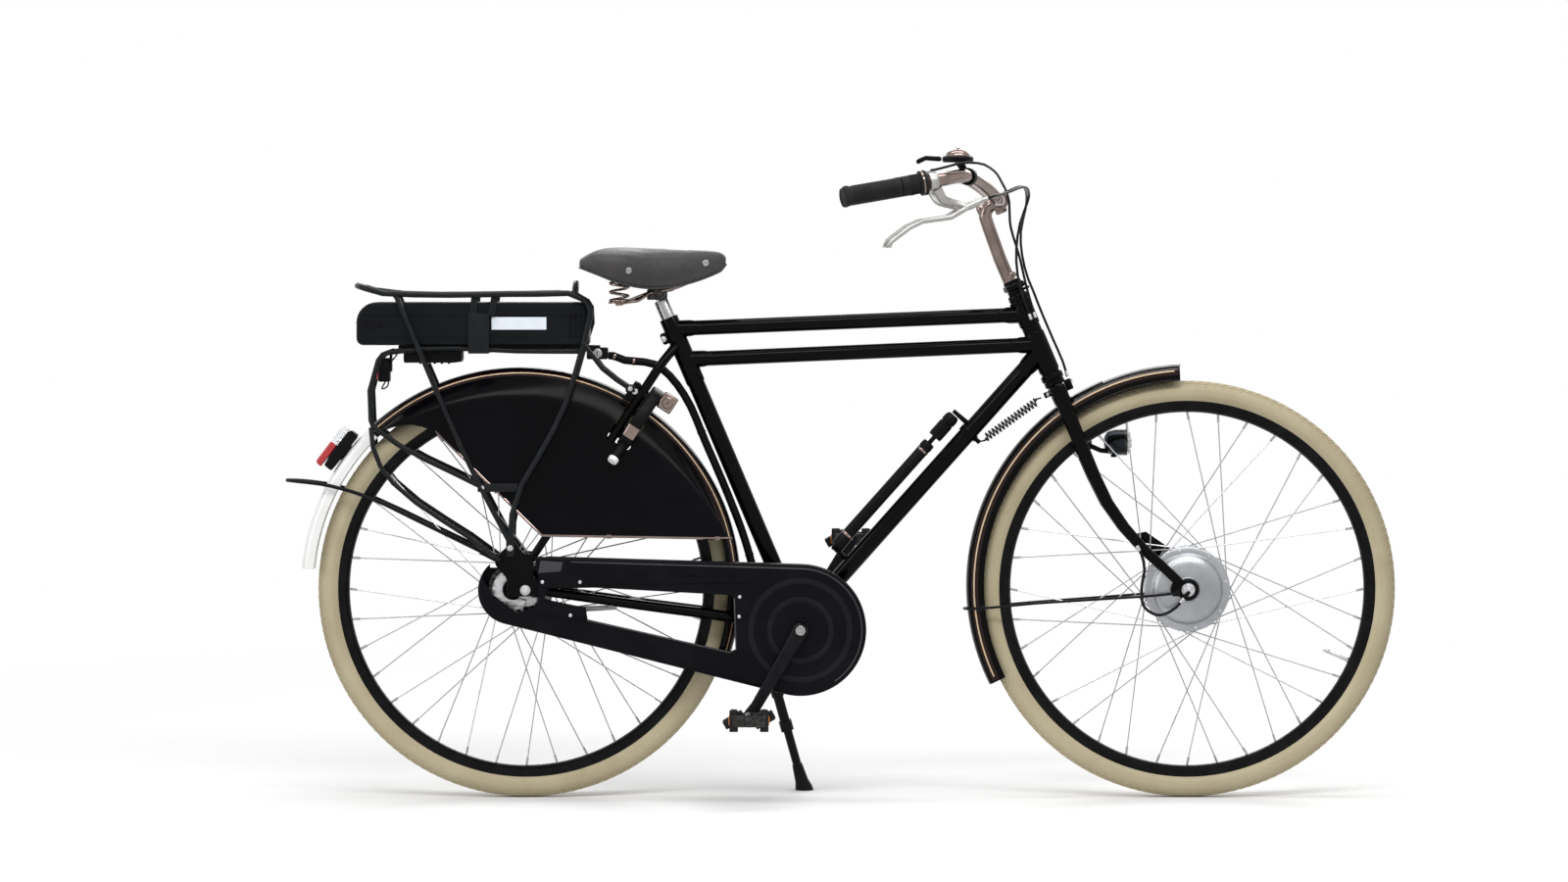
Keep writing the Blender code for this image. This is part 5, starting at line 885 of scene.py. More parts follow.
def new_tree(name, **inputs):
    """A geometry tree with a Geometry input, its named inputs and its output, as a Graph."""
    tree = bpy.data.node_groups.new(name, "GeometryNodeTree")
    tree.interface.new_socket("Geometry", in_out="INPUT", socket_type="NodeSocketGeometry")
    for label, kind in inputs.items():
        tree.interface.new_socket(label, in_out="INPUT", socket_type=KINDS[kind])
    tree.interface.new_socket("Geometry", in_out="OUTPUT", socket_type="NodeSocketGeometry")
    graph = Graph(tree)
    start = graph.add("NodeGroupInput")
    return graph, {label: start.out(label) for label in ("Geometry", *inputs)}


def close_tree(graph, geometry, look):
    solid = graph.add("GeometryNodeRealizeInstances", {0: geometry})
    painted = graph.add("GeometryNodeSetMaterial", {"Geometry": solid, "Material": look})
    graph.add("NodeGroupOutput", {0: painted})
    return graph.tree


def grown(tree, base=None, **inputs):
    """The mesh that a tree makes from a base mesh and its inputs."""
    holder = linked("grown", base or bpy.data.meshes.new("seed"))
    step = holder.modifiers.new("grow", "NODES")
    step.node_group = tree
    for socket in tree.interface.items_tree:
        if socket.in_out == "INPUT" and socket.name in inputs:
            step[socket.identifier] = inputs[socket.name]
    mesh = evaluated(holder)
    holder.modifiers.clear()
    bpy.data.objects.remove(holder)
    return mesh


def item(mesh):
    """A mesh as an object that a tree can copy; it never shows by itself."""
    made = bpy.data.objects.new("item", mesh)
    made.hide_render = True
    return made


FULL_TURN = 6.283185307


def around_tree():
    g, slots = new_tree("around", Count=int, Radius=float, Turn=float, Item="item", Look="look")
    dots = g.add("GeometryNodeMeshCircle", {"Vertices": slots["Count"], "Radius": slots["Radius"]})
    index = g.add("GeometryNodeInputIndex")
    angle = index * FULL_TURN / slots["Count"]
    spin = g.add("ShaderNodeCombineXYZ", {2: angle})
    shape = g.add("GeometryNodeObjectInfo", {0: slots["Item"], "As Instance": True}, "Geometry")
    copies = g.add("GeometryNodeInstanceOnPoints", {"Points": dots, "Instance": shape, "Rotation": spin})
    whole = g.add("ShaderNodeCombineXYZ", {2: slots["Turn"]})
    turned_copies = g.add("GeometryNodeTransform", {0: copies, "Rotation": whole})
    return close_tree(g, turned_copies, slots["Look"])


def follow_tree():
    g, slots = new_tree("follow", Count=int, Item="item", Look="look")
    line = g.add("GeometryNodeMeshToCurve", {0: slots["Geometry"]})
    even = g.add("GeometryNodeResampleCurve", {"Curve": line, "Count": slots["Count"]})
    heading = g.add("GeometryNodeInputTangent")
    turned_to = g.add("FunctionNodeAlignRotationToVector", {"Vector": heading}, axis="X", pivot_axis="Y")
    shape = g.add("GeometryNodeObjectInfo", {0: slots["Item"], "As Instance": True}, "Geometry")
    copies = g.add("GeometryNodeInstanceOnPoints", {"Points": even, "Instance": shape, "Rotation": turned_to})
    return close_tree(g, copies, slots["Look"])


AROUND = around_tree()
FOLLOW = follow_tree()


def ring_of(mesh, count, radius, look, turned_by=0.0):
    sizes = {"Count": count, "Radius": radius, "Turn": math.radians(turned_by)}
    return grown(AROUND, Item=item(mesh), Look=look, **sizes)


def line_mesh(points):
    mesh = bpy.data.meshes.new("line")
    mesh.from_pydata([tuple(p) for p in points], [(i, i + 1) for i in range(len(points) - 1)], [])
    return mesh


def row_of(mesh, points, count, look):
    return grown(FOLLOW, line_mesh(points), Item=item(mesh), Count=count, Look=look)


print("trees", [tree.name for tree in bpy.data.node_groups])

# %% [markdown]
# ## Wheels
# A spoked wheel follows a strict rule. Spokes leave the two hub flanges in turn, and each pair crosses: one
# leads the hub, one trails it. From the spoke's number the tree works out which side and which way it goes,
# places a wire between its two ends, and adds the nipple at the rim. One tree laces both wheels.

# %% Lacing tree
def lacing_tree():
    sizes = dict.fromkeys(("Hub", "Rim", "Flange", "Splay", "Cross", "Wire"), float)
    g, s = new_tree("lacing", Count=int, **sizes, Look="look")
    index = g.add("GeometryNodeInputIndex")
    side = (index % 2) * 2 - 1
    leading = ((index / 2).math("FLOOR") % 2) * 2 - 1
    rim_angle = index * FULL_TURN / s["Count"]
    hub_angle = rim_angle + leading * s["Cross"]
    reach = side * (s["Flange"] + leading * s["Splay"])

    def spot(radius, angle, y):
        return g.add(
            "ShaderNodeCombineXYZ", {0: radius * angle.math("COSINE"), 1: y, 2: radius * angle.math("SINE")}
        )

    def between(operation, first, second, result=0):
        return g.add("ShaderNodeVectorMath", {0: first, 1: second}, result, operation=operation)

    start = spot(s["Hub"], hub_angle, reach)
    end = spot(s["Rim"], rim_angle, side * 0.0025)
    way = between("SUBTRACT", end, start)
    length = g.add("ShaderNodeVectorMath", {0: way}, "Value", operation="LENGTH")
    upright = g.add("FunctionNodeAlignRotationToVector", {"Vector": way}, axis="Z")
    middle = g.add("ShaderNodeVectorMath", {0: between("ADD", start, end), 3: 0.5}, operation="SCALE")
    unit = g.add("ShaderNodeVectorMath", {0: way}, operation="NORMALIZE")

    def copies(at, sides, scale, rotation=upright):
        dots = g.add("GeometryNodePoints", {"Count": s["Count"], "Position": at})
        bar = g.add("GeometryNodeMeshCylinder", {"Vertices": sides, "Radius": 1.0, "Depth": 1.0})
        place = {"Points": dots, "Instance": bar, "Scale": scale, "Rotation": rotation}
        return g.add("GeometryNodeInstanceOnPoints", place)

    wires = copies(middle, 8, g.add("ShaderNodeCombineXYZ", {0: s["Wire"], 1: s["Wire"], 2: length}))
    seat = between("SUBTRACT", end, g.add("ShaderNodeVectorMath", {0: unit, 3: 0.006}, operation="SCALE"))
    nipples = copies(seat, 6, (0.0021, 0.0021, 0.015))
    heads = copies(start, 8, (0.0019, 0.004, 0.0019), (math.pi / 2, 0.0, 0.0))
    return close_tree(g, g.join(wires, nipples, heads), s["Look"])


LACING = lacing_tree()
SPOKES = 36
SPOKE_WIRE = 0.00105
SPOKE_CROSS = math.radians(62.0)
RIM_SEAT = 0.2985


def laced(hub_radius, flange, name, body, place):
    sizes = {"Hub": hub_radius, "Rim": RIM_SEAT, "Flange": flange, "Splay": 0.0022}
    mesh = grown(LACING, Count=SPOKES, Cross=SPOKE_CROSS, Wire=SPOKE_WIRE, Look=WIRE_STEEL, **sizes)
    print(name, "faces", len(mesh.polygons))
    return piece(name, mesh, WIRE_STEEL, body, place)


laced(0.069, 0.0235, "front_spokes", "front_wheel", FRONT)
laced(0.0435, 0.0285, "rear_spokes", "rear_wheel", REAR)

# %% [markdown]
# The tyre is a turned ring with fine grooves round its crown and a bead line at the rim. Rows of low slanted
# blocks, copied round the axle, make the tread. The rim has hooked walls and a hollow-looking inner side.

# %% Tyres and rims
TYRE_HALF = 0.02


def tyre_profile():
    centre = WHEEL_RADIUS - TYRE_HALF
    points = [(0.3148, 0.0118), (0.3165, 0.0135)]
    for degrees in range(118, -119, -4):
        fall = 0.0
        if abs(degrees) in (10, 26, 42):
            fall = 0.0009
        if abs(degrees) in (98, 106):
            fall = -0.0005
        radius = TYRE_HALF - fall - 0.0003
        a = math.radians(degrees)
        points.append((centre + radius * math.cos(a), radius * math.sin(a)))
    return [*points, (0.3165, -0.0135), (0.3148, -0.0118)]


def tread(degrees, slant, length, count, turned_by):
    """One row of low slanted blocks round the tyre, at this angle from its crown."""
    centre = WHEEL_RADIUS - TYRE_HALF
    lug_shape = block((0.001, length, 0.003), (0.0, 0.0, 0.0), 0.0003, 1, turn("X", slant))
    lug_shape.transform(turn("Y", -degrees))
    a = math.radians(degrees)
    lug_shape.transform(shift((TYRE_HALF - 0.0003) * math.cos(a), 0.0, (TYRE_HALF - 0.0003) * math.sin(a)))
    return ring_of(lug_shape, count, centre, TYRE_RUBBER, turned_by)


TREAD_ROWS = (
    # degrees from the crown, slant, length of a block, turn of the row
    (18, 32.0, 0.0068, 0.0), (34, -32.0, 0.0062, 1.2), (50, 20.0, 0.005, 0.6),
)


def tread_rows():
    rows = []
    for degrees, slant, length, turned_by in TREAD_ROWS:
        for side in (-1, 1):
            rows.append(tread(degrees * side, slant * side, length, 150, turned_by * side))
    return rows


RIM_PROFILE = [
    (0.3182, 0.014), (0.3185, 0.013), (0.318, 0.0121), (0.312, 0.0112), (0.312, -0.0112), (0.318, -0.0121),
    (0.3185, -0.013), (0.3182, -0.014), (0.3128, -0.0138), (0.304, -0.0122), (0.3, -0.0088), (0.298, -0.004),
    (0.2976, 0.0), (0.298, 0.004), (0.3, 0.0088), (0.304, 0.0122), (0.3128, 0.0138),
]


def valve():
    """Valve stem through the rim, with its nut and cap."""
    return [
        rod((0.299, 0.0, 0.0), (0.262, 0.0, 0.0), 0.003, sides=16),
        nut((0.2975, 0.0, 0.0), (0.2945, 0.0, 0.0), 0.0085),
        rod((0.263, 0.0, 0.0), (0.252, 0.0, 0.0), 0.0038, 0.003, sides=16),
    ]


for name, place, valve_turn in (("front", FRONT, 24.0), ("rear", REAR, -76.0)):
    body = f"{name}_wheel"
    ring = lathe(tyre_profile(), 160, closed=True, place=CROSSWAYS)
    rows = merged(tread_rows())
    rows.transform(CROSSWAYS)
    piece(f"{name}_tyre_tread", [ring, rows], TYRE_RUBBER, body, place, f"{name}_tyre")
    hoop = lathe(RIM_PROFILE, 144, closed=True, place=CROSSWAYS)
    piece(f"{name}_rim_hoop", hoop, RIM_BLACK, body, place, f"{name}_rim", 28.0)
    piece(f"{name}_valve", valve(), ZINC, body, place @ turn("Y", valve_turn))
print("tyre and rim pieces", len(made_pieces))

# %% [markdown]
# The front hub is the motor: a cast shell with a stepped dome on each side, closed by a ring of screws. The
# rear hub holds the gears and has two thin flanges. Both turn on fixed axles, in the fork and in the frame.

# %% Hubs
def both_sides(half):
    """A closed profile from its left half, outer edge last."""
    return half + [(radius, -y) for radius, y in reversed(half)]


MOTOR_HALF = [
    (0.006, 0.0425), (0.0195, 0.043), (0.0204, 0.0424), (0.0212, 0.0412), (0.033, 0.0408), (0.043, 0.0396),
    (0.05, 0.0376), (0.0545, 0.035), (0.0575, 0.0322), (0.059, 0.03), (0.0602, 0.0292), (0.064, 0.029),
    (0.069, 0.0284), (0.0708, 0.0276), (0.0714, 0.0264), (0.0715, 0.021), (0.0706, 0.0196), (0.0706, 0.0),
]
shell = crosswise(both_sides(MOTOR_HALF[:-1]), steps=96, closed=True)
screw = lathe([(0.0, 0.0014), (0.001, 0.0014), (0.0012, 0.0006), (0.0024, 0.0004), (0.0028, -0.001)], 12)
screws = []
for side in (-1, 1):
    heads = ring_of(screw, 8, 0.0655, ZINC, 12.0)
    heads.transform(shift(0.0, -0.0296 * side, 0.0) @ turn("X", 90.0 * side))
    screws.append(heads)
piece("motor_shell", shell, HUB_ALLOY, "front_wheel", FRONT, "front_hub", 26.0)
piece("motor_screws", screws, ZINC, "front_wheel", FRONT)

GEAR_HALF = [
    (0.006, 0.05), (0.0144, 0.05), (0.015, 0.0494), (0.0152, 0.037), (0.018, 0.035), (0.04, 0.033),
    (0.0448, 0.0312), (0.0459, 0.0304), (0.0459, 0.0266), (0.0448, 0.0256), (0.0402, 0.0242),
    (0.0386, 0.0205),
]
GEAR_RIGHT = [(0.0386, -0.0205), (0.0402, -0.0242), (0.0448, -0.0256), (0.0459, -0.0266), (0.0459, -0.0304),
              (0.0448, -0.0314), (0.03, -0.0338), (0.018, -0.0352), (0.006, -0.042)]
gear_shell = crosswise(GEAR_HALF + GEAR_RIGHT, steps=72, closed=True)
piece("gear_hub_shell", gear_shell, HUB_ALLOY, "rear_wheel", REAR, "rear_hub", 26.0)
print("hub shells done")

# %% [markdown]
# The fixed axles carry nuts, washers and, on the motor, a dark cover with the cable's boss. At the rear sit
# the hub brake's plate with its reaction arm on the left, and the gear selector's box on the right.

# %% Axles and their fittings
FRONT_DROPOUT_Y = 0.0525
REAR_DROPOUT_Y = 0.068
DROPOUT_HALF = 0.0025


def washer(y, radius, thick, side):
    return crosswise(
        [(0.0054, y), (radius, y), (radius, y + side * thick), (0.0054, y + side * thick)], closed=True,
    )


def axle_end(side, out_y, length, across, spare):
    """Washer, nut, thread end and domed tip on one side."""
    face = side * (out_y + 0.0004)
    return [
        washer(face, across * 0.62, 0.0016, side),
        side_nut(0.0, 0.0, face + side * 0.0016, side * (out_y + length), across),
        side_pin(0.0, 0.0, side * out_y, side * (out_y + spare), 0.005, sides=24),
    ]


front_bits = [side_pin(0.0, 0.0, -0.054, 0.054, 0.005, sides=24)]
for side in (-1, 1):
    front_bits += axle_end(side, FRONT_DROPOUT_Y + DROPOUT_HALF, 0.009, 0.018, 0.013)
piece("front_axle_nuts", front_bits, ZINC, "steering", FORK_END, "motor_axle")
caps = []
for side in (-1, 1):
    inner = FRONT_DROPOUT_Y - DROPOUT_HALF - 0.0003
    caps.append(
        crosswise(
            [
                (0.0, side * 0.0438), (0.0186, side * 0.0438), (0.019, side * 0.0446),
                (0.0172, side * (inner - 0.001)), (0.016, side * inner), (0.0, side * inner),
            ],
            steps=40,
        )
    )
boss = rod((0.001, -0.0655, -0.002), (-0.0083, -0.0655, -0.0144), 0.0036, sides=16)
piece("motor_covers", [*caps, boss], FITTING_PLASTIC, "steering", FORK_END)

nut_y = REAR_DROPOUT_Y + DROPOUT_HALF
rear_bits = [side_pin(0.0, 0.0, -nut_y, nut_y, 0.005, sides=24)]
rear_bits += axle_end(1, nut_y, 0.009, 0.0164, 0.015)
rear_bits += axle_end(-1, nut_y, 0.006, 0.0138, 0.009)
rear_bits.append(crosswise([(0.0, 0.0556), (0.013, 0.0556), (0.013, 0.0652), (0.0, 0.0652)], steps=32))
piece("rear_axle_nuts", rear_bits, ZINC, "frame", REAR, "rear_axle")

BRAKE_PLATE = [
    (0.0, 0.0432), (0.0424, 0.0432), (0.0434, 0.044), (0.0434, 0.0462), (0.04, 0.0478), (0.038, 0.052),
    (0.03, 0.0545), (0.029, 0.053), (0.016, 0.053), (0.015, 0.0558), (0.0, 0.0558),
]
arm = slab(
    [(0.02, -0.028), (0.034, -0.033), (0.15, -0.03), (0.153, -0.0375), (0.022, -0.046)], 0.0032, 0.0505,
)
brake_parts = [crosswise(BRAKE_PLATE, steps=56), arm, side_nut(0.146, -0.0345, 0.0515, 0.055, 0.005)]
piece("hub_brake", brake_parts, HUB_ALLOY, "frame", REAR)
selector = [
    crosswise(
        [(0.0, -0.0535), (0.017, -0.0535), (0.0172, -0.056), (0.015, -0.064), (0.0, -0.0646)], steps=36,
    ),
    block((0.022, 0.009, 0.018), (0.012, -0.0598, -0.02), 0.0022),
    rod((0.02, -0.06, -0.018), (0.034, -0.06, -0.01), 0.003, sides=14),
]
piece("gear_selector", selector, POLISHED_ALLOY, "frame", REAR)
print("axle fittings done")

# %% [markdown]
# ## Frame
# The frame is brazed from round tubes into lugs, sleeves whose edges run out in points. `lug` bends the edge
# of a sleeve with a cosine, so that it has two or more tips, and thins it where it meets the tube.

# %% Frame measures
SEAT_ANGLE = 113.0
SEAT_DIRECTION = facing(SEAT_ANGLE)
HEAD_DIRECTION = facing(90.0 + HEAD_TILT)
HEAD_LOW = BIKE.inverted() @ Vector(joints["steering"]["pos_m"])
SEAT_TUBE = 0.568
HEAD_TUBE = 0.1383
SEAT_RADIUS = 0.0143
TOP_RADIUS = 0.0127
DOWN_RADIUS = 0.0145
HEAD_RADIUS = 0.0159
LUG_WALL = 0.0017


def on_seat(distance):
    return BRACKET + SEAT_DIRECTION * distance


def on_head(distance):
    return HEAD_LOW + HEAD_DIRECTION * distance


def lug(root, along, radius, length, tips=2, turned_by=0.0, sides=48):
    """A brazed sleeve whose far edge runs out in tips."""
    along = along.normalized()
    normal = LEFT
    side = along.cross(normal)
    rows = []
    edges = (
        (0.0, LUG_WALL), (0.86, LUG_WALL), (0.97, LUG_WALL * 0.7), (1.0, LUG_WALL * 0.1), (1.0, -0.0006),
        (0.0, -0.0006),
    )
    for share, lift in edges:
        row = []
        for index, (c, s) in enumerate(unit_circle(sides)):
            swing = abs(math.cos(math.pi * index * tips / sides + turned_by)) ** 1.6
            reach = length * (0.62 + 0.38 * swing) * share
            row.append(root + (normal * c + side * s) * (radius + lift) + along * reach)
        rows.append(row)
    return skin(rows, closed=True)


upper_rear, upper_front = on_seat(0.549), on_head(0.1156)
lower_rear, lower_front = on_seat(0.493), on_head(0.0609)
down_low, down_high = BRACKET + Vector((0.0, 0.0, 0.012)), on_head(0.0483)
DOWN_DIRECTION = (down_high - down_low).normalized()
DOWN_UNDER = Vector((DOWN_DIRECTION.z, 0.0, -DOWN_DIRECTION.x))
print(
    "top tube", round((upper_front - upper_rear).length, 3), "m, down tube",
    round((down_high - down_low).length, 3),
)

# %% Tubes and lugs
frame_parts = [
    rod(BRACKET, on_seat(SEAT_TUBE), SEAT_RADIUS, sides=48),
    rod(on_head(0.0), on_head(HEAD_TUBE), HEAD_RADIUS, sides=48),
    rod(upper_rear, upper_front, TOP_RADIUS, sides=48),
    rod(lower_rear, lower_front, TOP_RADIUS, sides=48),
    rod(down_low, down_high, DOWN_RADIUS, sides=48),
]
for start, end in ((upper_rear, upper_front), (lower_rear, lower_front)):
    along = (end - start).normalized()
    frame_parts.append(lug(start, along, TOP_RADIUS, 0.05))
    frame_parts.append(lug(end, -along, TOP_RADIUS, 0.05))
frame_parts.append(lug(down_high, -DOWN_DIRECTION, DOWN_RADIUS, 0.056))
frame_parts.append(lug(down_low, DOWN_DIRECTION, DOWN_RADIUS, 0.052))
frame_parts.append(lug(BRACKET, SEAT_DIRECTION, SEAT_RADIUS, 0.05))
frame_parts.append(lug(on_seat(0.493), -SEAT_DIRECTION, SEAT_RADIUS, 0.044, 2, math.pi / 2))
frame_parts.append(
    rod(on_seat(0.48), on_seat(SEAT_TUBE + 0.001), SEAT_RADIUS + LUG_WALL, sides=48, soft=0.05)
)
for low, high in ((0.012, 0.082), (0.096, 0.131)):
    frame_parts.append(rod(on_head(low), on_head(high), HEAD_RADIUS + LUG_WALL, sides=48, soft=0.05))
for low, high, extra in ((-0.004, 0.007, 0.0032), (HEAD_TUBE - 0.004, HEAD_TUBE + 0.003, 0.0028)):
    frame_parts.append(rod(on_head(low), on_head(high), HEAD_RADIUS + extra, sides=48, soft=0.08))
BRACKET_HALF = [(0.01, 0.036), (0.0196, 0.036), (0.0205, 0.0352), (0.0205, 0.031), (0.02, 0.03)]
frame_parts.append(crosswise(both_sides(BRACKET_HALF), BRACKET.x, BRACKET.z, closed=True))
print("tubes and lugs", len(frame_parts))

# %% [markdown]
# The rear triangle: chain stays that taper back to the dropouts, seat stays that curve round the mudguard,
# bridges that hold it, and plates with slots for the axle.

# %% Stays, dropouts and brazed fittings
GUARD_CENTRE = REAR_AXLE + Vector((-0.0092, 0.0, 0.0024))
GUARD_RADIUS = 0.3717
REAR_LUG = REAR_AXLE + Vector((-0.024, 0.0, 0.077))


def rear_stays(side):
    end_y = REAR_DROPOUT_Y - 0.0035
    z = BRACKET.z
    chain = ((-0.008, 0.0235, z + 0.006), (-0.045, 0.03, z + 0.011), (-0.076, 0.0347, z + 0.016),
             (-0.104, 0.0407, z + 0.019), (-0.145, 0.0455, z + 0.025), (-0.26, 0.052, z + 0.04),
             (REAR_AXLE.x + 0.029, end_y, REAR_AXLE.z - 0.002))
    top = on_seat(SEAT_TUBE - 0.046)
    seat = ((top.x - 0.004, 0.013, top.z - 0.002), (-0.23, 0.0275, 0.7355), (-0.27, 0.0385, 0.6755),
            (-0.33, 0.046, 0.586), (REAR_AXLE.x + 0.006, end_y, REAR_AXLE.z + 0.046))
    x, w = REAR_AXLE.x, REAR_AXLE.z
    outline = [
        (x + 0.042, w - 0.01), (x + 0.04, w + 0.006), (x + 0.013, w + 0.022), (x + 0.014, w + 0.06),
        (x - 0.004, w + 0.062), (REAR_LUG.x + 0.005, REAR_LUG.z + 0.008),
        (REAR_LUG.x - 0.006, REAR_LUG.z + 0.007), (REAR_LUG.x - 0.008, REAR_LUG.z - 0.006),
        (x - 0.048, w + 0.057), (x - 0.052, w + 0.044), (x - 0.031, w + 0.02), (x - 0.031, w - 0.011),
    ]
    dropout = slab(filleted(outline, 0.006), 2 * DROPOUT_HALF, side * REAR_DROPOUT_Y, 0.0008)
    tab = slab(
        [(-0.3, 0.672), (-0.278, 0.701), (-0.27, 0.697), (-0.262, 0.684), (-0.278, 0.66)], 0.004,
        side * 0.0375,
    )
    return [
        sweep(bent(mirrored(chain, side)), 0.0098, 0.0076, 32),
        sweep(bent(mirrored(seat, side)), 0.008, 0.0066, 32),
        dropout,
        tab,
    ]


for side in (-1, 1):
    frame_parts += rear_stays(side)
for degrees in (-9.0, 58.3):
    spot = GUARD_CENTRE + facing(degrees) * (GUARD_RADIUS + 0.006)
    frame_parts.append(side_pin(spot.x, spot.z, -0.04, 0.04, 0.0056, sides=24))
behind = facing(SEAT_ANGLE + 90.0)
ear = on_seat(SEAT_TUBE - 0.029) + behind * (SEAT_RADIUS + 0.004)
ears = block((0.014, 0.016, 0.02), (0.0, 0.0, 0.0), 0.0035, 3)
ears.transform(shift(*ear) @ turn("Y", -HEAD_TILT))
frame_parts.append(ears)
spring_root = down_high - DOWN_DIRECTION * 0.184
frame_parts.append(
    rod(
        spring_root - DOWN_DIRECTION * 0.006, spring_root + DOWN_DIRECTION * 0.006, DOWN_RADIUS + 0.0022,
        sides=48, soft=0.06,
    )
)
hook = spring_root + DOWN_UNDER * (DOWN_RADIUS + 0.01)
frame_parts.append(rod(hook - DOWN_UNDER * 0.009, hook + DOWN_UNDER * 0.001, 0.004, sides=20))
PUMP_FROM, PUMP_TO, PUMP_RISE = 0.135, 0.432, 0.038


def pump_point(along, above):
    return down_low + DOWN_DIRECTION * along - DOWN_UNDER * above


for foot in (PUMP_FROM - 0.0048, PUMP_TO + 0.0048):
    frame_parts.append(
        rod(pump_point(foot, DOWN_RADIUS - 0.002), pump_point(foot, PUMP_RISE + 0.006), 0.0045, 0.0036)
    )
piece("brazed_frame", frame_parts, BLACK_PAINT, "frame", BIKE, "frame", 40.0)

bolt_x, bolt_z = ear.x - 0.003, ear.z - 0.001
binder = [side_pin(bolt_x, bolt_z, -0.0165, 0.0165, 0.0034, sides=20)]
for side in (-1, 1):
    binder.append(side_nut(bolt_x, bolt_z, side * 0.0082, side * 0.015, 0.0098))
    binder.append(side_nut(-0.278, 0.684, side * 0.0396, side * 0.0425, 0.0095))
piece("frame_bolts", binder, ZINC, "frame", BIKE)
print("frame done")

# %% [markdown]
# ## Mudguards and coat guards
# A mudguard is one rolled section swept along a circle. The section is a flattened crown whose sides turn
# down and end in a rolled bead. The linings are strips of the same section, a hair above the paint, so they
# follow the surface exactly. The rear guard changes colour near its end, so it is swept in two lengths.

# %% Mudguard maker
GUARD_WALL = 0.0013
GUARD_SECTION = (
    (1.0, 1.0), (0.82, 1.0), (0.62, 0.985), (0.42, 0.945), (0.26, 0.87), (0.14, 0.74), (0.06, 0.56),
    (0.015, 0.32), (0.0, 0.0),
)
GUARD_HALF = 0.029


def section_point(share):
    """Drop and side place on the guard's section, from -1 at the right edge to 1 at the left edge."""
    reach = (1.0 - abs(share)) * (len(GUARD_SECTION) - 1)
    index = min(int(reach), len(GUARD_SECTION) - 2)
    (a, b), (c, d) = GUARD_SECTION[index], GUARD_SECTION[index + 1]
    t = reach - index
    return a + (c - a) * t, math.copysign(b + (d - b) * t, share)


def guard_arc(centre, radius, depth, first, last, low=-1.0, high=1.0, lift=0.0, wall=GUARD_WALL, rows=17):
    """A strip of a mudguard between two angles and between two places on its section."""
    shares = [low + (high - low) * index / (rows - 1) for index in range(rows)]
    spots = []
    for share in shares:
        drop, side = section_point(share)
        ahead, behind = section_point(min(share + 0.02, 1.0)), section_point(max(share - 0.02, -1.0))
        slope = Vector(((behind[0] - ahead[0]) * depth, (ahead[1] - behind[1]) * GUARD_HALF))
        normal = Vector((slope.y, -slope.x)).normalized()
        spots.append((radius - drop * depth, side * GUARD_HALF, normal))
    loop = [(r + n.x * lift, y + n.y * lift) for r, y, n in spots]
    loop += [(r + n.x * (lift - wall), y + n.y * (lift - wall)) for r, y, n in reversed(spots)]
    count = max(int(abs(last - first) / 2.0), 2)
    rings = []
    for index in range(count + 1):
        out = facing(first + (last - first) * index / count)
        rings.append([centre + out * r + LEFT * y for r, y in loop])
    lengths = [radius * math.radians(abs(last - first)) * index / count for index in range(count + 1)]
    return skin(rings, lengths=lengths)


def guard_bead(centre, radius, depth, first, last, side):
    """The rolled wire edge of a guard."""
    count = int(abs(last - first) / 2.0)
    line = []
    for index in range(count + 1):
        out = facing(first + (last - first) * index / count)
        line.append(centre + out * (radius - depth + 0.0006) + LEFT * (side * (GUARD_HALF - 0.0003)))
    return sweep(line, 0.0015, sides=8)


def lining(centre, radius, depth, first, last, width, lift):
    """A stripe along each flank, this wide and this far above the paint."""
    strips = []
    for side in (-1, 1):
        low, high = sorted((side * (0.64 - width), side * (0.64 + width)))
        strips.append(guard_arc(centre, radius, depth, first, last, low, high, lift, 0.0001, 5))
    return strips


print("section points", len(GUARD_SECTION) * 2 - 1)

# %% Rear mudguard
REAR_GUARD = (GUARD_CENTRE, 0.3712, 0.021)
BLACK_TO, GUARD_FROM, GUARD_TO = 133.5, -18.0, 175.0
dark = [guard_arc(*REAR_GUARD, GUARD_FROM, BLACK_TO)]
light = [guard_arc(*REAR_GUARD, BLACK_TO + 0.05, GUARD_TO)]
for side in (-1, 1):
    dark.append(guard_bead(*REAR_GUARD, GUARD_FROM, BLACK_TO, side))
    light.append(guard_bead(*REAR_GUARD, BLACK_TO + 0.05, GUARD_TO, side))
piece("rear_guard_black", dark, BLACK_PAINT, "frame", BIKE, "rear_mudguard")
piece("rear_guard_tail", light, PALE_PAINT, "frame", BIKE)
piece(
    "rear_guard_bands", lining(*REAR_GUARD, GUARD_FROM + 0.5, BLACK_TO - 0.3, 0.15, 0.00012), BAND_BROWN,
    "frame", BIKE,
)
piece(
    "rear_guard_lines", lining(*REAR_GUARD, GUARD_FROM + 1.0, BLACK_TO - 0.5, 0.026, 0.00026), GOLD_LINE,
    "frame", BIKE,
)
print("rear guard runs from", GUARD_FROM, "to", GUARD_TO, "degrees")

# %% Front mudguard
FRONT_GUARD = (Vector((0.0025, 0.0, 0.0059)), 0.3752, 0.029)
front_black = [guard_arc(*FRONT_GUARD, 92.5, 206.5)]
for side in (-1, 1):
    front_black.append(guard_bead(*FRONT_GUARD, 92.5, 206.5, side))
piece("front_guard_black", front_black, BLACK_PAINT, "steering", FORK_END, "front_mudguard")
piece("front_guard_bands", lining(*FRONT_GUARD, 93.0, 206.0, 0.15, 0.00012), BAND_BROWN, "steering", FORK_END)
piece("front_guard_lines", lining(*FRONT_GUARD, 94.0, 205.0, 0.026, 0.00026), GOLD_LINE, "steering", FORK_END)
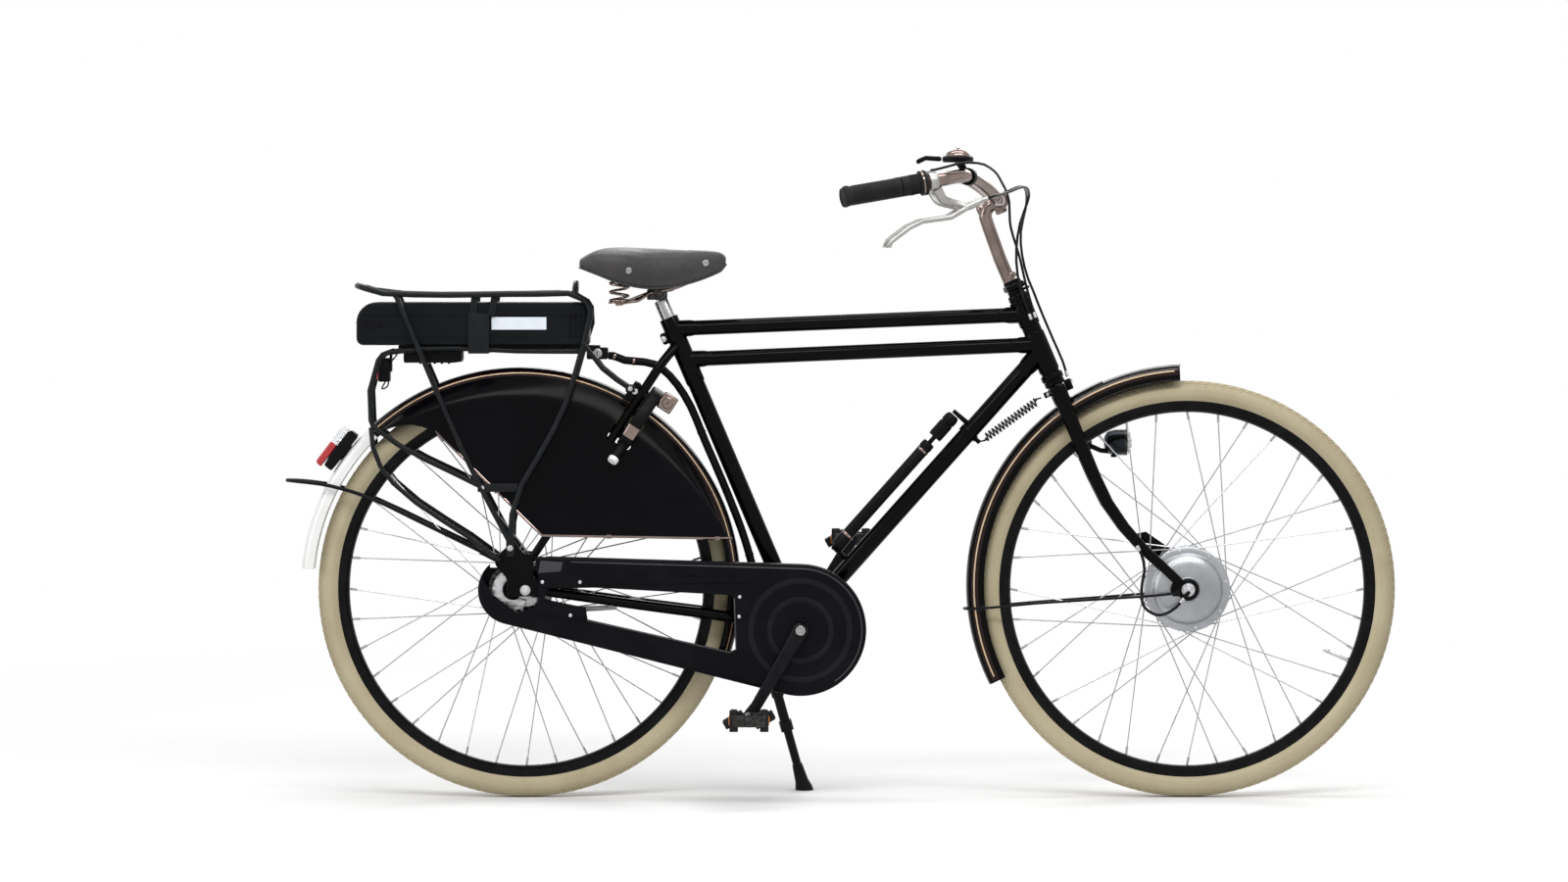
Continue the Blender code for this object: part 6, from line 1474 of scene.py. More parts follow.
# A polished cap over the front end of the guard's crown is a painted reflection: it stands in for the white
# reflection on the glossy paint there.
reflection_cap = guard_arc(*FRONT_GUARD, 92.2, 113.0, -0.42, 0.42, 0.001, 0.0009, 9)
piece("front_guard_tip", reflection_cap, POLISHED_ALLOY, "steering", FORK_END)
print("mudguard pieces done")

# %% [markdown]
# The coat guards are thin moulded sheets that hang from the mudguard and bulge over the tyre. Each is a grid
# between the guard's edge and the sheet's lower edge. A helper cuts the notch for the seat stay. The pale
# piping round the free edges is a tube that follows the same points.

# %% Cutting helper
def carved(mesh, cutters):
    """The mesh with closed shapes cut out of it."""
    holder = linked("carved", mesh)
    tools = []
    for cutter in cutters:
        tool = linked("cutter", cutter)
        tools.append(tool)
        step = holder.modifiers.new("cut", "BOOLEAN")
        step.operation = "DIFFERENCE"
        step.solver = "EXACT"
        step.object = tool
    mesh = evaluated(holder)
    for used in (*tools, holder):
        bpy.data.objects.remove(used)
    return mesh


LOCK_ANGLE = 57.0
LOCK_CENTRE = REAR_AXLE + facing(LOCK_ANGLE) * 0.335 - facing(LOCK_ANGLE + 90.0) * 0.0045
LOCK_AXES = Matrix((LEFT, facing(LOCK_ANGLE + 90.0), facing(LOCK_ANGLE)))
LOCK_LOCAL = Matrix.Translation(LOCK_CENTRE) @ LOCK_AXES.transposed().to_4x4()
LOCK = BIKE @ LOCK_LOCAL
print("lock stands at", [round(c, 3) for c in LOCK_CENTRE])

# %% Coat guards
SHEET_FOOT = ((-0.64, 0.644), (-0.4343, 0.4429), (-0.14, 0.4379), (-0.115, 0.4379))
SHEET_WALL = 0.0016


def sheet_point(side, share, row):
    """Place on a coat guard: share runs from its rear tip to its front, row from its top to its foot."""
    spans = [math.dist(a, b) for a, b in zip(SHEET_FOOT, SHEET_FOOT[1:])]
    reach, index = sum(spans) * share, 0
    while index < len(spans) - 1 and reach > spans[index]:
        reach -= spans[index]
        index += 1
    step = reach / spans[index]
    foot = [a + (b - a) * step for a, b in zip(SHEET_FOOT[index], SHEET_FOOT[index + 1])]
    top = GUARD_CENTRE + facing(134.0 - 119.5 * share) * 0.3567
    x, z = top.x + (foot[0] - top.x) * row, top.z + (foot[1] - top.z) * row
    outer = 0.0509 + max(0.0, 0.64 - z) * 0.098
    bulge = min(1.0, row / 0.24) if 0.0 < share < 1.0 else row
    edge = min(share, 1.0 - share) * 14.0
    fall = 0.0 if edge >= 1.0 else (1.0 - edge) * 0.35
    y = 0.0296 + (outer - 0.0296) * math.sin(bulge * math.pi / 2) * (1.0 - fall)
    return Vector((x, y * side, z))


def coat_guard(side):
    columns, rows = 56, (0.0, 0.03, 0.06, 0.1, 0.14, 0.19, 0.24, 0.36, 0.5, 0.65, 0.8, 0.92, 1.0)
    rings = []
    for index in range(columns + 1):
        points = [sheet_point(side, index / columns, row) for row in rows]
        back = [point - LEFT * (side * SHEET_WALL) for point in reversed(points)]
        rings.append(points + back)
    notch = block((0.06, 0.044, 0.136), (0.055 * side, 0.009, 0.02), 0.004, 2, LOCK_LOCAL)
    return carved(skin(rings), [notch])


def piping(side):
    """Tube round the rear edge and the foot of a coat guard."""
    edge = [sheet_point(side, index / 40, 1.0) for index in range(41)]
    return sweep([point - LEFT * (side * SHEET_WALL / 2) for point in edge], 0.0021, sides=10)


for side, name in SIDES:
    piece(
        f"coat_guard_{name}", coat_guard(side), GUARD_PLASTIC, "frame", BIKE, f"skirt_guard_{name}",
    )
    clips = []
    for share in (0.04, 0.3, 0.66, 0.96):
        spot = sheet_point(side, share, 1.0)
        clips.append(block((0.009, 0.005, 0.007), spot - LEFT * (side * 0.0008), 0.0012))
    piece(f"coat_guard_piping_{name}", [piping(side), *clips], NICKEL, "frame", BIKE)
print("coat guards done")

# %% [markdown]
# Two wire stays hold the guards. The rear one is a loop from the axle round the guard that ends in a small
# bumper; the front one runs from fork end to fork end. Small bolts fix them.

# %% Stays of the mudguards
LOOP_HALF = (
    (-0.503, 0.062, 0.399), (-0.62, 0.054, 0.456), (-0.755, 0.04, 0.516), (-0.799, 0.037, 0.527),
    (-0.85, 0.026, 0.533), (-0.865, 0.0, 0.534),
)
loop_wire = [sweep(bent(looped(LOOP_HALF)), 0.0032, sides=14)]
for side in (-1, 1):
    loop_wire.append(
        sweep([(-0.505, side * 0.064, 0.399), (-0.538, side * 0.0602, 0.4155)], 0.0042, sides=14)
    )
piece("rear_loop_stay", loop_wire, SATIN_PAINT, "frame", BIKE, "mudguard_loop")
STAY_Y = FRONT_DROPOUT_Y + DROPOUT_HALF + 0.0025
WIRE_HALF = (
    (0.05, STAY_Y, -0.414), (0.02, STAY_Y, -0.405), (-0.06, 0.045, -0.378), (-0.17, 0.0316, -0.34),
    (-0.268, 0.033, -0.308), (-0.282, 0.027, -0.303), (-0.288, 0.014, -0.3008), (-0.289, 0.0, -0.3),
)
front_wire = [sweep(bent(looped(WIRE_HALF)), 0.0022, sides=14)]
for side in (-1, 1):
    ear = block((0.012, 0.005, 0.01), (-0.262, side * 0.033, -0.3102), 0.0015)
    front_wire += [ear, side_nut(0.052, -0.414, side * 0.057, side * 0.0605, 0.009)]
piece("front_wire_stay", front_wire, SATIN_PAINT, "steering", STEER, "front_mudguard_stay")
rivets = []
for degrees in (-8.0, 58.3, 140.5):
    spot = GUARD_CENTRE + facing(degrees) * 0.3716
    for y in (-0.01, 0.01):
        rivets.append(rod(spot + LEFT * y, spot + facing(degrees) * 0.0014 + LEFT * y, 0.003, 0.0021, 14))
piece("guard_rivets", rivets, ZINC, "frame", BIKE)
print("stays done")

# %% [markdown]
# The rear light is a dark wedge on the guard's white tail, with a clear upper lens over a bright reflector
# and a red lower lens. The red lens has real ribs, copied along a line.

# %% Rear light
LIGHT_ANGLE = 142.5
LIGHT = BIKE @ shift(*(GUARD_CENTRE + facing(LIGHT_ANGLE) * 0.3712)) @ turn("Y", 90.0 - LIGHT_ANGLE)


def lofted(stations, corner=0.35, steps=6):
    """A closed form through rounded rectangles: each station is x, z low, z high and half width."""
    rings = []
    for x, low, high, half in stations:
        radius = corner * min(half, (high - low) / 2)
        ring = []
        for cy, cz, first in ((half - radius, high - radius, 0), (radius - half, high - radius, 90),
                              (radius - half, low + radius, 180), (half - radius, low + radius, 270)):
            for index in range(steps + 1):
                a = math.radians(first + 90.0 * index / steps)
                ring.append((x, cy + radius * math.cos(a), cz + radius * math.sin(a)))
        rings.append(ring)
    return skin(rings)


housing = lofted(
    (
        (-0.0385, 0.004, 0.012, 0.016), (-0.037, 0.002, 0.017, 0.025), (-0.02, 0.0012, 0.0196, 0.0268),
        (0.01, 0.0012, 0.0196, 0.0268), (0.032, 0.0012, 0.019, 0.0262), (0.0366, 0.003, 0.016, 0.022),
        (0.0372, 0.006, 0.012, 0.016),
    )
)
foot_block = block((0.03, 0.03, 0.006), (0.0, 0.0, 0.003), 0.001)
piece(
    "rear_light_housing", [housing, foot_block], FITTING_PLASTIC, "frame", LIGHT, "rear_light",
)
upper = lofted(((0.002, 0.02, 0.0305, 0.0238), (0.004, 0.0198, 0.032, 0.0248), (0.03, 0.0198, 0.032, 0.0246),
                (0.0345, 0.0198, 0.029, 0.0235), (0.0352, 0.02, 0.026, 0.0222)), 0.45)
lower = lofted(
    (
        (-0.0428, 0.02, 0.026, 0.0222), (-0.042, 0.0198, 0.03, 0.0238), (-0.038, 0.0198, 0.0322, 0.0248),
        (0.0005, 0.0198, 0.0322, 0.0248), (0.0018, 0.02, 0.03, 0.0238),
    ),
    0.45,
)
rib = block((0.0012, 0.042, 0.0016), (0.0, 0.0, 0.0), 0.0004, 1)
ribs = row_of(rib, [(-0.038, 0.0, 0.0322), (-0.001, 0.0, 0.0322)], 10, RED_LENS)
piece("rear_light_red", [lower, ribs], RED_LENS, "frame", LIGHT, "rear_light_lens")
piece("rear_light_clear", upper, CLEAR_LENS, "frame", LIGHT)
bowl = lofted(
    (
        (0.005, 0.0202, 0.0212, 0.02), (0.0054, 0.0202, 0.0222, 0.0214), (0.03, 0.0202, 0.0222, 0.021),
        (0.0306, 0.0202, 0.0212, 0.02),
    )
)
lens_dots = []
for x in (0.011, 0.019, 0.027):
    for y in (-0.012, 0.0, 0.012):
        lens_dots.append(
            lathe(
                [
                    (0.0, 0.0), (0.0034, 0.0002), (0.0046, 0.0022), (0.005, 0.0022), (0.005, -0.0004),
                    (0.0, -0.0004),
                ],
                16, place=shift(x, y, 0.0224),
            )
        )
piece("rear_light_reflector", [bowl, *lens_dots], MIRROR_BOWL, "frame", LIGHT)
print("rear light done")

# %% [markdown]
# ## Ring lock
# The lock sits round the tyre in its own tilted frame. Its body is a horseshoe with a rounded section, two
# long arms, a silver cheek plate with a key cylinder, and a white-tipped bolt guide. The bolt is an arc.

# %% Ring lock
def lock_ring(radius, half, thickness, first, last):
    """Part of a ring in the lock's own frame, with rounded edges."""
    rings = []
    steps = max(int(abs(last - first) / 4), 2)
    for index in range(steps + 1):
        a = math.radians(first + (last - first) * index / steps)
        out = Vector((math.cos(a), 0.0, math.sin(a)))
        ring = []
        for c, s in unit_circle(24):
            reach = squared(c, 0.5) * half
            ring.append(out * (radius + reach) + LEFT * (squared(s, 0.5) * thickness / 2))
        rings.append(ring)
    return skin(rings)


LOCK_RADIUS = 0.061


def on_lock_ring(degrees):
    """A point on the middle of the lock's ring, in the lock's own frame."""
    angle = math.radians(degrees)
    return Vector((LOCK_RADIUS * math.cos(angle), 0.0, LOCK_RADIUS * math.sin(angle)))


lock_parts = [lock_ring(LOCK_RADIUS, 0.0086, 0.0224, -40.0, 220.0)]
for side in (-1, 1):
    lock_parts.append(block((0.0116, 0.0042, 0.0258), (0.044 * side, 0.0105, 0.042), 0.001))
    arm = [(0.0478 * side, 0.0, -0.036), (0.06 * side, 0.0, -0.052), (0.069 * side, 0.0, -0.069)]
    lock_parts.append(sweep(bent(arm, 8), 0.0104, 0.0098, 20, 0.94))
    lock_parts.append(nut((0.044 * side, 0.0128, 0.048), (0.044 * side, 0.0166, 0.048), 0.008))
channel = sweep([on_lock_ring(a) for a in range(-84, 265, 4)], 0.0047, sides=16, soft=0.0)
lock_parts = [carved(part, [channel.copy()]) for part in lock_parts]
piece("ring_lock", lock_parts, FITTING_PLASTIC, "frame", LOCK, "ring_lock_body")
cheek = [block((0.024, 0.027, 0.03), (-0.029, -0.0245, 0.058), 0.003, 3)]
cylinder = [
    (0, 0), (0.0098, 0), (0.0098, 0.004), (0.0086, 0.0052), (0.007, 0.0052), (0.0066, 0.0044), (0, 0.0044),
]
cheek.append(lathe(cylinder, 32, place=shift(-0.041, -0.025, 0.058) @ turn("Y", -90)))
cheek.append(lock_ring(LOCK_RADIUS, 0.0094, 0.0236, 184.0, 202.0))
cheek.append(lock_ring(LOCK_RADIUS, 0.0094, 0.0236, -22.0, -4.0))
cheek = cheek[:2] + [carved(part, [channel.copy()]) for part in cheek[2:]]
piece("ring_lock_plates", cheek, NICKEL, "frame", LOCK)
keyway = [block((0.0006, 0.0012, 0.0076), (-0.0456, -0.025, 0.058), 0.0002, 1)]
keyway.append(block((0.006, 0.013, 0.018), (0.07, 0.0, 0.004), 0.0015))
piece("ring_lock_keyway", keyway, FITTING_PLASTIC, "frame", LOCK)
tips = []
for side in (-1, 1):
    tips.append(sweep([(0.0684 * side, 0.0, -0.0678), (0.0722 * side, 0.0, -0.0748)], 0.01, 0.0092, 18, 0.94))
piece("ring_lock_tips", tips, PALE_PAINT, "frame", LOCK)
swept = [on_lock_ring(a) for a in range(-38, 166, 4)]
piece(
    "lock_bolt", sweep(swept, 0.0038, sides=16), POLISHED_ALLOY, "lock_bolt", LOCK, "ring_lock_bolt",
)
print("ring lock done")

# %% [markdown]
# ## Chaincase and drive
# The case is a shallow box whose outline joins two circles. Its faces are pressed with low rings round the
# crank. The slot between the runs and the window for the rear cover are cut from the finished box.

# %% Chaincase
COG_CENTRE = Vector((-0.4834, 0.0, 0.3511))
CASE_FRONT = (BRACKET, 0.1107)
CASE_REAR = (COG_CENTRE, 0.058)


BELT_STEPS = 44


def belt(front, rear, grow=0.0, steps=BELT_STEPS):
    """Outline of a belt round two circles, as x, z points, anticlockwise from below the front."""
    (a, ra), (b, rb) = front, rear
    ra, rb = ra + grow, rb + grow
    along = b - a
    distance, heading = along.length, math.degrees(math.atan2(along.z, along.x))
    lean = math.degrees(math.acos((ra - rb) / distance))
    points = []
    for centre, radius, first, last in (
        (a, ra, heading + lean - 360.0, heading - lean), (b, rb, heading - lean, heading + lean),
    ):
        for index in range(steps + 1):
            spot = centre + facing(first + (last - first) * index / steps) * radius
            points.append((spot.x, spot.z))
    return points


CASE_SHOULDER = (
    (-0.009, -0.0395), (-0.003, -0.0397), (-0.0008, -0.0412), (0.0, -0.044),
    (0.0, -0.0738), (-0.0006, -0.0758), (-0.0026, -0.0773), (-0.0085, -0.0775),
)


def case_shell():
    """The case's skin: walls with rounded shoulders, closed behind and before."""
    rings = []
    for grow, y in CASE_SHOULDER:
        rings.append([Vector((x, y, z)) for x, z in belt(CASE_FRONT, CASE_REAR, grow)])
    return skin(rings)


def prism(outline, y, depth):
    """A straight closed prism across the bicycle through an x, z outline."""
    return skin([[Vector((x, y + depth, z)) for x, z in outline], [Vector((x, y, z)) for x, z in outline]])


SLOT = (
    (-0.43, 0.335), (-0.361, 0.3206), (-0.358, 0.301), (-0.1185, 0.2466), (-0.108, 0.251),
    (-0.111, 0.338), (-0.118, 0.343), (-0.345, 0.3555), (-0.426, 0.354),
)
WINDOW = (
    (-0.528, 0.418), (-0.448, 0.418), (-0.44, 0.372), (-0.44, 0.325), (-0.475, 0.313), (-0.518, 0.345),
    (-0.533, 0.37),
)
hollow = skin(
    [[Vector((x, y, z)) for x, z in belt(CASE_FRONT, CASE_REAR, -0.0024)] for y in (-0.0418, -0.0752)]
)
window = prism(WINDOW, -0.09, 0.04)
case = carved(case_shell(), [hollow, prism(SLOT, -0.09, 0.06), window,
                             block((0.098, 0.06, 0.06), (-0.473, -0.044, 0.418), 0.001, 1),
                             side_pin(0.0, 0.284, -0.03, -0.09, 0.0145, 0.0145, 48)])
CRANK_AT = shift(0.0, -0.0772, BRACKET.z) @ CROSSWAYS
pressed = [lathe([(0.02, -0.0002), (0.02, 0.0014), (0.044, 0.0014), (0.046, -0.0002)], 96, True, CRANK_AT)]
flat_rise = ((-0.386, 0.379), (-0.085, 0.372), (-0.085, 0.364), (-0.36, 0.36))
pressed.append(slab(flat_rise, 0.0012, -0.0782, 0.0004))
REAR_STEP = ((-0.442, 0.331), (-0.364, 0.319), (-0.361, 0.299), (-0.39, 0.304), (-0.45, 0.315))
pressed.append(slab(REAR_STEP, 0.0014, -0.0782, 0.0004))
case = carved(case, [block((0.055, 0.004, 0.0105), (-0.199, -0.0778, 0.37), 0.0012, 2)])
piece("chaincase_shell", [case, *pressed], CASE_PLASTIC, "frame", BIKE, "chaincase")

edge_line = [Vector((x, -0.0774, z)) for x, z in belt(CASE_FRONT, CASE_REAR, -0.0075)]
front_run = edge_line[:BELT_STEPS + 1]
if front_run[0].z < front_run[-1].z:
    front_run = front_run[::-1]
top_rear = max((edge_line[BELT_STEPS + 1], edge_line[-1]), key=lambda p: p.z)
ridge = [front_run[0].lerp(top_rear, 0.8), *front_run[:34]]
slot_lip = [(x, -0.0775, z) for x, z in SLOT[2:6]]
# The lips are raised ridges; their pale finish is a painted highlight along the top edge and the slot.
lips = [sweep(ridge, 0.0012, sides=10), sweep(slot_lip, 0.0012, sides=8)]
piece("chaincase_lips", lips, CASE_PAINTED_HIGHLIGHT, "frame", BIKE)
# The raised rings are real relief; their lighter finish is a painted highlight on them.
bands = []
for inner, outer in ((0.046, 0.057), (0.077, 0.089)):
    middle = (inner + outer) / 2
    bands.append(
        lathe(
            [(inner, -0.0002), (middle - 0.002, 0.0012), (middle + 0.002, 0.0012), (outer, -0.0002)], 96,
            True, CRANK_AT,
        )
    )
piece("chaincase_bands", bands, CASE_RING_HIGHLIGHT, "frame", BIKE)
COVER = (
    (-0.442, 0.404), (-0.396, 0.401), (-0.388, 0.38), (-0.364, 0.372), (-0.354, 0.358), (-0.36, 0.356),
    (-0.434, 0.356),
)
piece(
    "chaincase_rear_cover", [slab(COVER, 0.0022, -0.0789, 0.0006)], CASE_PLASTIC, "frame", BIKE,
    "chaincase_cover",
)
# The top plate takes the same pale finish as the painted highlights on the lips.
TOP_PLATE = ((-0.436, 0.401), (-0.399, 0.3985), (-0.402, 0.383), (-0.44, 0.38))
piece("chaincase_top_plate", [slab(TOP_PLATE, 0.0014, -0.0804, 0.0005)], CASE_PAINTED_HIGHLIGHT, "frame", BIKE)
screws = []
CASE_SCREW = (
    (0, 0), (0.003, 0), (0.0028, 0.001), (0.0018, 0.0015), (0.001, 0.0016), (0.0008, 0.001), (0, 0.001),
)
for x, z in ((-0.433, 0.365), (-0.386, 0.309), (-0.102, 0.34), (-0.103, 0.307), (-0.37, 0.365)):
    face = -0.0776 if x > -0.36 else -0.0798
    screws.append(lathe(CASE_SCREW, 20, place=shift(x, face, z) @ CROSSWAYS))
piece("chaincase_screws", screws, ZINC, "frame", BIKE)
print("chaincase done")

# %% [markdown]
# The chain's links are copies of one link, laid along the chain's path by Geometry Nodes. The ring and the
# sprocket are toothed plates with cut-outs. The crank arms taper along their length and carry silver bolts.

# %% Chain, ring and sprocket
CHAIN_Y = -0.0475
RING_RADIUS = 0.0769
COG_RADIUS = 0.0386


TOOTH = ((0.0, -0.0042), (0.22, -0.0026), (0.38, 0.003), (0.5, 0.004), (0.62, 0.003), (0.78, -0.0026))


def toothed(pitch_radius, teeth, bore, windows, thickness):
    """A chain wheel in the side view with rounded teeth and a ring of windows."""
    outline = []
    for index in range(teeth):
        for part, rise in TOOTH:
            spot = facing(360.0 * (index + part) / teeth) * (pitch_radius + rise)
            outline.append((spot.x, spot.z))
    holes = [[(bore * c, bore * s) for c, s in unit_circle(32)]]
    inner, outer = bore + 0.014, pitch_radius - 0.012
    for index in range(windows):
        first = 360.0 * index / windows + 12.0
        last = 360.0 * (index + 1) / windows - 12.0
        spots = [facing(first + (last - first) * k / 10) * outer for k in range(11)]
        spots += [facing(last - (last - first) * k / 6) * inner for k in range(7)]
        holes.append([(spot.x, spot.z) for spot in spots])
    return slab(outline, thickness, CHAIN_Y, 0.0004, holes)


CRANKS = BIKE @ shift(*BRACKET) @ turn("Y", CRANK_TURN)
ring_parts = [toothed(RING_RADIUS, 38, 0.01, 5, 0.0026)]
ring_parts.append(side_pin(0.0, 0.0, -0.044, -0.051, 0.019, 0.018, 40))
piece("chain_ring", ring_parts, ZINC, "crank", CRANKS, "chainring")
cog = [toothed(COG_RADIUS, 19, 0.0172, 0, 0.0024)]
piece("rear_cog", cog, ZINC, "sprocket", BIKE @ shift(*COG_CENTRE), "rear_sprocket")
drive_line = [
    Vector((x, CHAIN_Y, z))
    for x, z in belt((BRACKET, RING_RADIUS), (COG_CENTRE, COG_RADIUS), 0.0, 60)
]
drive_line.append(drive_line[0])
half_link = [block((0.015, 0.0011, 0.008), (0.0, side * 0.0036, 0.0), 0.0004, 2) for side in (-1, 1)]
half_link.append(
    crosswise(
        [
            (0.0, -0.0045), (0.0022, -0.0045), (0.0022, -0.003), (0.0038, -0.0028), (0.0038, 0.0028),
            (0.0022, 0.003), (0.0022, 0.0045), (0.0, 0.0045),
        ],
        steps=14,
    )
)
links = row_of(merged(half_link), drive_line, 118, DARK_STEEL)
piece("chain_links", links, DARK_STEEL, "frame", BIKE, "chain")
print("chain done")

# %% Cranks
CRANK_STATIONS = (
    # share of the length, half width, half thickness
    (-0.07, 0.004, 0.003), (-0.06, 0.0095, 0.0056), (-0.03, 0.0132, 0.0068), (0.0, 0.014, 0.007),
    (0.06, 0.013, 0.0068), (0.12, 0.012, 0.0064), (0.5, 0.0104, 0.006), (0.86, 0.0094, 0.0058),
    (0.94, 0.0116, 0.0062), (1.0, 0.0124, 0.0064), (1.045, 0.0104, 0.0062), (1.066, 0.006, 0.0046),
    (1.072, 0.002, 0.002),
)


def crank_arm(side):
    """A crank arm: side -1 is the right one, whose arm points down the crank's own X axis."""
    out = Vector((-side, 0.0, 0.0))
    y = side * 0.088
    rings = []
    for share, half, thick in CRANK_STATIONS:
        ring = []
        for c, s in unit_circle(24):
            ring.append(
                out * CRANK_LENGTH * share + Vector(
                    (0.0, y + squared(s, 0.55) * thick, squared(c, 0.7) * half)
                )
            )
        rings.append(ring)
    return skin(rings)


for side, name in SIDES:
    parts = [crank_arm(side)]
    if side == 1:
        parts.append(side_pin(0.0, 0.0, -0.094, 0.09, 0.0085, 0.0085, 32))
    else:
        parts.append(side_pin(0.0, 0.0, -0.052, -0.085, 0.013, 0.013, 32))
    piece(f"crank_arm_{name}", parts, SATIN_PAINT, "crank", CRANKS, f"crank_{name}")
    cap = lathe(
        [
            (0, 0), (0.0086, 0), (0.0086, 0.0012), (0.0078, 0.0022), (0.005, 0.0022), (0.0044, 0.0008),
            (0, 0.0008),
        ],
        32, place=shift(0.0, side * 0.0948, 0.0) @ turn("X", -90 * side),
    )
    eye = lathe(
        [(0.006, 0), (0.0092, 0), (0.0088, 0.001), (0.006, 0.001)], 32, True,
        shift(-side * CRANK_LENGTH, side * 0.0943, 0.0) @ turn("X", -90 * side),
    )
    piece(f"crank_caps_{name}", [cap, eye], POLISHED_ALLOY, "crank", CRANKS)
print("cranks done")

# %% [markdown]
# A pedal is two rubber blocks on a steel core. The grip ribs are copies of one bar laid along each block by
# Geometry Nodes. The amber reflectors sit in the blocks' outer faces.

# %% Pedals
for side, name in SIDES:
    place = CRANKS @ shift(-side * CRANK_LENGTH, 0.0, 0.0) @ turn("Y", -CRANK_TURN)
    middle = side * 0.15
    core = [
        side_pin(0.0, 0.0, side * 0.08, side * 0.104, 0.005, 0.005, 20),
        side_pin(0.0, 0.0, side * 0.103, side * 0.197, 0.0105, 0.0105, 32),
    ]
    for end in (0.1045, 0.1955):
        core.append(block((0.056, 0.0024, 0.02), (0.0, side * end, 0.0), 0.0009, 2))
    core.append(side_pin(0.0, 0.0, side * 0.196, side * 0.201, 0.0088, 0.008, 32))
    piece(f"pedal_core_{name}", core, DARK_STEEL, f"pedal_{name}", place, f"pedal_{name}")
    rubber, ends = [], []
    for x in (-0.0255, 0.0255):
        rubber.append(block((0.011, 0.086, 0.032), (x, middle, 0.0), 0.002, 2))
        rib = block((0.0145, 0.0034, 0.036), (0.0, 0.0, 0.0), 0.001, 1)
        rubber.append(row_of(rib, [(x, middle - 0.0405, 0.0), (x, middle + 0.0405, 0.0)], 13, TYRE_RUBBER))
        outward = 0.0072 if x > 0 else -0.0072
        ends.append(block((0.003, 0.052, 0.015), (x + outward, middle, 0.0), 0.0008, 2))
    piece(f"pedal_blocks_{name}", rubber, GRIP_RUBBER, f"pedal_{name}", place)
    piece(f"pedal_reflectors_{name}", ends, AMBER_LENS, f"pedal_{name}", place)
print("pedals done")

# %% [markdown]
# ## Stand and pump
# The stand's leg is a tube with a pivot eye, two collars, an adjustable lower part and a flared foot that is
# cut flat where it meets the ground.

# %% Stand
bracket = block(
    (0.036, 0.056, 0.006), (0.0, 0.0, 0.0), 0.0012, 2, shift(-0.063, 0.009, 0.2846) @ turn("Y", 9.0),
)
seat_block = block((0.024, 0.012, 0.026), (-0.065, 0.031, 0.271), 0.002)
pivot = [
    side_pin(-0.065, 0.264, 0.024, 0.0368, 0.0115, 0.0115, 32), side_nut(-0.065, 0.264, 0.021, 0.024, 0.013),
]
spring_eye = side_pin(-0.08, 0.278, 0.03, 0.0362, 0.0026, 0.0026, 14)
piece(
    "stand_fitting", [bracket, seat_block, *pivot, spring_eye], SATIN_PAINT, "frame", BIKE, "stand_bracket",
)
STAND_PIVOT = Vector((-0.065, 0.046, 0.264))
STAND_SPLAY = 8.6
STAND_RAKE = 15.4
STAND = BIKE @ shift(*STAND_PIVOT) @ turn("X", STAND_SPLAY)
STAND_SLOPE = facing(STAND_RAKE - 90.0)
STAND_DROP = STAND_PIVOT.z + STAND_PIVOT.y * math.tan(math.radians(LEAN))
STAND_REACH = STAND_DROP / (math.cos(math.radians(STAND_RAKE)) * math.cos(math.radians(STAND_SPLAY)))


def on_stand(distance):
    return STAND_SLOPE * distance


leg = [side_pin(0.0, 0.0, -0.006, 0.0085, 0.0125, 0.0125, 36)]
profile = [
    (0.006, 0.0085), (0.088, 0.0085), (0.089, 0.0105), (0.103, 0.0105), (0.104, 0.0085), (0.145, 0.0085),
    (0.146, 0.011), (0.164, 0.011), (0.165, 0.0073), (STAND_REACH - 0.05, 0.0073),
    (STAND_REACH - 0.049, 0.0086), (STAND_REACH - 0.02, 0.0112), (STAND_REACH - 0.006, 0.015),
    (STAND_REACH + 0.02, 0.0164),
]
side_way = STAND_SLOPE.cross(LEFT).normalized()
rings = []
for distance, radius in profile:
    rings.append([on_stand(distance) + (LEFT * c + side_way * s) * radius for c, s in unit_circle(32)])
tube = skin(rings)
under = block((0.2, 0.2, 0.1), (0.0, 0.0, 0.0), 0.0, 1)
foot = STAND @ on_stand(STAND_REACH)
under.transform(STAND.inverted() @ shift(foot.x, foot.y, 0.0004 - 0.05))
leg.append(carved(tube, [under]))
leg.append(nut(on_stand(0.095) - LEFT * 0.01, on_stand(0.095) - LEFT * 0.0125, 0.007))
piece("stand_leg_tube", leg, SATIN_PAINT, "stand", STAND, "stand_leg")
shank = side_pin(0.0, 0.0, -0.0066, -0.01, 0.0072, 0.0068, 28)
piece("stand_pivot_bolt", shank, ZINC, "stand", STAND)
print("stand done")

# %% Pump
def pump_ring(first, last, radius, end_radius=None):
    return rod(pump_point(first, PUMP_RISE), pump_point(last, PUMP_RISE), radius, end_radius or radius, 32)


barrel = [
    pump_ring(PUMP_FROM, 0.368, 0.0104), pump_ring(PUMP_FROM, 0.157, 0.0118),
    pump_ring(0.356, 0.37, 0.0114, 0.0108), pump_ring(0.368, 0.398, 0.004),
]
piece("pump_barrel_tube", barrel, FITTING_PLASTIC, "frame", BIKE, "pump_barrel")
grip_profile = [
    (0.0, 0.4318), (0.0085, 0.4318), (0.0112, 0.429), (0.0123, 0.424), (0.0123, 0.416), (0.0112, 0.415),
    (0.0112, 0.413), (0.0123, 0.412), (0.0123, 0.387), (0.0116, 0.3822), (0.0044, 0.3822), (0.0044, 0.416),
    (0.0, 0.416),
]
along = (pump_point(1.0, PUMP_RISE) - pump_point(0.0, PUMP_RISE)).normalized()
handle = lathe(grip_profile, 32, place=aimed(pump_point(0.0, PUMP_RISE), along))
piece("pump_grip", [handle], FITTING_PLASTIC, "pump_handle", BIKE, "pump_handle")
rings = [pump_ring(0.159, 0.164, 0.011), pump_ring(0.35, 0.354, 0.0112)]
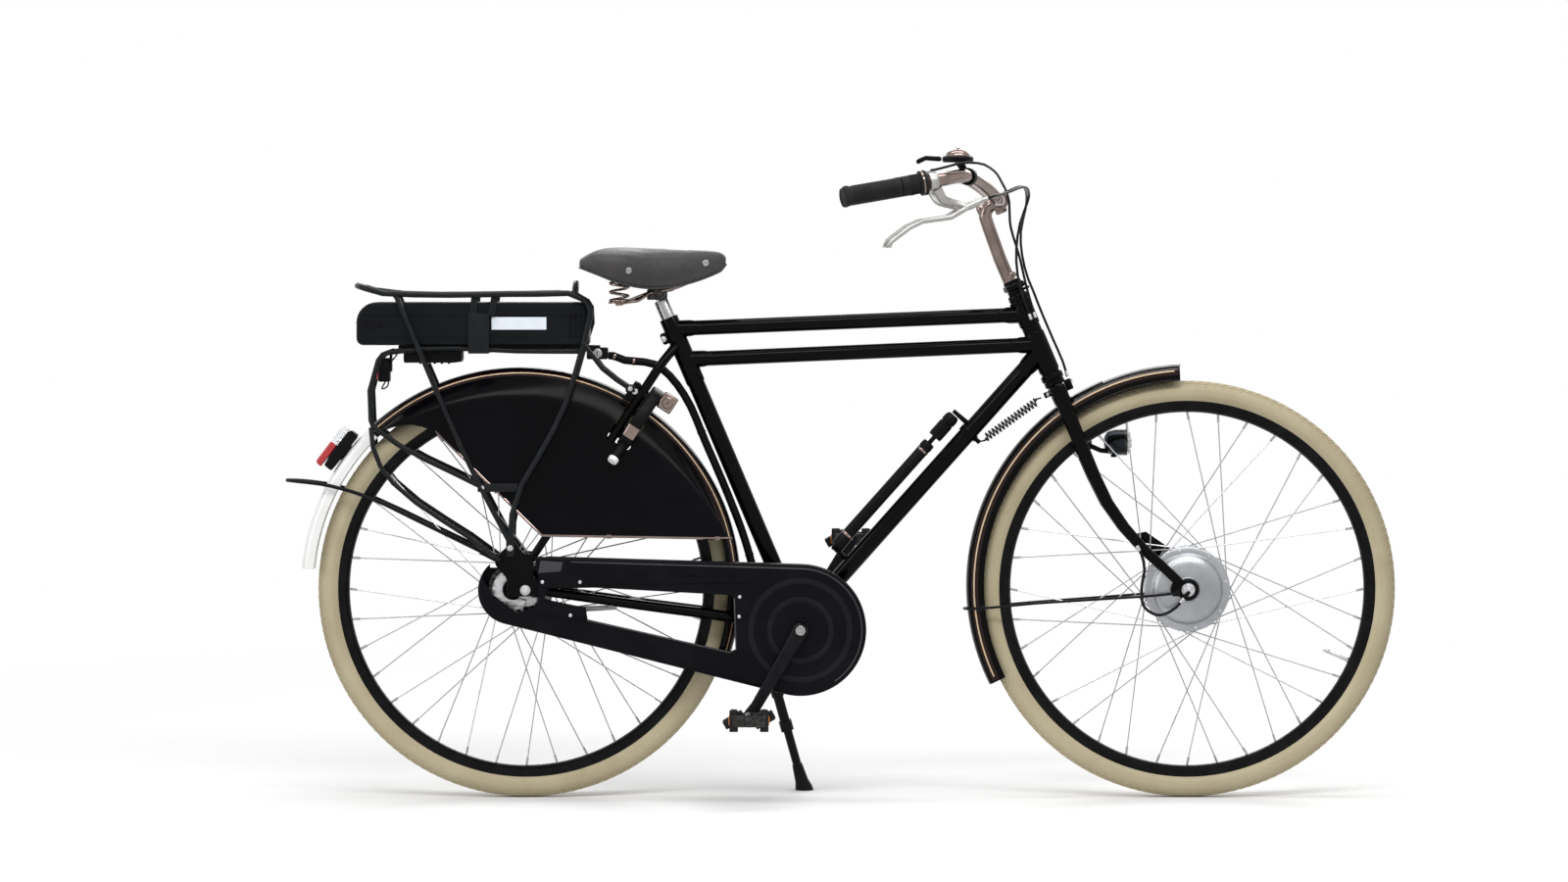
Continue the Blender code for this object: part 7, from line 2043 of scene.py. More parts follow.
piece("pump_rings", rings, NICKEL, "frame", BIKE)
print("pump done")

# %% [markdown]
# ## Rack and battery
# The rack is bent tube. Each tube is swept along rounded corners, and its ends stand in bolted plates. Small
# collars at the joints read as welds.

# %% Rack
RAIL = (
    (-0.487, 0.0758, 0.428), (-0.485, 0.0758, 0.47), (-0.478, 0.074, 0.505), (-0.445, 0.07, 0.566),
    (-0.4, 0.0665, 0.65), (-0.364, 0.064, 0.764), (-0.352, 0.064, 0.806), (-0.356, 0.064, 0.83),
    (-0.38, 0.064, 0.847), (-0.43, 0.064, 0.848), (-0.67, 0.064, 0.848), (-0.705, 0.064, 0.85),
    (-0.735, 0.056, 0.859), (-0.744, 0.034, 0.8615), (-0.746, 0.0, 0.862),
)
REAR_STRUT = ((-0.68, 0.064, 0.848), (-0.54, 0.07, 0.53), (-0.488, 0.0758, 0.432))
SIDE_LOOP = (
    (-0.372, 0.058, 0.752), (-0.45, 0.048, 0.752), (-0.67, 0.048, 0.752), (-0.702, 0.049, 0.746),
    (-0.717, 0.052, 0.715), (-0.723, 0.056, 0.65), (-0.718, 0.058, 0.626), (-0.7, 0.06, 0.612),
    (-0.54, 0.07, 0.527),
)
SIDE_STAY = ((-0.7215, 0.0575, 0.624), (-0.72, 0.06, 0.602), (-0.504, 0.0748, 0.4))
FRONT_ARM = ((-0.364, 0.062, 0.764), (-0.33, 0.052, 0.72), (-0.2875, 0.0435, 0.6895))
HOOP = ((-0.38, 0.064, 0.846), (-0.3785, 0.055, 0.86), (-0.378, 0.0352, 0.866), (-0.378, 0.0, 0.866))
HANGERS = (
    ((-0.558, 0.748), (-0.523, 0.748), (-0.523, 0.816), (-0.558, 0.816)),
    ((-0.556, 0.812), (-0.544, 0.812), (-0.54, 0.85), (-0.552, 0.85)),
    ((-0.525, 0.812), (-0.513, 0.812), (-0.506, 0.85), (-0.518, 0.85)),
)
tubes = [sweep(bent(looped(RAIL), 25), 0.005, sides=20), sweep(bent(looped(HOOP), 12), 0.0042, sides=16)]
for side in (-1, 1):
    for line, radius, round_by in (
        (REAR_STRUT, 0.0045, 18), (SIDE_LOOP, 0.0045, 25), (SIDE_STAY, 0.004, 12), (FRONT_ARM, 0.004, 12),
    ):
        tubes.append(sweep(bent(mirrored(line, side), round_by), radius, sides=18))
    tubes.append(block((0.068, 0.004, 0.014), (-0.508, 0.0705 * side, 0.523), 0.001))
    tubes += [
        slab(hanger, 0.003 - 0.0004 * number, 0.06 * side, 0.0006)
        for number, hanger in enumerate(HANGERS)
    ]
    tubes.append(block((0.014, 0.0036, 0.03), (-0.487, 0.0768 * side, 0.422), 0.0016, 2))
    tubes.append(block((0.016, 0.004, 0.012), (-0.286, 0.0425 * side, 0.689), 0.0014, 2))
    for x, z, radius in ((-0.68, 0.848, 0.0064), (-0.364, 0.764, 0.0062)):
        tubes.append(rod((x - 0.004, 0.064 * side, z), (x + 0.004, 0.064 * side, z), radius, radius, 20))
for x, z, reach in (
    (-0.523, 0.848, 0.064), (-0.67, 0.848, 0.064), (-0.395, 0.752, 0.054), (-0.687, 0.752, 0.049),
):
    tubes.append(side_pin(x, z, -reach, reach, 0.004, 0.004, 18))
piece("rack_tubes", tubes, RACK_PAINT, "frame", BIKE, "rack")
fixings = []
for side in (-1, 1):
    fixings.append(side_nut(-0.487, 0.422, side * 0.0786, side * 0.0826, 0.01))
    fixings.append(side_nut(-0.286, 0.689, side * 0.0446, side * 0.048, 0.008))
    fixings.append(side_pin(-0.534, 0.523, side * 0.0724, side * 0.0744, 0.004, 0.0034, 16))
piece("rack_bolts", fixings, ZINC, "frame", BIKE)
under_lamp = [
    block((0.02, 0.044, 0.04), (-0.701, 0.0, 0.72), 0.003, 3),
    block((0.004, 0.03, 0.036), (-0.69, 0.0, 0.735), 0.001),
]
under_lamp.append(
    sweep(
        bent(
            [
                (-0.7, 0.006, 0.7), (-0.706, 0.014, 0.688), (-0.699, 0.023, 0.69), (-0.692, 0.016, 0.73),
                (-0.68, 0.008, 0.746),
            ],
            8,
        ),
        0.0013, sides=10,
    )
)
piece("under_lamp", under_lamp, FITTING_PLASTIC, "frame", BIKE)
red_face = [block((0.0024, 0.037, 0.033), (-0.7118, 0.0, 0.72), 0.001, 2)]
rib = block((0.0012, 0.034, 0.0012), (0.0, 0.0, 0.0), 0.0003, 1)
red_face.append(row_of(rib, [(-0.7131, 0.0, 0.7075), (-0.7131, 0.0, 0.7325)], 9, RED_LENS))
piece("under_lamp_red", red_face, RED_LENS, "frame", BIKE)
print("rack done")

# %% [markdown]
# The battery is a long case with a large radius at its rear end, two grooves along each side and a blank pale
# label. It slides on a dock with a rail, and a controller hangs below.

# %% Battery
BATTERY_LOW, BATTERY_HIGH = 0.762, 0.8344


def battery_outline(inset, rear_radius=0.034, front_radius=0.006):
    """Outline of the battery in the side view, with a rounder rear end."""
    x0, x1, z0, z1 = -0.7462 + inset, -0.3545 - inset, BATTERY_LOW + inset, BATTERY_HIGH - inset
    points = []
    for cx, cz, radius, first in (
        (x1 - front_radius, z1 - front_radius, front_radius, 0),
        (x0 + rear_radius, z1 - rear_radius, rear_radius, 90),
        (x0 + rear_radius * 0.35, z0 + rear_radius * 0.35, rear_radius * 0.35, 180),
        (x1 - front_radius, z0 + front_radius, front_radius, 270),
    ):
        for index in range(9):
            spot = facing(first + 90.0 * index / 8) * radius
            points.append((cx + spot.x, cz + spot.z))
    return points


def battery_case():
    rings = []
    half = 0.0538
    for inset, y in (
        (0.011, -half), (0.005, -half), (0.0018, -half + 0.0012), (0.0004, -half + 0.0036),
        (0.0, -half + 0.007), (0.0, half - 0.007), (0.0004, half - 0.0036), (0.0018, half - 0.0012),
        (0.005, half), (0.011, half),
    ):
        rings.append([Vector((x, y, z)) for x, z in battery_outline(inset)])
    return skin(rings)


grooves = []
for side in (-1, 1):
    grooves.append(block((0.37, 0.003, 0.0016), (-0.55, side * 0.0545, 0.812), 0.0004, 1))
    grooves.append(block((0.37, 0.0024, 0.0012), (-0.55, side * 0.0545, 0.776), 0.0004, 1))
    grooves.append(block((0.0012, 0.0026, 0.05), (-0.696, side * 0.0545, 0.797), 0.0003, 1))
piece(
    "battery_case", carved(battery_case(), grooves), BATTERY_PLASTIC, "battery", BIKE, "battery",
)
trim = []
for side in (-1, 1):
    trim.append(block((0.03, 0.0012, 0.011), (-0.718, side * 0.0541, 0.796), 0.0005, 1))
    for x in (-0.37, -0.378, -0.386):
        trim.append(block((0.003, 0.0014, 0.042), (x, side * 0.0541, 0.795), 0.0006, 1))
handle = [(-0.7452, 0.03, 0.8), (-0.7466, 0.028, 0.801), (-0.7466, -0.028, 0.801), (-0.7452, -0.03, 0.8)]
trim.append(sweep(handle, 0.0012, sides=10))
piece("battery_trim", trim, FITTING_PLASTIC, "battery", BIKE)
label = [block((0.092, 0.0006, 0.021), (-0.4728, side * 0.054, 0.7988), 0.0002, 1) for side in (-1, 1)]
piece("battery_label", label, LABEL_BLANK, "battery", BIKE)
dock = [
    block((0.316, 0.086, 0.005), (-0.518, 0.0, 0.7592), 0.0012, 2),
    block((0.045, 0.05, 0.005), (-0.36, 0.0, 0.7593), 0.0012, 2),
]
dock.append(block((0.036, 0.05, 0.02), (-0.342, 0.0, 0.748), 0.003, 3))
case_stations = (
    (-0.668, 0.735, 0.756, 0.024), (-0.666, 0.732, 0.757, 0.029), (-0.652, 0.7322, 0.7575, 0.03),
    (-0.584, 0.7322, 0.7575, 0.03), (-0.57, 0.734, 0.757, 0.029), (-0.568, 0.738, 0.756, 0.024),
)
dock.append(lofted(case_stations, 0.3))
for x in (-0.64, -0.628, -0.616, -0.604, -0.592):
    dock.append(block((0.003, 0.056, 0.003), (x, 0.0, 0.7316), 0.0008, 1))
for side in (-1, 1):
    dock.append(block((0.3, 0.004, 0.0044), (-0.52, side * 0.0415, 0.7604), 0.0008, 1))
piece("battery_dock_rail", dock, FITTING_PLASTIC, "frame", BIKE, "battery_dock")
lock_face = [
    lathe(
        [(0, 0), (0.0082, 0), (0.0082, 0.0016), (0.0068, 0.0024), (0.006, 0.0018), (0, 0.0018)], 28,
        place=shift(-0.342, -0.025, 0.748) @ turn("X", 90),
    )
]
piece("battery_key", lock_face, POLISHED_ALLOY, "frame", BIKE)
slit = [block((0.0012, 0.0006, 0.0072), (-0.342, -0.027, 0.748), 0.0002, 1)]
piece("battery_key_slit", slit, FITTING_PLASTIC, "frame", BIKE)
print("battery done")

# %% [markdown]
# ## Fork, stem and handlebar
# The steered pieces are built in the head tube's frame, whose Z axis is the steering axis. The fork blades
# are swept with an oval section and taper down to the ends.

# %% Fork
CROWN = -0.025
fork = [
    rod((0.0, 0.0, -0.0355), (0.0, 0.0, 0.1756), 0.0127, 0.0127, 40),
    lathe(
        [(0.0129, -0.014), (0.0172, -0.014), (0.0176, -0.012), (0.0172, -0.0044), (0.0129, -0.0044)], 48,
        True,
    ),
    sweep(
        [(0.0, -0.05, CROWN), (0.0, -0.044, CROWN), (0.0, 0.044, CROWN), (0.0, 0.05, CROWN)], 0.015, 0.015,
        32, 0.92, 0.5,
    ),
    block((0.012, 0.01, 0.019), (0.0205, 0.0, -0.021), 0.002, 2),
    block((0.014, 0.012, 0.01), (-0.018, 0.0, -0.023), 0.0016, 2),
]
BLADE = (
    (0.0, 0.0405, -0.0197), (0.0, 0.0405, -0.06), (-0.001, 0.0425, -0.168), (0.001, 0.0455, -0.223),
    (0.008, 0.049, -0.262), (0.019, 0.0505, -0.302), (0.036, 0.052, -0.345), (0.052, 0.0525, -0.378),
    (0.061, 0.0525, -0.3994),
)
ENDS = (
    (0.048, -0.3964), (0.064, -0.3944), (0.08, -0.4084), (0.081, -0.4224), (0.07, -0.4284), (0.042, -0.4164),
    (0.042, -0.4044),
)
for side in (-1, 1):
    blade = mirrored(BLADE, side)
    fork.append(sweep(bent(blade, 40), 0.0132, 0.0078, 28, 0.78, 0.1))
    fork.append(slab(ENDS, 0.005, 0.0525 * side, 0.0012))
    socket = [blade[0] + Vector((0.0, 0.0, 0.006)), blade[0] + Vector((0.0, 0.0, -0.03))]
    fork.append(sweep(socket, 0.0146, 0.0136, 28, 0.8, 0.3))
    fork.append(side_pin(0.052, -0.414, side * 0.0545, side * 0.057, 0.005, 0.0046, 20))
arm_outline = ((0.03, -0.3), (0.045, -0.303), (0.076, -0.352), (0.076, -0.38), (0.04, -0.35))
fork.append(slab(arm_outline, 0.004, 0.052, 0.001))
piece("fork_blades", fork, BLACK_PAINT, "steering", STEER, "fork", 40.0)
TOP = 0.1416
headset = [
    lathe(
        [
            (0.0129, TOP), (0.0168, TOP), (0.0174, TOP + 0.002), (0.0172, TOP + 0.009), (0.016, TOP + 0.011),
            (0.0129, TOP + 0.011),
        ],
        48, True,
    ),
    lathe(
        [(0.0129, TOP + 0.0108), (0.0142, TOP + 0.0112), (0.0142, TOP + 0.0188), (0.0129, TOP + 0.0192)], 48,
        True,
    ),
    nut((0.0, 0.0, TOP + 0.0194), (0.0, 0.0, TOP + 0.03), 0.033),
    lathe(
        [
            (0.0114, TOP + 0.0302), (0.0152, TOP + 0.0302), (0.0155, TOP + 0.0316), (0.0148, TOP + 0.0352),
            (0.0128, TOP + 0.0362), (0.0114, TOP + 0.0362),
        ],
        48, True,
    ),
    block((0.012, 0.014, 0.0044), (0.018, 0.0, TOP + 0.0155), 0.0012, 2),
]
piece("headset", headset, BLACK_PAINT, "steering", STEER)
bolts = [
    side_pin(-0.018, -0.023, -0.0062, -0.009, 0.0036, 0.003, 16),
    side_pin(-0.018, -0.023, 0.0062, 0.009, 0.0036, 0.003, 16),
]
bolts.append(nut((0.0268, 0.0, -0.015), (0.0292, 0.0, -0.015), 0.009))
for x, z in ((0.048, -0.314), (0.062, -0.356)):
    bolts.append(side_nut(x, z, 0.0541, 0.0562, 0.008))
piece("fork_bolts", bolts, ZINC, "steering", STEER)
print("fork done")

# %% Stem and bar
STEM_LINE = (
    (0.0, 0.0, 0.04), (0.0, 0.0, 0.277), (0.002, 0.0, 0.295), (0.012, 0.0, 0.306), (0.033, 0.0, 0.309),
)
stem = [sweep(bent(STEM_LINE, 14), 0.0111, sides=32)]
stem.append(lathe([(0.01, 0.181), (0.0124, 0.1812), (0.0126, 0.187), (0.0116, 0.19), (0.01, 0.19)], 40, True))
clamp_profile = [
    (0.0112, -0.02), (0.0146, -0.02), (0.0156, -0.0188), (0.0157, 0.0188), (0.0146, 0.02), (0.0112, 0.02),
]
stem.append(crosswise(clamp_profile, 0.033, 0.309, 48, True))
stem.append(block((0.02, 0.03, 0.015), (0.03, 0.0, 0.2955), 0.0034, 3))
stem.append(
    lathe(
        [
            (0, 0.299), (0.0075, 0.3), (0.008, 0.303), (0.0078, 0.312), (0.006, 0.315), (0.0034, 0.315),
            (0.003, 0.312), (0, 0.312),
        ],
        32,
    )
)
stem.append(side_pin(0.03, 0.293, -0.0175, -0.0195, 0.0046, 0.0042, 20))
stem.append(side_nut(0.03, 0.293, 0.015, 0.019, 0.01))
piece("stem_quill", stem, NICKEL, "steering", STEER, "stem")
BAR_HALF = (
    (0.033, 0.03, 0.309), (0.03, 0.062, 0.315), (0.018, 0.118, 0.34), (0.002, 0.172, 0.364),
    (-0.015, 0.218, 0.374), (-0.0454, 0.257, 0.38),
)
BAR_END = Vector((-0.2036, 0.3, 0.417))
half = [Vector(p) for p in BAR_HALF] + [BAR_END]
left_run = [*bent(half[:-1], 5, 0.03), BAR_END]
whole = mirrored(reversed(left_run)) + left_run
bar = sweep(whole, 0.0111, sides=32)
knurl = crosswise(
    [(0.011, -0.029), (0.0118, -0.028), (0.0118, 0.028), (0.011, 0.029)], 0.033, 0.309, 48, True,
)
piece("handle_bar", [bar, knurl], NICKEL, "steering", STEER, "handlebar")
ALONG = (half[-2] - half[-1]).normalized()


def at_end(side, along, over=0.0):
    """Place measured from a bar end inward along the grip, and above it."""
    way, end = mirrored([ALONG, BAR_END], side)
    rise = way.cross(LEFT).normalized()
    rise = rise if rise.z > 0 else -rise
    return end + way * along + rise * over


def turned_grip(side, profile, steps=48):
    """A body of revolution on the grip's line: profile is radius and distance from the bar's end."""
    way = (at_end(side, 1.0) - at_end(side, 0.0)).normalized()
    return lathe(profile, steps, True, aimed(at_end(side, 0.0), way))


for side, name, length in ((-1, "right", 0.095), (1, "left", 0.125)):
    profile = [
        (0.0008, -0.0042), (0.012, -0.004), (0.0162, -0.0026), (0.0174, 0.001), (0.0174, 0.004),
        (0.016, 0.0062), (0.0158, 0.0085),
    ]
    ridge = 0.011
    while ridge < length - 0.012:
        profile += [
            (0.0154, ridge), (0.0154, ridge + 0.0012), (0.0161, ridge + 0.0018), (0.0161, ridge + 0.0042),
        ]
        ridge += 0.0048
    profile += [
        (0.0158, length - 0.008), (0.0166, length - 0.006), (0.0166, length - 0.001), (0.015, length),
        (0.0112, length), (0.0112, 0.001), (0.0008, 0.001),
    ]
    piece(
        f"bar_grip_{name}", [turned_grip(side, profile)], GRIP_RUBBER, "steering", STEER, f"grip_{name}",
    )
shift_profile = [
    (0.0113, 0.0962), (0.016, 0.0962), (0.0166, 0.0975), (0.0166, 0.11), (0.0158, 0.1106), (0.0158, 0.127),
    (0.017, 0.1282), (0.0205, 0.1292), (0.021, 0.131), (0.021, 0.1385), (0.02, 0.1398), (0.0113, 0.1398),
]
piece(
    "gear_twist", [turned_grip(-1, shift_profile)], GRIP_RUBBER, "twist_shifter", STEER, "twist_shifter",
)
ribs = []
way = (at_end(-1, 1.0) - at_end(-1, 0.0)).normalized()
across = way.orthogonal().normalized()
for index in range(24):
    out = Matrix.Rotation(2 * math.pi * index / 24, 3, way) @ across
    ribs.append(sweep([at_end(-1, 0.111) + out * 0.016, at_end(-1, 0.1266) + out * 0.016], 0.0009, sides=6))
piece("gear_twist_ribs", ribs, GRIP_RUBBER, "twist_shifter", STEER)
ring = turned_grip(-1, [(0.0206, 0.1302), (0.0214, 0.1306), (0.0214, 0.133), (0.0206, 0.1334)])
piece("gear_ring", [ring], NICKEL, "twist_shifter", STEER)
print("bar done", [round(c, 3) for c in at_end(-1, 0.1515)])

# %% [markdown]
# Each brake has a cast bracket that clamps on the bar and a long blade that curves below the grip. The
# blade's section is oval.

# %% Brakes
for side, name in SIDES:
    clamp_at = at_end(1, 0.1515)
    pivot = Vector((-0.0277, 0.246, 0.3216))
    arm = [
        clamp_at + Vector((0.001, 0.0, -0.013)), clamp_at + Vector((0.004, -0.01, -0.034)),
        Vector((-0.0407, 0.237, 0.3346)), Vector((-0.0257, 0.235, 0.3226)), Vector((0.003, 0.2345, 0.3226)),
    ]
    cast = [sweep(bent(mirrored(arm, side), 10), 0.0086, 0.005, 24, 0.72)]
    cast.append(
        turned_grip(
            side,
            [
                (0.0113, 0.1448), (0.0148, 0.1448), (0.0155, 0.1458), (0.0155, 0.1572), (0.0148, 0.1582),
                (0.0113, 0.1582),
            ],
        )
    )
    cast.append(side_pin(pivot.x, pivot.z, side * 0.2362, side * 0.241, 0.005, 0.005, 24))
    cast.append(rod((0.002, side * 0.2345, 0.3226), (0.01, side * 0.2342, 0.3224), 0.0044, 0.0034, 20))
    cast.append(
        side_nut(
            clamp_at.x + 0.002, clamp_at.z - 0.015, side * (clamp_at.y - 0.011), side * (clamp_at.y - 0.015),
            0.008,
        )
    )
    piece(f"brake_casting_{name}", cast, CAST_ALLOY, "steering", STEER, f"brake_bracket_{name}")
    blade = [
        (0.006, 0.0, 0.0), (-0.012, 0.002, -0.004), (-0.0284, 0.004, -0.0045), (-0.056, 0.012, 0.004),
        (-0.08, 0.02, 0.0085), (-0.118, 0.031, 0.002), (-0.138, 0.036, -0.004), (-0.143, 0.037, -0.009),
    ]
    blade = mirrored([pivot + Vector(p) for p in blade], side)
    parts = [sweep(bent(blade, 18), 0.0048, 0.0042, 20, 0.78)]
    parts.append(side_pin(pivot.x, pivot.z, side * 0.2422, side * 0.2492, 0.0052, 0.005, 24))
    parts.append(rod(blade[-1], blade[-1] + Vector((-0.0006, 0.0, -0.0018)), 0.005, 0.0044, 20))
    piece(
        f"brake_blade_{name}", parts, CAST_ALLOY, f"brake_lever_{name}", STEER, f"brake_lever_{name}",
    )
    pin = lathe(
        [(0, 0), (0.0034, 0), (0.0032, 0.001), (0.002, 0.0014), (0, 0.0014)], 20,
        place=shift(pivot.x, side * 0.249, pivot.z) @ turn("X", -90 * side),
    )
    piece(f"brake_pin_{name}", [pin], ZINC, f"brake_lever_{name}", STEER)
print("brakes done")

# %% Bell
BELL_Y = -0.185
BELL = STEER @ shift(-0.009, BELL_Y, 0.396) @ turn("Y", HEAD_TILT)
dome = lathe(
    [
        (0, 0.0225), (0.006, 0.0222), (0.011, 0.0212), (0.015, 0.0194), (0.0182, 0.0168), (0.0202, 0.013),
        (0.0206, 0.0096), (0.0198, 0.0088), (0.0196, 0.0112), (0, 0.0112),
    ],
    64,
)
cap = lathe(
    [(0, 0.0221), (0.0034, 0.0222), (0.0034, 0.0238), (0.0026, 0.0246), (0.0012, 0.0248), (0, 0.0248)], 24,
)
piece("bell_dome", [dome, cap], NICKEL, "steering", BELL, "bell")
base = [
    lathe(
        [
            (0, 0), (0.0236, 0), (0.0254, 0.001), (0.026, 0.003), (0.0258, 0.0086), (0.024, 0.0104),
            (0.0216, 0.011), (0, 0.011),
        ],
        48,
    )
]
low, high = next((a, b) for a, b in zip(whole, whole[1:]) if a.y <= BELL_Y <= b.y)
on_bar = BELL.inverted() @ STEER @ low.lerp(high, (BELL_Y - low.y) / (high.y - low.y))
bar_way = ((BELL.inverted() @ STEER).to_3x3() @ (high - low)).normalized()
strap_place = aimed(on_bar, bar_way)
base.append(
    lathe(
        [
            (0.0113, -0.0055), (0.014, -0.0055), (0.0146, -0.0048), (0.0146, 0.0048), (0.014, 0.0055),
            (0.0113, 0.0055),
        ],
        40, True, strap_place,
    )
)
neck_from = on_bar + (Vector((0.0, 0.0, 0.004)) - on_bar).normalized() * 0.013
base.append(rod(neck_from, (0.0, 0.0, 0.004), 0.006, 0.0072, 24))
piece("bell_base", base, FITTING_PLASTIC, "steering", BELL)
BELL_AXIS = BELL @ shift(-0.033, 0.0, 0.0055)
thumb = [
    sweep(
        bent(
            [(0.006, 0.0, 0.0), (-0.004, 0.0, 0.0015), (-0.022, 0.001, 0.0015), (-0.036, 0.003, -0.006)], 20,
        ),
        0.0042, 0.004, 20, 0.8, 0.8,
    )
]
thumb.append(rod((0.0, 0.0, -0.003), (0.0, 0.0, 0.0048), 0.003, 0.0026, 20))
piece("bell_thumb_lever", thumb, FITTING_PLASTIC, "bell_lever", BELL_AXIS, "bell_lever")
print("bell done")

# %% [markdown]
# ## Headlamp, steering spring and seat post
# The lamp's reflector is a bright bowl behind a clear, slightly domed lens. The steering spring and the
# saddle's springs are spirals made by one Geometry Nodes tree with named inputs.

# %% Headlamp
LAMP = STEER @ shift(0.062, 0.076, -0.1464) @ turn("Y", HEAD_TILT)
FORWARD = turn("Y", 90.0)
shell = lathe(
    [
        (0.0188, 0.0104), (0.0208, 0.011), (0.0222, 0.0098), (0.0226, 0.006), (0.0222, -0.006),
        (0.02, -0.016), (0.016, -0.0208), (0.01, -0.024), (0.006, -0.0248), (0.0004, -0.025),
        (0.0004, -0.0156), (0.01, -0.0114), (0.016, -0.0046), (0.0186, 0.004),
    ],
    56, True, FORWARD,
)
holder = sweep(
    bent([(-0.012, 0.0, -0.016), (-0.03, -0.012, -0.014), (-0.048, -0.018, -0.006)], 14), 0.0042, 0.0042, 18,
    0.7,
)
grip_on_blade = block((0.02, 0.006, 0.02), (-0.056, -0.0205, -0.002), 0.002, 2)
knob = lathe(
    [(0, -0.0004), (0.0048, -0.0004), (0.0052, 0.001), (0.0048, 0.004), (0, 0.0044)], 20,
    place=shift(-0.008, 0.0, -0.0215) @ turn("Y", 180),
)
piece("headlamp_shell", [shell], LAMP_SHELL, "steering", LAMP)
piece(
    "headlamp_holder", [holder, grip_on_blade, knob], FITTING_PLASTIC, "steering", LAMP, "headlamp",
)
bowl = lathe(
    [
        (0.0, -0.014), (0.006, -0.012), (0.011, -0.008), (0.015, -0.002), (0.018, 0.006), (0.0184, 0.006),
        (0.016, -0.003), (0.0112, -0.0096), (0.006, -0.0136), (0.0, -0.015),
    ],
    48, False, FORWARD,
)
bulb = lathe(
    [(0, -0.012), (0.003, -0.012), (0.003, -0.006), (0.0024, -0.003), (0, -0.002)], 24, False, FORWARD,
)
piece("headlamp_reflector", [bowl, bulb], MIRROR_BOWL, "steering", LAMP)
lens = lathe(
    [
        (0.0, 0.0228), (0.008, 0.0224), (0.015, 0.0208), (0.0196, 0.0178), (0.0214, 0.0146), (0.0216, 0.0114),
        (0.0206, 0.0113), (0.018, 0.014), (0.0, 0.018),
    ],
    56, False, FORWARD,
)
piece("headlamp_glass", [lens], CLEAR_LENS, "steering", LAMP, "headlamp_lens")
rim = lathe(
    [
        (0.0214, 0.0096), (0.0224, 0.0098), (0.0228, 0.0116), (0.0222, 0.0142), (0.0216, 0.0146),
        (0.0214, 0.0114),
    ],
    56, True, FORWARD,
)
piece("headlamp_rim", [rim], DARK_STEEL, "steering", LAMP)
print("headlamp done")


# %% Spiral tree
def spiral_tree():
    g, slots = new_tree("spiral", Turns=float, Radius=float, Height=float, Wire=float, Look="look")
    sizes = {
        "Rotations": slots["Turns"], "Start Radius": slots["Radius"], "End Radius": slots["Radius"],
        "Height": slots["Height"],
    }
    coil = g.add("GeometryNodeCurveSpiral", {"Resolution": 28, **sizes})
    ring = g.add("GeometryNodeCurvePrimitiveCircle", {"Resolution": 10, "Radius": slots["Wire"]})
    wire = g.add("GeometryNodeCurveToMesh", {"Curve": coil, "Profile Curve": ring, "Fill Caps": True})
    return close_tree(g, wire, slots["Look"])


SPIRAL = spiral_tree()


def spring(start, end, radius, wire, turns, look, tail=0.0, flat_ends=False):
    """A coil spring between two points, with hooked tails on its axis or with flat closed ends."""
    start, end = Vector(start), Vector(end)
    length = (end - start).length
    coil = grown(SPIRAL, Turns=turns, Radius=radius, Height=length, Wire=wire, Look=look)
    parts = [coil]
    tip = [
        (radius, 0.0, 0.0), (radius * 0.8, -radius * 0.5, -tail * 0.1),
        (radius * 0.2, -radius * 0.3, -tail * 0.45), (0.0, 0.0, -tail),
    ]
    if tail:
        parts.append(sweep(bent(tip, 12), wire, sides=10))
        parts.append(sweep(bent([(x, -y, length - z) for x, y, z in tip], 12), wire, sides=10))
    if flat_ends:
        for level in (0.0, length):
            circle = [(radius + wire * c, level + wire * s) for c, s in unit_circle(10)]
            parts.append(lathe(circle, 40, True))
    made = merged(parts)
    made.transform(aimed(start, (end - start).normalized()))
    return made


target = on_head(-0.023) - facing(HEAD_TILT) * 0.025
reach = (target - hook).normalized()
stabiliser = spring(hook + reach * 0.0125, target - reach * 0.0155, 0.0064, 0.0015, 16, DARK_STEEL, 0.01)
piece("steering_coil", [stabiliser], DARK_STEEL, "frame", BIKE, "steering_spring")
print("steering spring", round((target - hook).length, 4))

# %% Seat post, clamp and saddle frame
post = [rod(on_seat(0.43), on_seat(0.602), 0.0127, 0.0127, 40)]
piece("seat_pillar", post, POLISHED_ALLOY, "saddle_post", BIKE, "seat_post")
CLAMP = Vector((-0.2404, 0.0, 0.8504))
PIVOT = Vector((-0.15, 0.0, 0.885))
black = [side_pin(CLAMP.x, CLAMP.z, -0.02, 0.02, 0.0134, 0.0134, 32, 0.12)]
black.append(block((0.0345, 0.026, 0.018), (CLAMP.x - 0.001, 0.0, CLAMP.z - 0.0035), 0.003, 3))
for side in (-1, 1):
    black.append(side_nut(CLAMP.x, CLAMP.z, side * 0.02, side * 0.0242, 0.014))
piece("saddle_clamp", black, DARK_STEEL, "saddle_post", BIKE, "saddle_frame")
wire_half = (
    (-0.301, 0.052, 0.8333), (-0.275, 0.04, 0.8363), (CLAMP.x - 0.015, 0.02, CLAMP.z - 0.001),
    (CLAMP.x + 0.02, 0.018, CLAMP.z + 0.004), (-0.17, 0.011, 0.877), (-0.148, 0.0, 0.8815),
)
rails = [sweep(bent(looped(wire_half), 22), 0.0032, sides=16)]
for side in (-1, 1):
    disc = [(0, 0.8321), (0.0172, 0.8321), (0.018, 0.8327), (0.018, 0.8339), (0.0172, 0.8345), (0, 0.8345)]
    rails.append(lathe(disc, 40, place=shift(-0.305, side * 0.052, 0.0)))
    rails.append(nut((-0.305, side * 0.052, 0.8285), (-0.305, side * 0.052, 0.8321), 0.01))
piece("saddle_rails", rails, NICKEL, "saddle_post", BIKE)
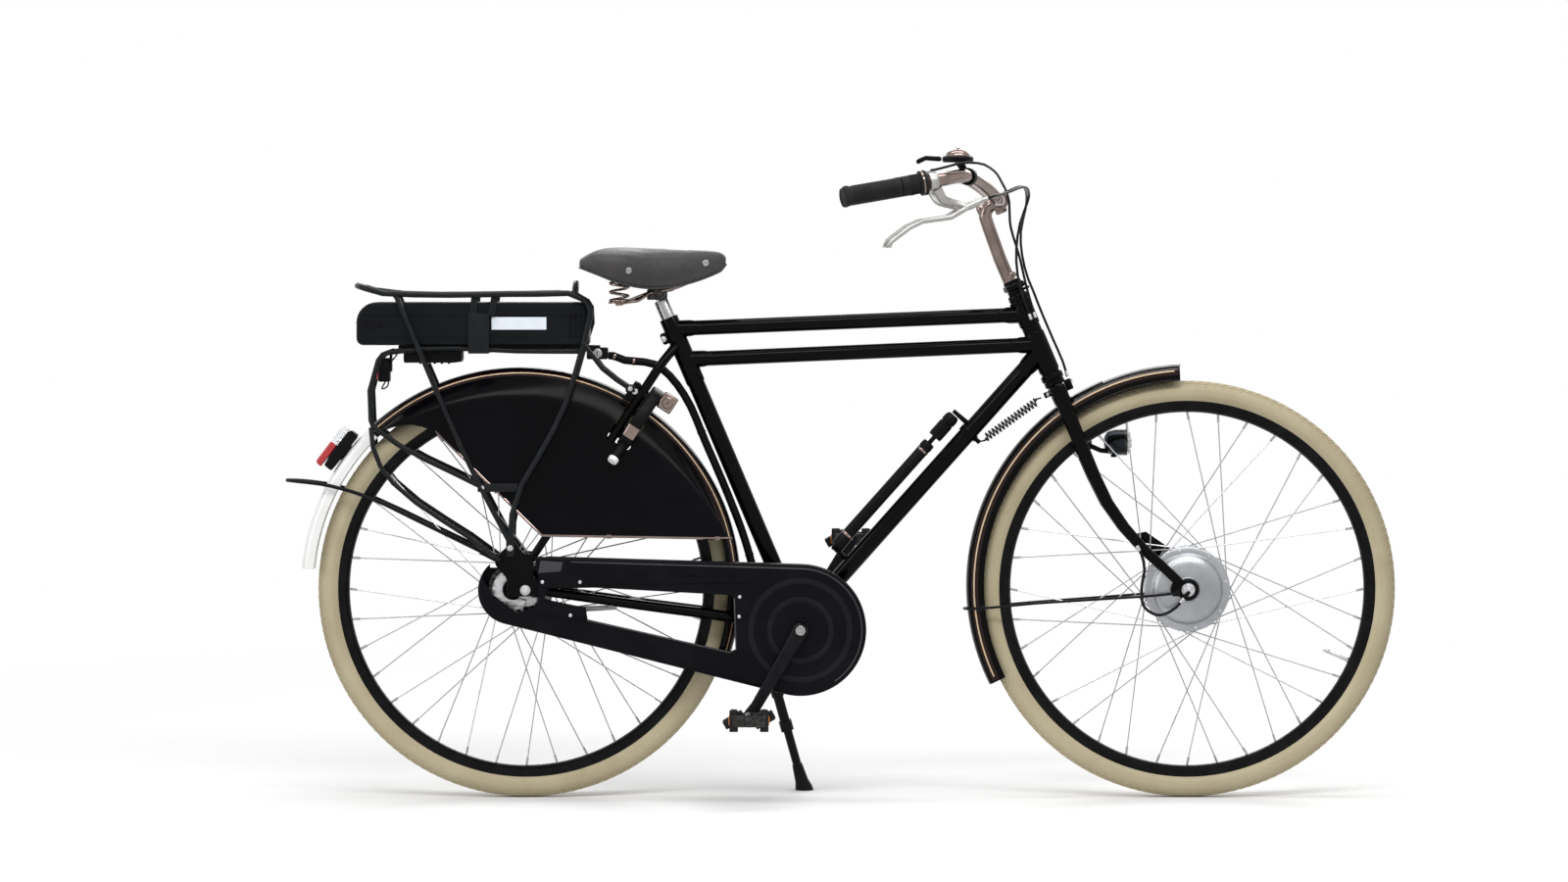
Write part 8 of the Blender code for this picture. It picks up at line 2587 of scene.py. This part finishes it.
for side, name in SIDES:
    foot_at, top_at = (-0.305, side * 0.052, 0.837), (-0.305, side * 0.052, 0.895)
    coil = spring(foot_at, top_at, 0.015, 0.0021, 4.0, NICKEL, 0.0, True)
    made = piece(
        f"saddle_coil_{name}", [coil], NICKEL, "saddle_post", BIKE, f"saddle_spring_{name}",
    )
    tuple(BIKE @ Vector(foot_at))
    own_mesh(made)
print("saddle frame done")

# %% [markdown]
# ## Saddle
# The cover starts as a lofted skin with some thickness. It is remeshed, then a short cloth simulation with
# inside pressure fills it like a pad. The skirt's edge is pinned, and no point may move further than a cap.

# %% Saddle cover
SADDLE_REAR, SADDLE_TOP, SADDLE_LENGTH = -0.3712, 0.9236, 0.246
STATIONS = (
    (0.0, 0.066, 0.017, 0.031), (0.024, 0.098, 0.003, 0.04), (0.072, 0.098, 0.0, 0.058),
    (0.12, 0.056, 0.002, 0.066), (0.175, 0.031, 0.0025, 0.06), (0.236, 0.021, 0.005, 0.038),
    (0.246, 0.01, 0.013, 0.026),
)
ACROSS = ((-1.0, 1.0), (-1.03, 0.66), (-1.02, 0.4), (-0.94, 0.17), (-0.72, 0.045), (-0.36, 0.006), (0.0, 0.0))
ACROSS = (*ACROSS, *[(-x, z) for x, z in ACROSS[-2::-1]])


def eased(table, at):
    """Smooth value between rows of a table whose first column is the place."""
    index = max(i for i in range(len(table) - 1) if table[i][0] <= at or i == 0)
    a, b = table[index], table[index + 1]
    before, after = table[max(index - 1, 0)], table[min(index + 2, len(table) - 1)]
    span = b[0] - a[0]
    t = (at - a[0]) / span
    found = []
    for column in range(1, len(a)):
        m0 = (b[column] - before[column]) / (b[0] - before[0]) * span
        m1 = (after[column] - a[column]) / (after[0] - a[0]) * span
        start = (2 * t**3 - 3 * t**2 + 1) * a[column] + (t**3 - 2 * t**2 + t) * m0
        found.append(start + (3 * t**2 - 2 * t**3) * b[column] + (t**3 - t**2) * m1)
    return found


def cover_point(distance, place, inward=0.0):
    """A point of the cover: distance from its rear, place along its section from 0 to 1."""
    half, drop, depth = eased(STATIONS, distance)
    at = place * (len(ACROSS) - 1)
    index = min(int(at), len(ACROSS) - 2)
    (a, c), (b, d) = ACROSS[index], ACROSS[index + 1]
    share, fall = a + (b - a) * (at - index), c + (d - c) * (at - index)
    y, z = share * max(half - inward, 0.002), SADDLE_TOP - drop - inward - (depth - drop - inward) * fall
    return Vector((SADDLE_REAR + distance, y, z))


def cover_skin(wall):
    places = [index / 40 for index in range(41)]
    rings = []
    for step in range(50):
        eased_step = 0.5 - 0.5 * math.cos(math.pi * step / 49)
        distance = SADDLE_LENGTH * eased_step * 0.6 + SADDLE_LENGTH * step / 49 * 0.4
        inner_at = min(max(distance, wall * 0.4), SADDLE_LENGTH - wall * 0.4)
        outer = [cover_point(distance, place) for place in places]
        inner = [cover_point(inner_at, place, wall) for place in reversed(places)]
        for point in inner:
            point.x = outer[0].x
        rings.append(outer + inner)
    return skin(rings)


def puffed(mesh, voxel, pressure, cap, pinned):
    """The mesh as a filled pad: remeshed, blown up by a short cloth simulation, and subdivided once."""
    holder = linked("pad", mesh)
    step = holder.modifiers.new("remesh", "REMESH")
    step.mode = "VOXEL"
    step.voxel_size = voxel
    pad = evaluated(holder)
    holder.modifiers.clear()
    holder.data = pad
    start = [vertex.co.copy() for vertex in pad.vertices]
    group = holder.vertex_groups.new(name="pinned")
    group.add([vertex.index for vertex in pad.vertices if pinned(vertex.co)], 1.0, "REPLACE")
    cloth = holder.modifiers.new("cloth", "CLOTH")
    cloth.settings.use_pressure = True
    cloth.settings.uniform_pressure_force = pressure
    cloth.settings.vertex_group_mass = "pinned"
    cloth.settings.quality = 5
    cloth.settings.effector_weights.gravity = 0.0
    cloth.point_cache.frame_start, cloth.point_cache.frame_end = 1, 20
    for frame_number in range(1, 21):
        scene.frame_set(frame_number)
    moved = evaluated(holder)
    holder.modifiers.clear()
    farthest = 0.0
    for vertex, old, new in zip(pad.vertices, start, moved.vertices):
        way = new.co - old
        farthest = max(farthest, way.length)
        vertex.co = old + way * min(1.0, cap / max(way.length, 1e-9))
    print("pad moved by up to", round(farthest * 1000, 2), "mm, capped at", cap * 1000)
    scene.frame_set(1)
    pad.update()
    soft = holder.modifiers.new("soft", "SUBSURF")
    soft.levels = soft.render_levels = 1
    done = evaluated(holder)
    holder.modifiers.clear()
    bpy.data.objects.remove(holder)
    print("pad faces", len(done.polygons))
    return done


def edge_height(co):
    """Height of the skirt's edge at this distance from the rear."""
    return SADDLE_TOP - eased(STATIONS, min(max(co.x - SADDLE_REAR, 0.0), SADDLE_LENGTH))[2]


COVER_WALL = 0.0085
padded_mesh = puffed(cover_skin(COVER_WALL), 0.0035, 4.0, 0.003, lambda co: co.z < edge_height(co) + 0.012)
cover_top = piece(
    "saddle_cover_pad", [padded_mesh], SADDLE_SKIN, "saddle", BIKE, "saddle_cover", 60.0,
)
hem = [cover_point(SADDLE_LENGTH * step / 60, 0.0) for step in range(61)]
hem += [cover_point(SADDLE_LENGTH * step / 60, 1.0) for step in range(60, -1, -1)]
trim = [sweep(hem, 0.0016, sides=10)]
piece("saddle_hem", trim, SADDLE_SKIN, "saddle", BIKE)
studs = []
for distance, place in ((0.083, 0.105), (0.212, 0.15)):
    for out, across_at in ((-1, place), (1, 1.0 - place)):
        spot = cover_point(distance, across_at)
        stud = lathe(
            [
                (0, 0.0016), (0.002, 0.0016), (0.0026, 0.0022), (0.004, 0.0022), (0.0054, 0.0012),
                (0.0058, 0.0), (0.0058, -0.002), (0, -0.002),
            ],
            28, place=shift(spot.x, spot.y + out * 0.0012, spot.z) @ turn("X", -90 * out),
        )
        studs.append(stud)
under = [
    block((0.034, 0.186, 0.003), (-0.305, 0.0, 0.899), 0.001),
    block((0.016, 0.022, 0.028), (PIVOT.x, 0.0, PIVOT.z + 0.015), 0.0024, 3),
]
piece("saddle_studs", studs, POLISHED_ALLOY, "saddle", BIKE)
piece("saddle_under_plates", under, DARK_STEEL, "saddle", BIKE)
print("saddle done")

# %% [markdown]
# ## Cables
# Each cable is a swept tube on its own path. The script measures its length on the path and prints it, and it
# goes back into the object at its far end. Metal ferrules close both ends.

# %% Cables
def cable(name, points, radius, body, place, stands_for, look=CABLE_SKIN, ferrules=True):
    line = bent(points, 12, 0.02)
    made = piece(name, [sweep(line, radius, sides=14)], look, body, place, stands_for)
    length = sum((b - a).length for a, b in zip(line, line[1:]))
    path = [tuple(place @ p) for p in line]
    if ferrules:
        caps = []
        for a, b in ((line[0], line[1]), (line[-1], line[-2])):
            way = (b - a).normalized()
            caps.append(rod(a - way * 0.0004, a + way * 0.0095, radius + 0.0007, radius + 0.0005, 18))
        piece(f"{name}_ferrules", caps, ZINC, body, place)
    print(name, "length", round(length, 4))


cable(
    "front_brake_line",
    (
        (0.0033, 0.2345, 0.3226), (0.011, 0.2342, 0.3224), (0.042, 0.185, 0.318), (0.084, 0.1, 0.313),
        (0.076, 0.048, 0.288), (0.044, 0.022, 0.24), (0.0272, 0.006, 0.1631), (0.0272, 0.0, 0.1471),
        (0.0262, 0.0, 0.1156), (0.0262, 0.0, 0.0609), (0.0262, 0.0, 0.01), (0.024, 0.0, -0.008),
    ),
    0.0022, "steering", STEER, "front_brake_cable",
)
cable(
    "rear_brake_line",
    (
        (0.0033, -0.2345, 0.3226), (0.011, -0.2342, 0.3224), (0.042, -0.185, 0.318), (0.082, -0.1, 0.3125),
        (0.08, -0.05, 0.295), (0.046, -0.033, 0.255), (0.02, -0.027, 0.205), (0.0075, -0.025, 0.155),
        (0.005, -0.0233, 0.105),
    ),
    0.0022, "steering", STEER, "rear_brake_cable",
)
shift_face = at_end(-1, 0.1403, 0.0184)
cable(
    "gear_line",
    (
        shift_face, at_end(-1, 0.1633, 0.0184), (-0.006, -0.241, 0.393), (0.024, -0.212, 0.38),
        (0.04, -0.17, 0.362), (0.047, -0.11, 0.338), (0.048, -0.055, 0.305), (0.034, -0.02, 0.262),
        (0.028, -0.0175, 0.21), (0.0185, -0.0205, 0.155), (0.0128, -0.02, 0.105),
    ),
    0.0022, "steering", STEER, "shift_cable",
)
motor_from = Vector((-0.008, -0.0655, -0.014))
motor_way = (motor_from - Vector((0.001, -0.0655, -0.002))).normalized()
cable(
    "motor_line",
    (
        motor_from, motor_from + motor_way * 0.006, (-0.022, -0.065, -0.03), (-0.052, -0.064, -0.042),
        (-0.074, -0.0635, -0.029), (-0.079, -0.063, 0.002), (-0.074, -0.063, 0.035), (-0.08, -0.0632, 0.062),
        (-0.087, -0.0632, 0.074),
    ),
    0.0026, "steering", FORK_END, "motor_cable",
)
port = on_seat(0.079) + behind * 0.0146
hose_line = (
    (-0.3237, 0.0, 0.744), (-0.318, 0.0, 0.744), (-0.295, 0.0, 0.736), (-0.27, 0.0, 0.7343),
    (-0.24, 0.0, 0.727), (-0.22, 0.0, 0.71), (-0.196, 0.0, 0.678), (-0.159, 0.0, 0.596), (-0.115, 0.0, 0.492),
    (-0.099, 0.0, 0.45), (-0.0835, 0.0, 0.4), (-0.0735, 0.0, 0.365), port + behind * 0.007, port,
)
cable("battery_hose", hose_line, 0.0068, "frame", BIKE, "conduit_hose", FITTING_PLASTIC, False)
hose_points = bent(hose_line, 12, 0.02)
bands = []
for share in (0.06, 0.1, 0.4, 0.72):
    index = int(share * (len(hose_points) - 1))
    a, b = hose_points[index], hose_points[index + 1]
    way = (b - a).normalized()
    bands.append(rod(a, a + way * 0.004, 0.0075, 0.0075, 24))
piece("hose_ties", bands[2:], FITTING_PLASTIC, "frame", BIKE)
piece("hose_bands", bands[:2], NICKEL, "frame", BIKE)
print("cables done")
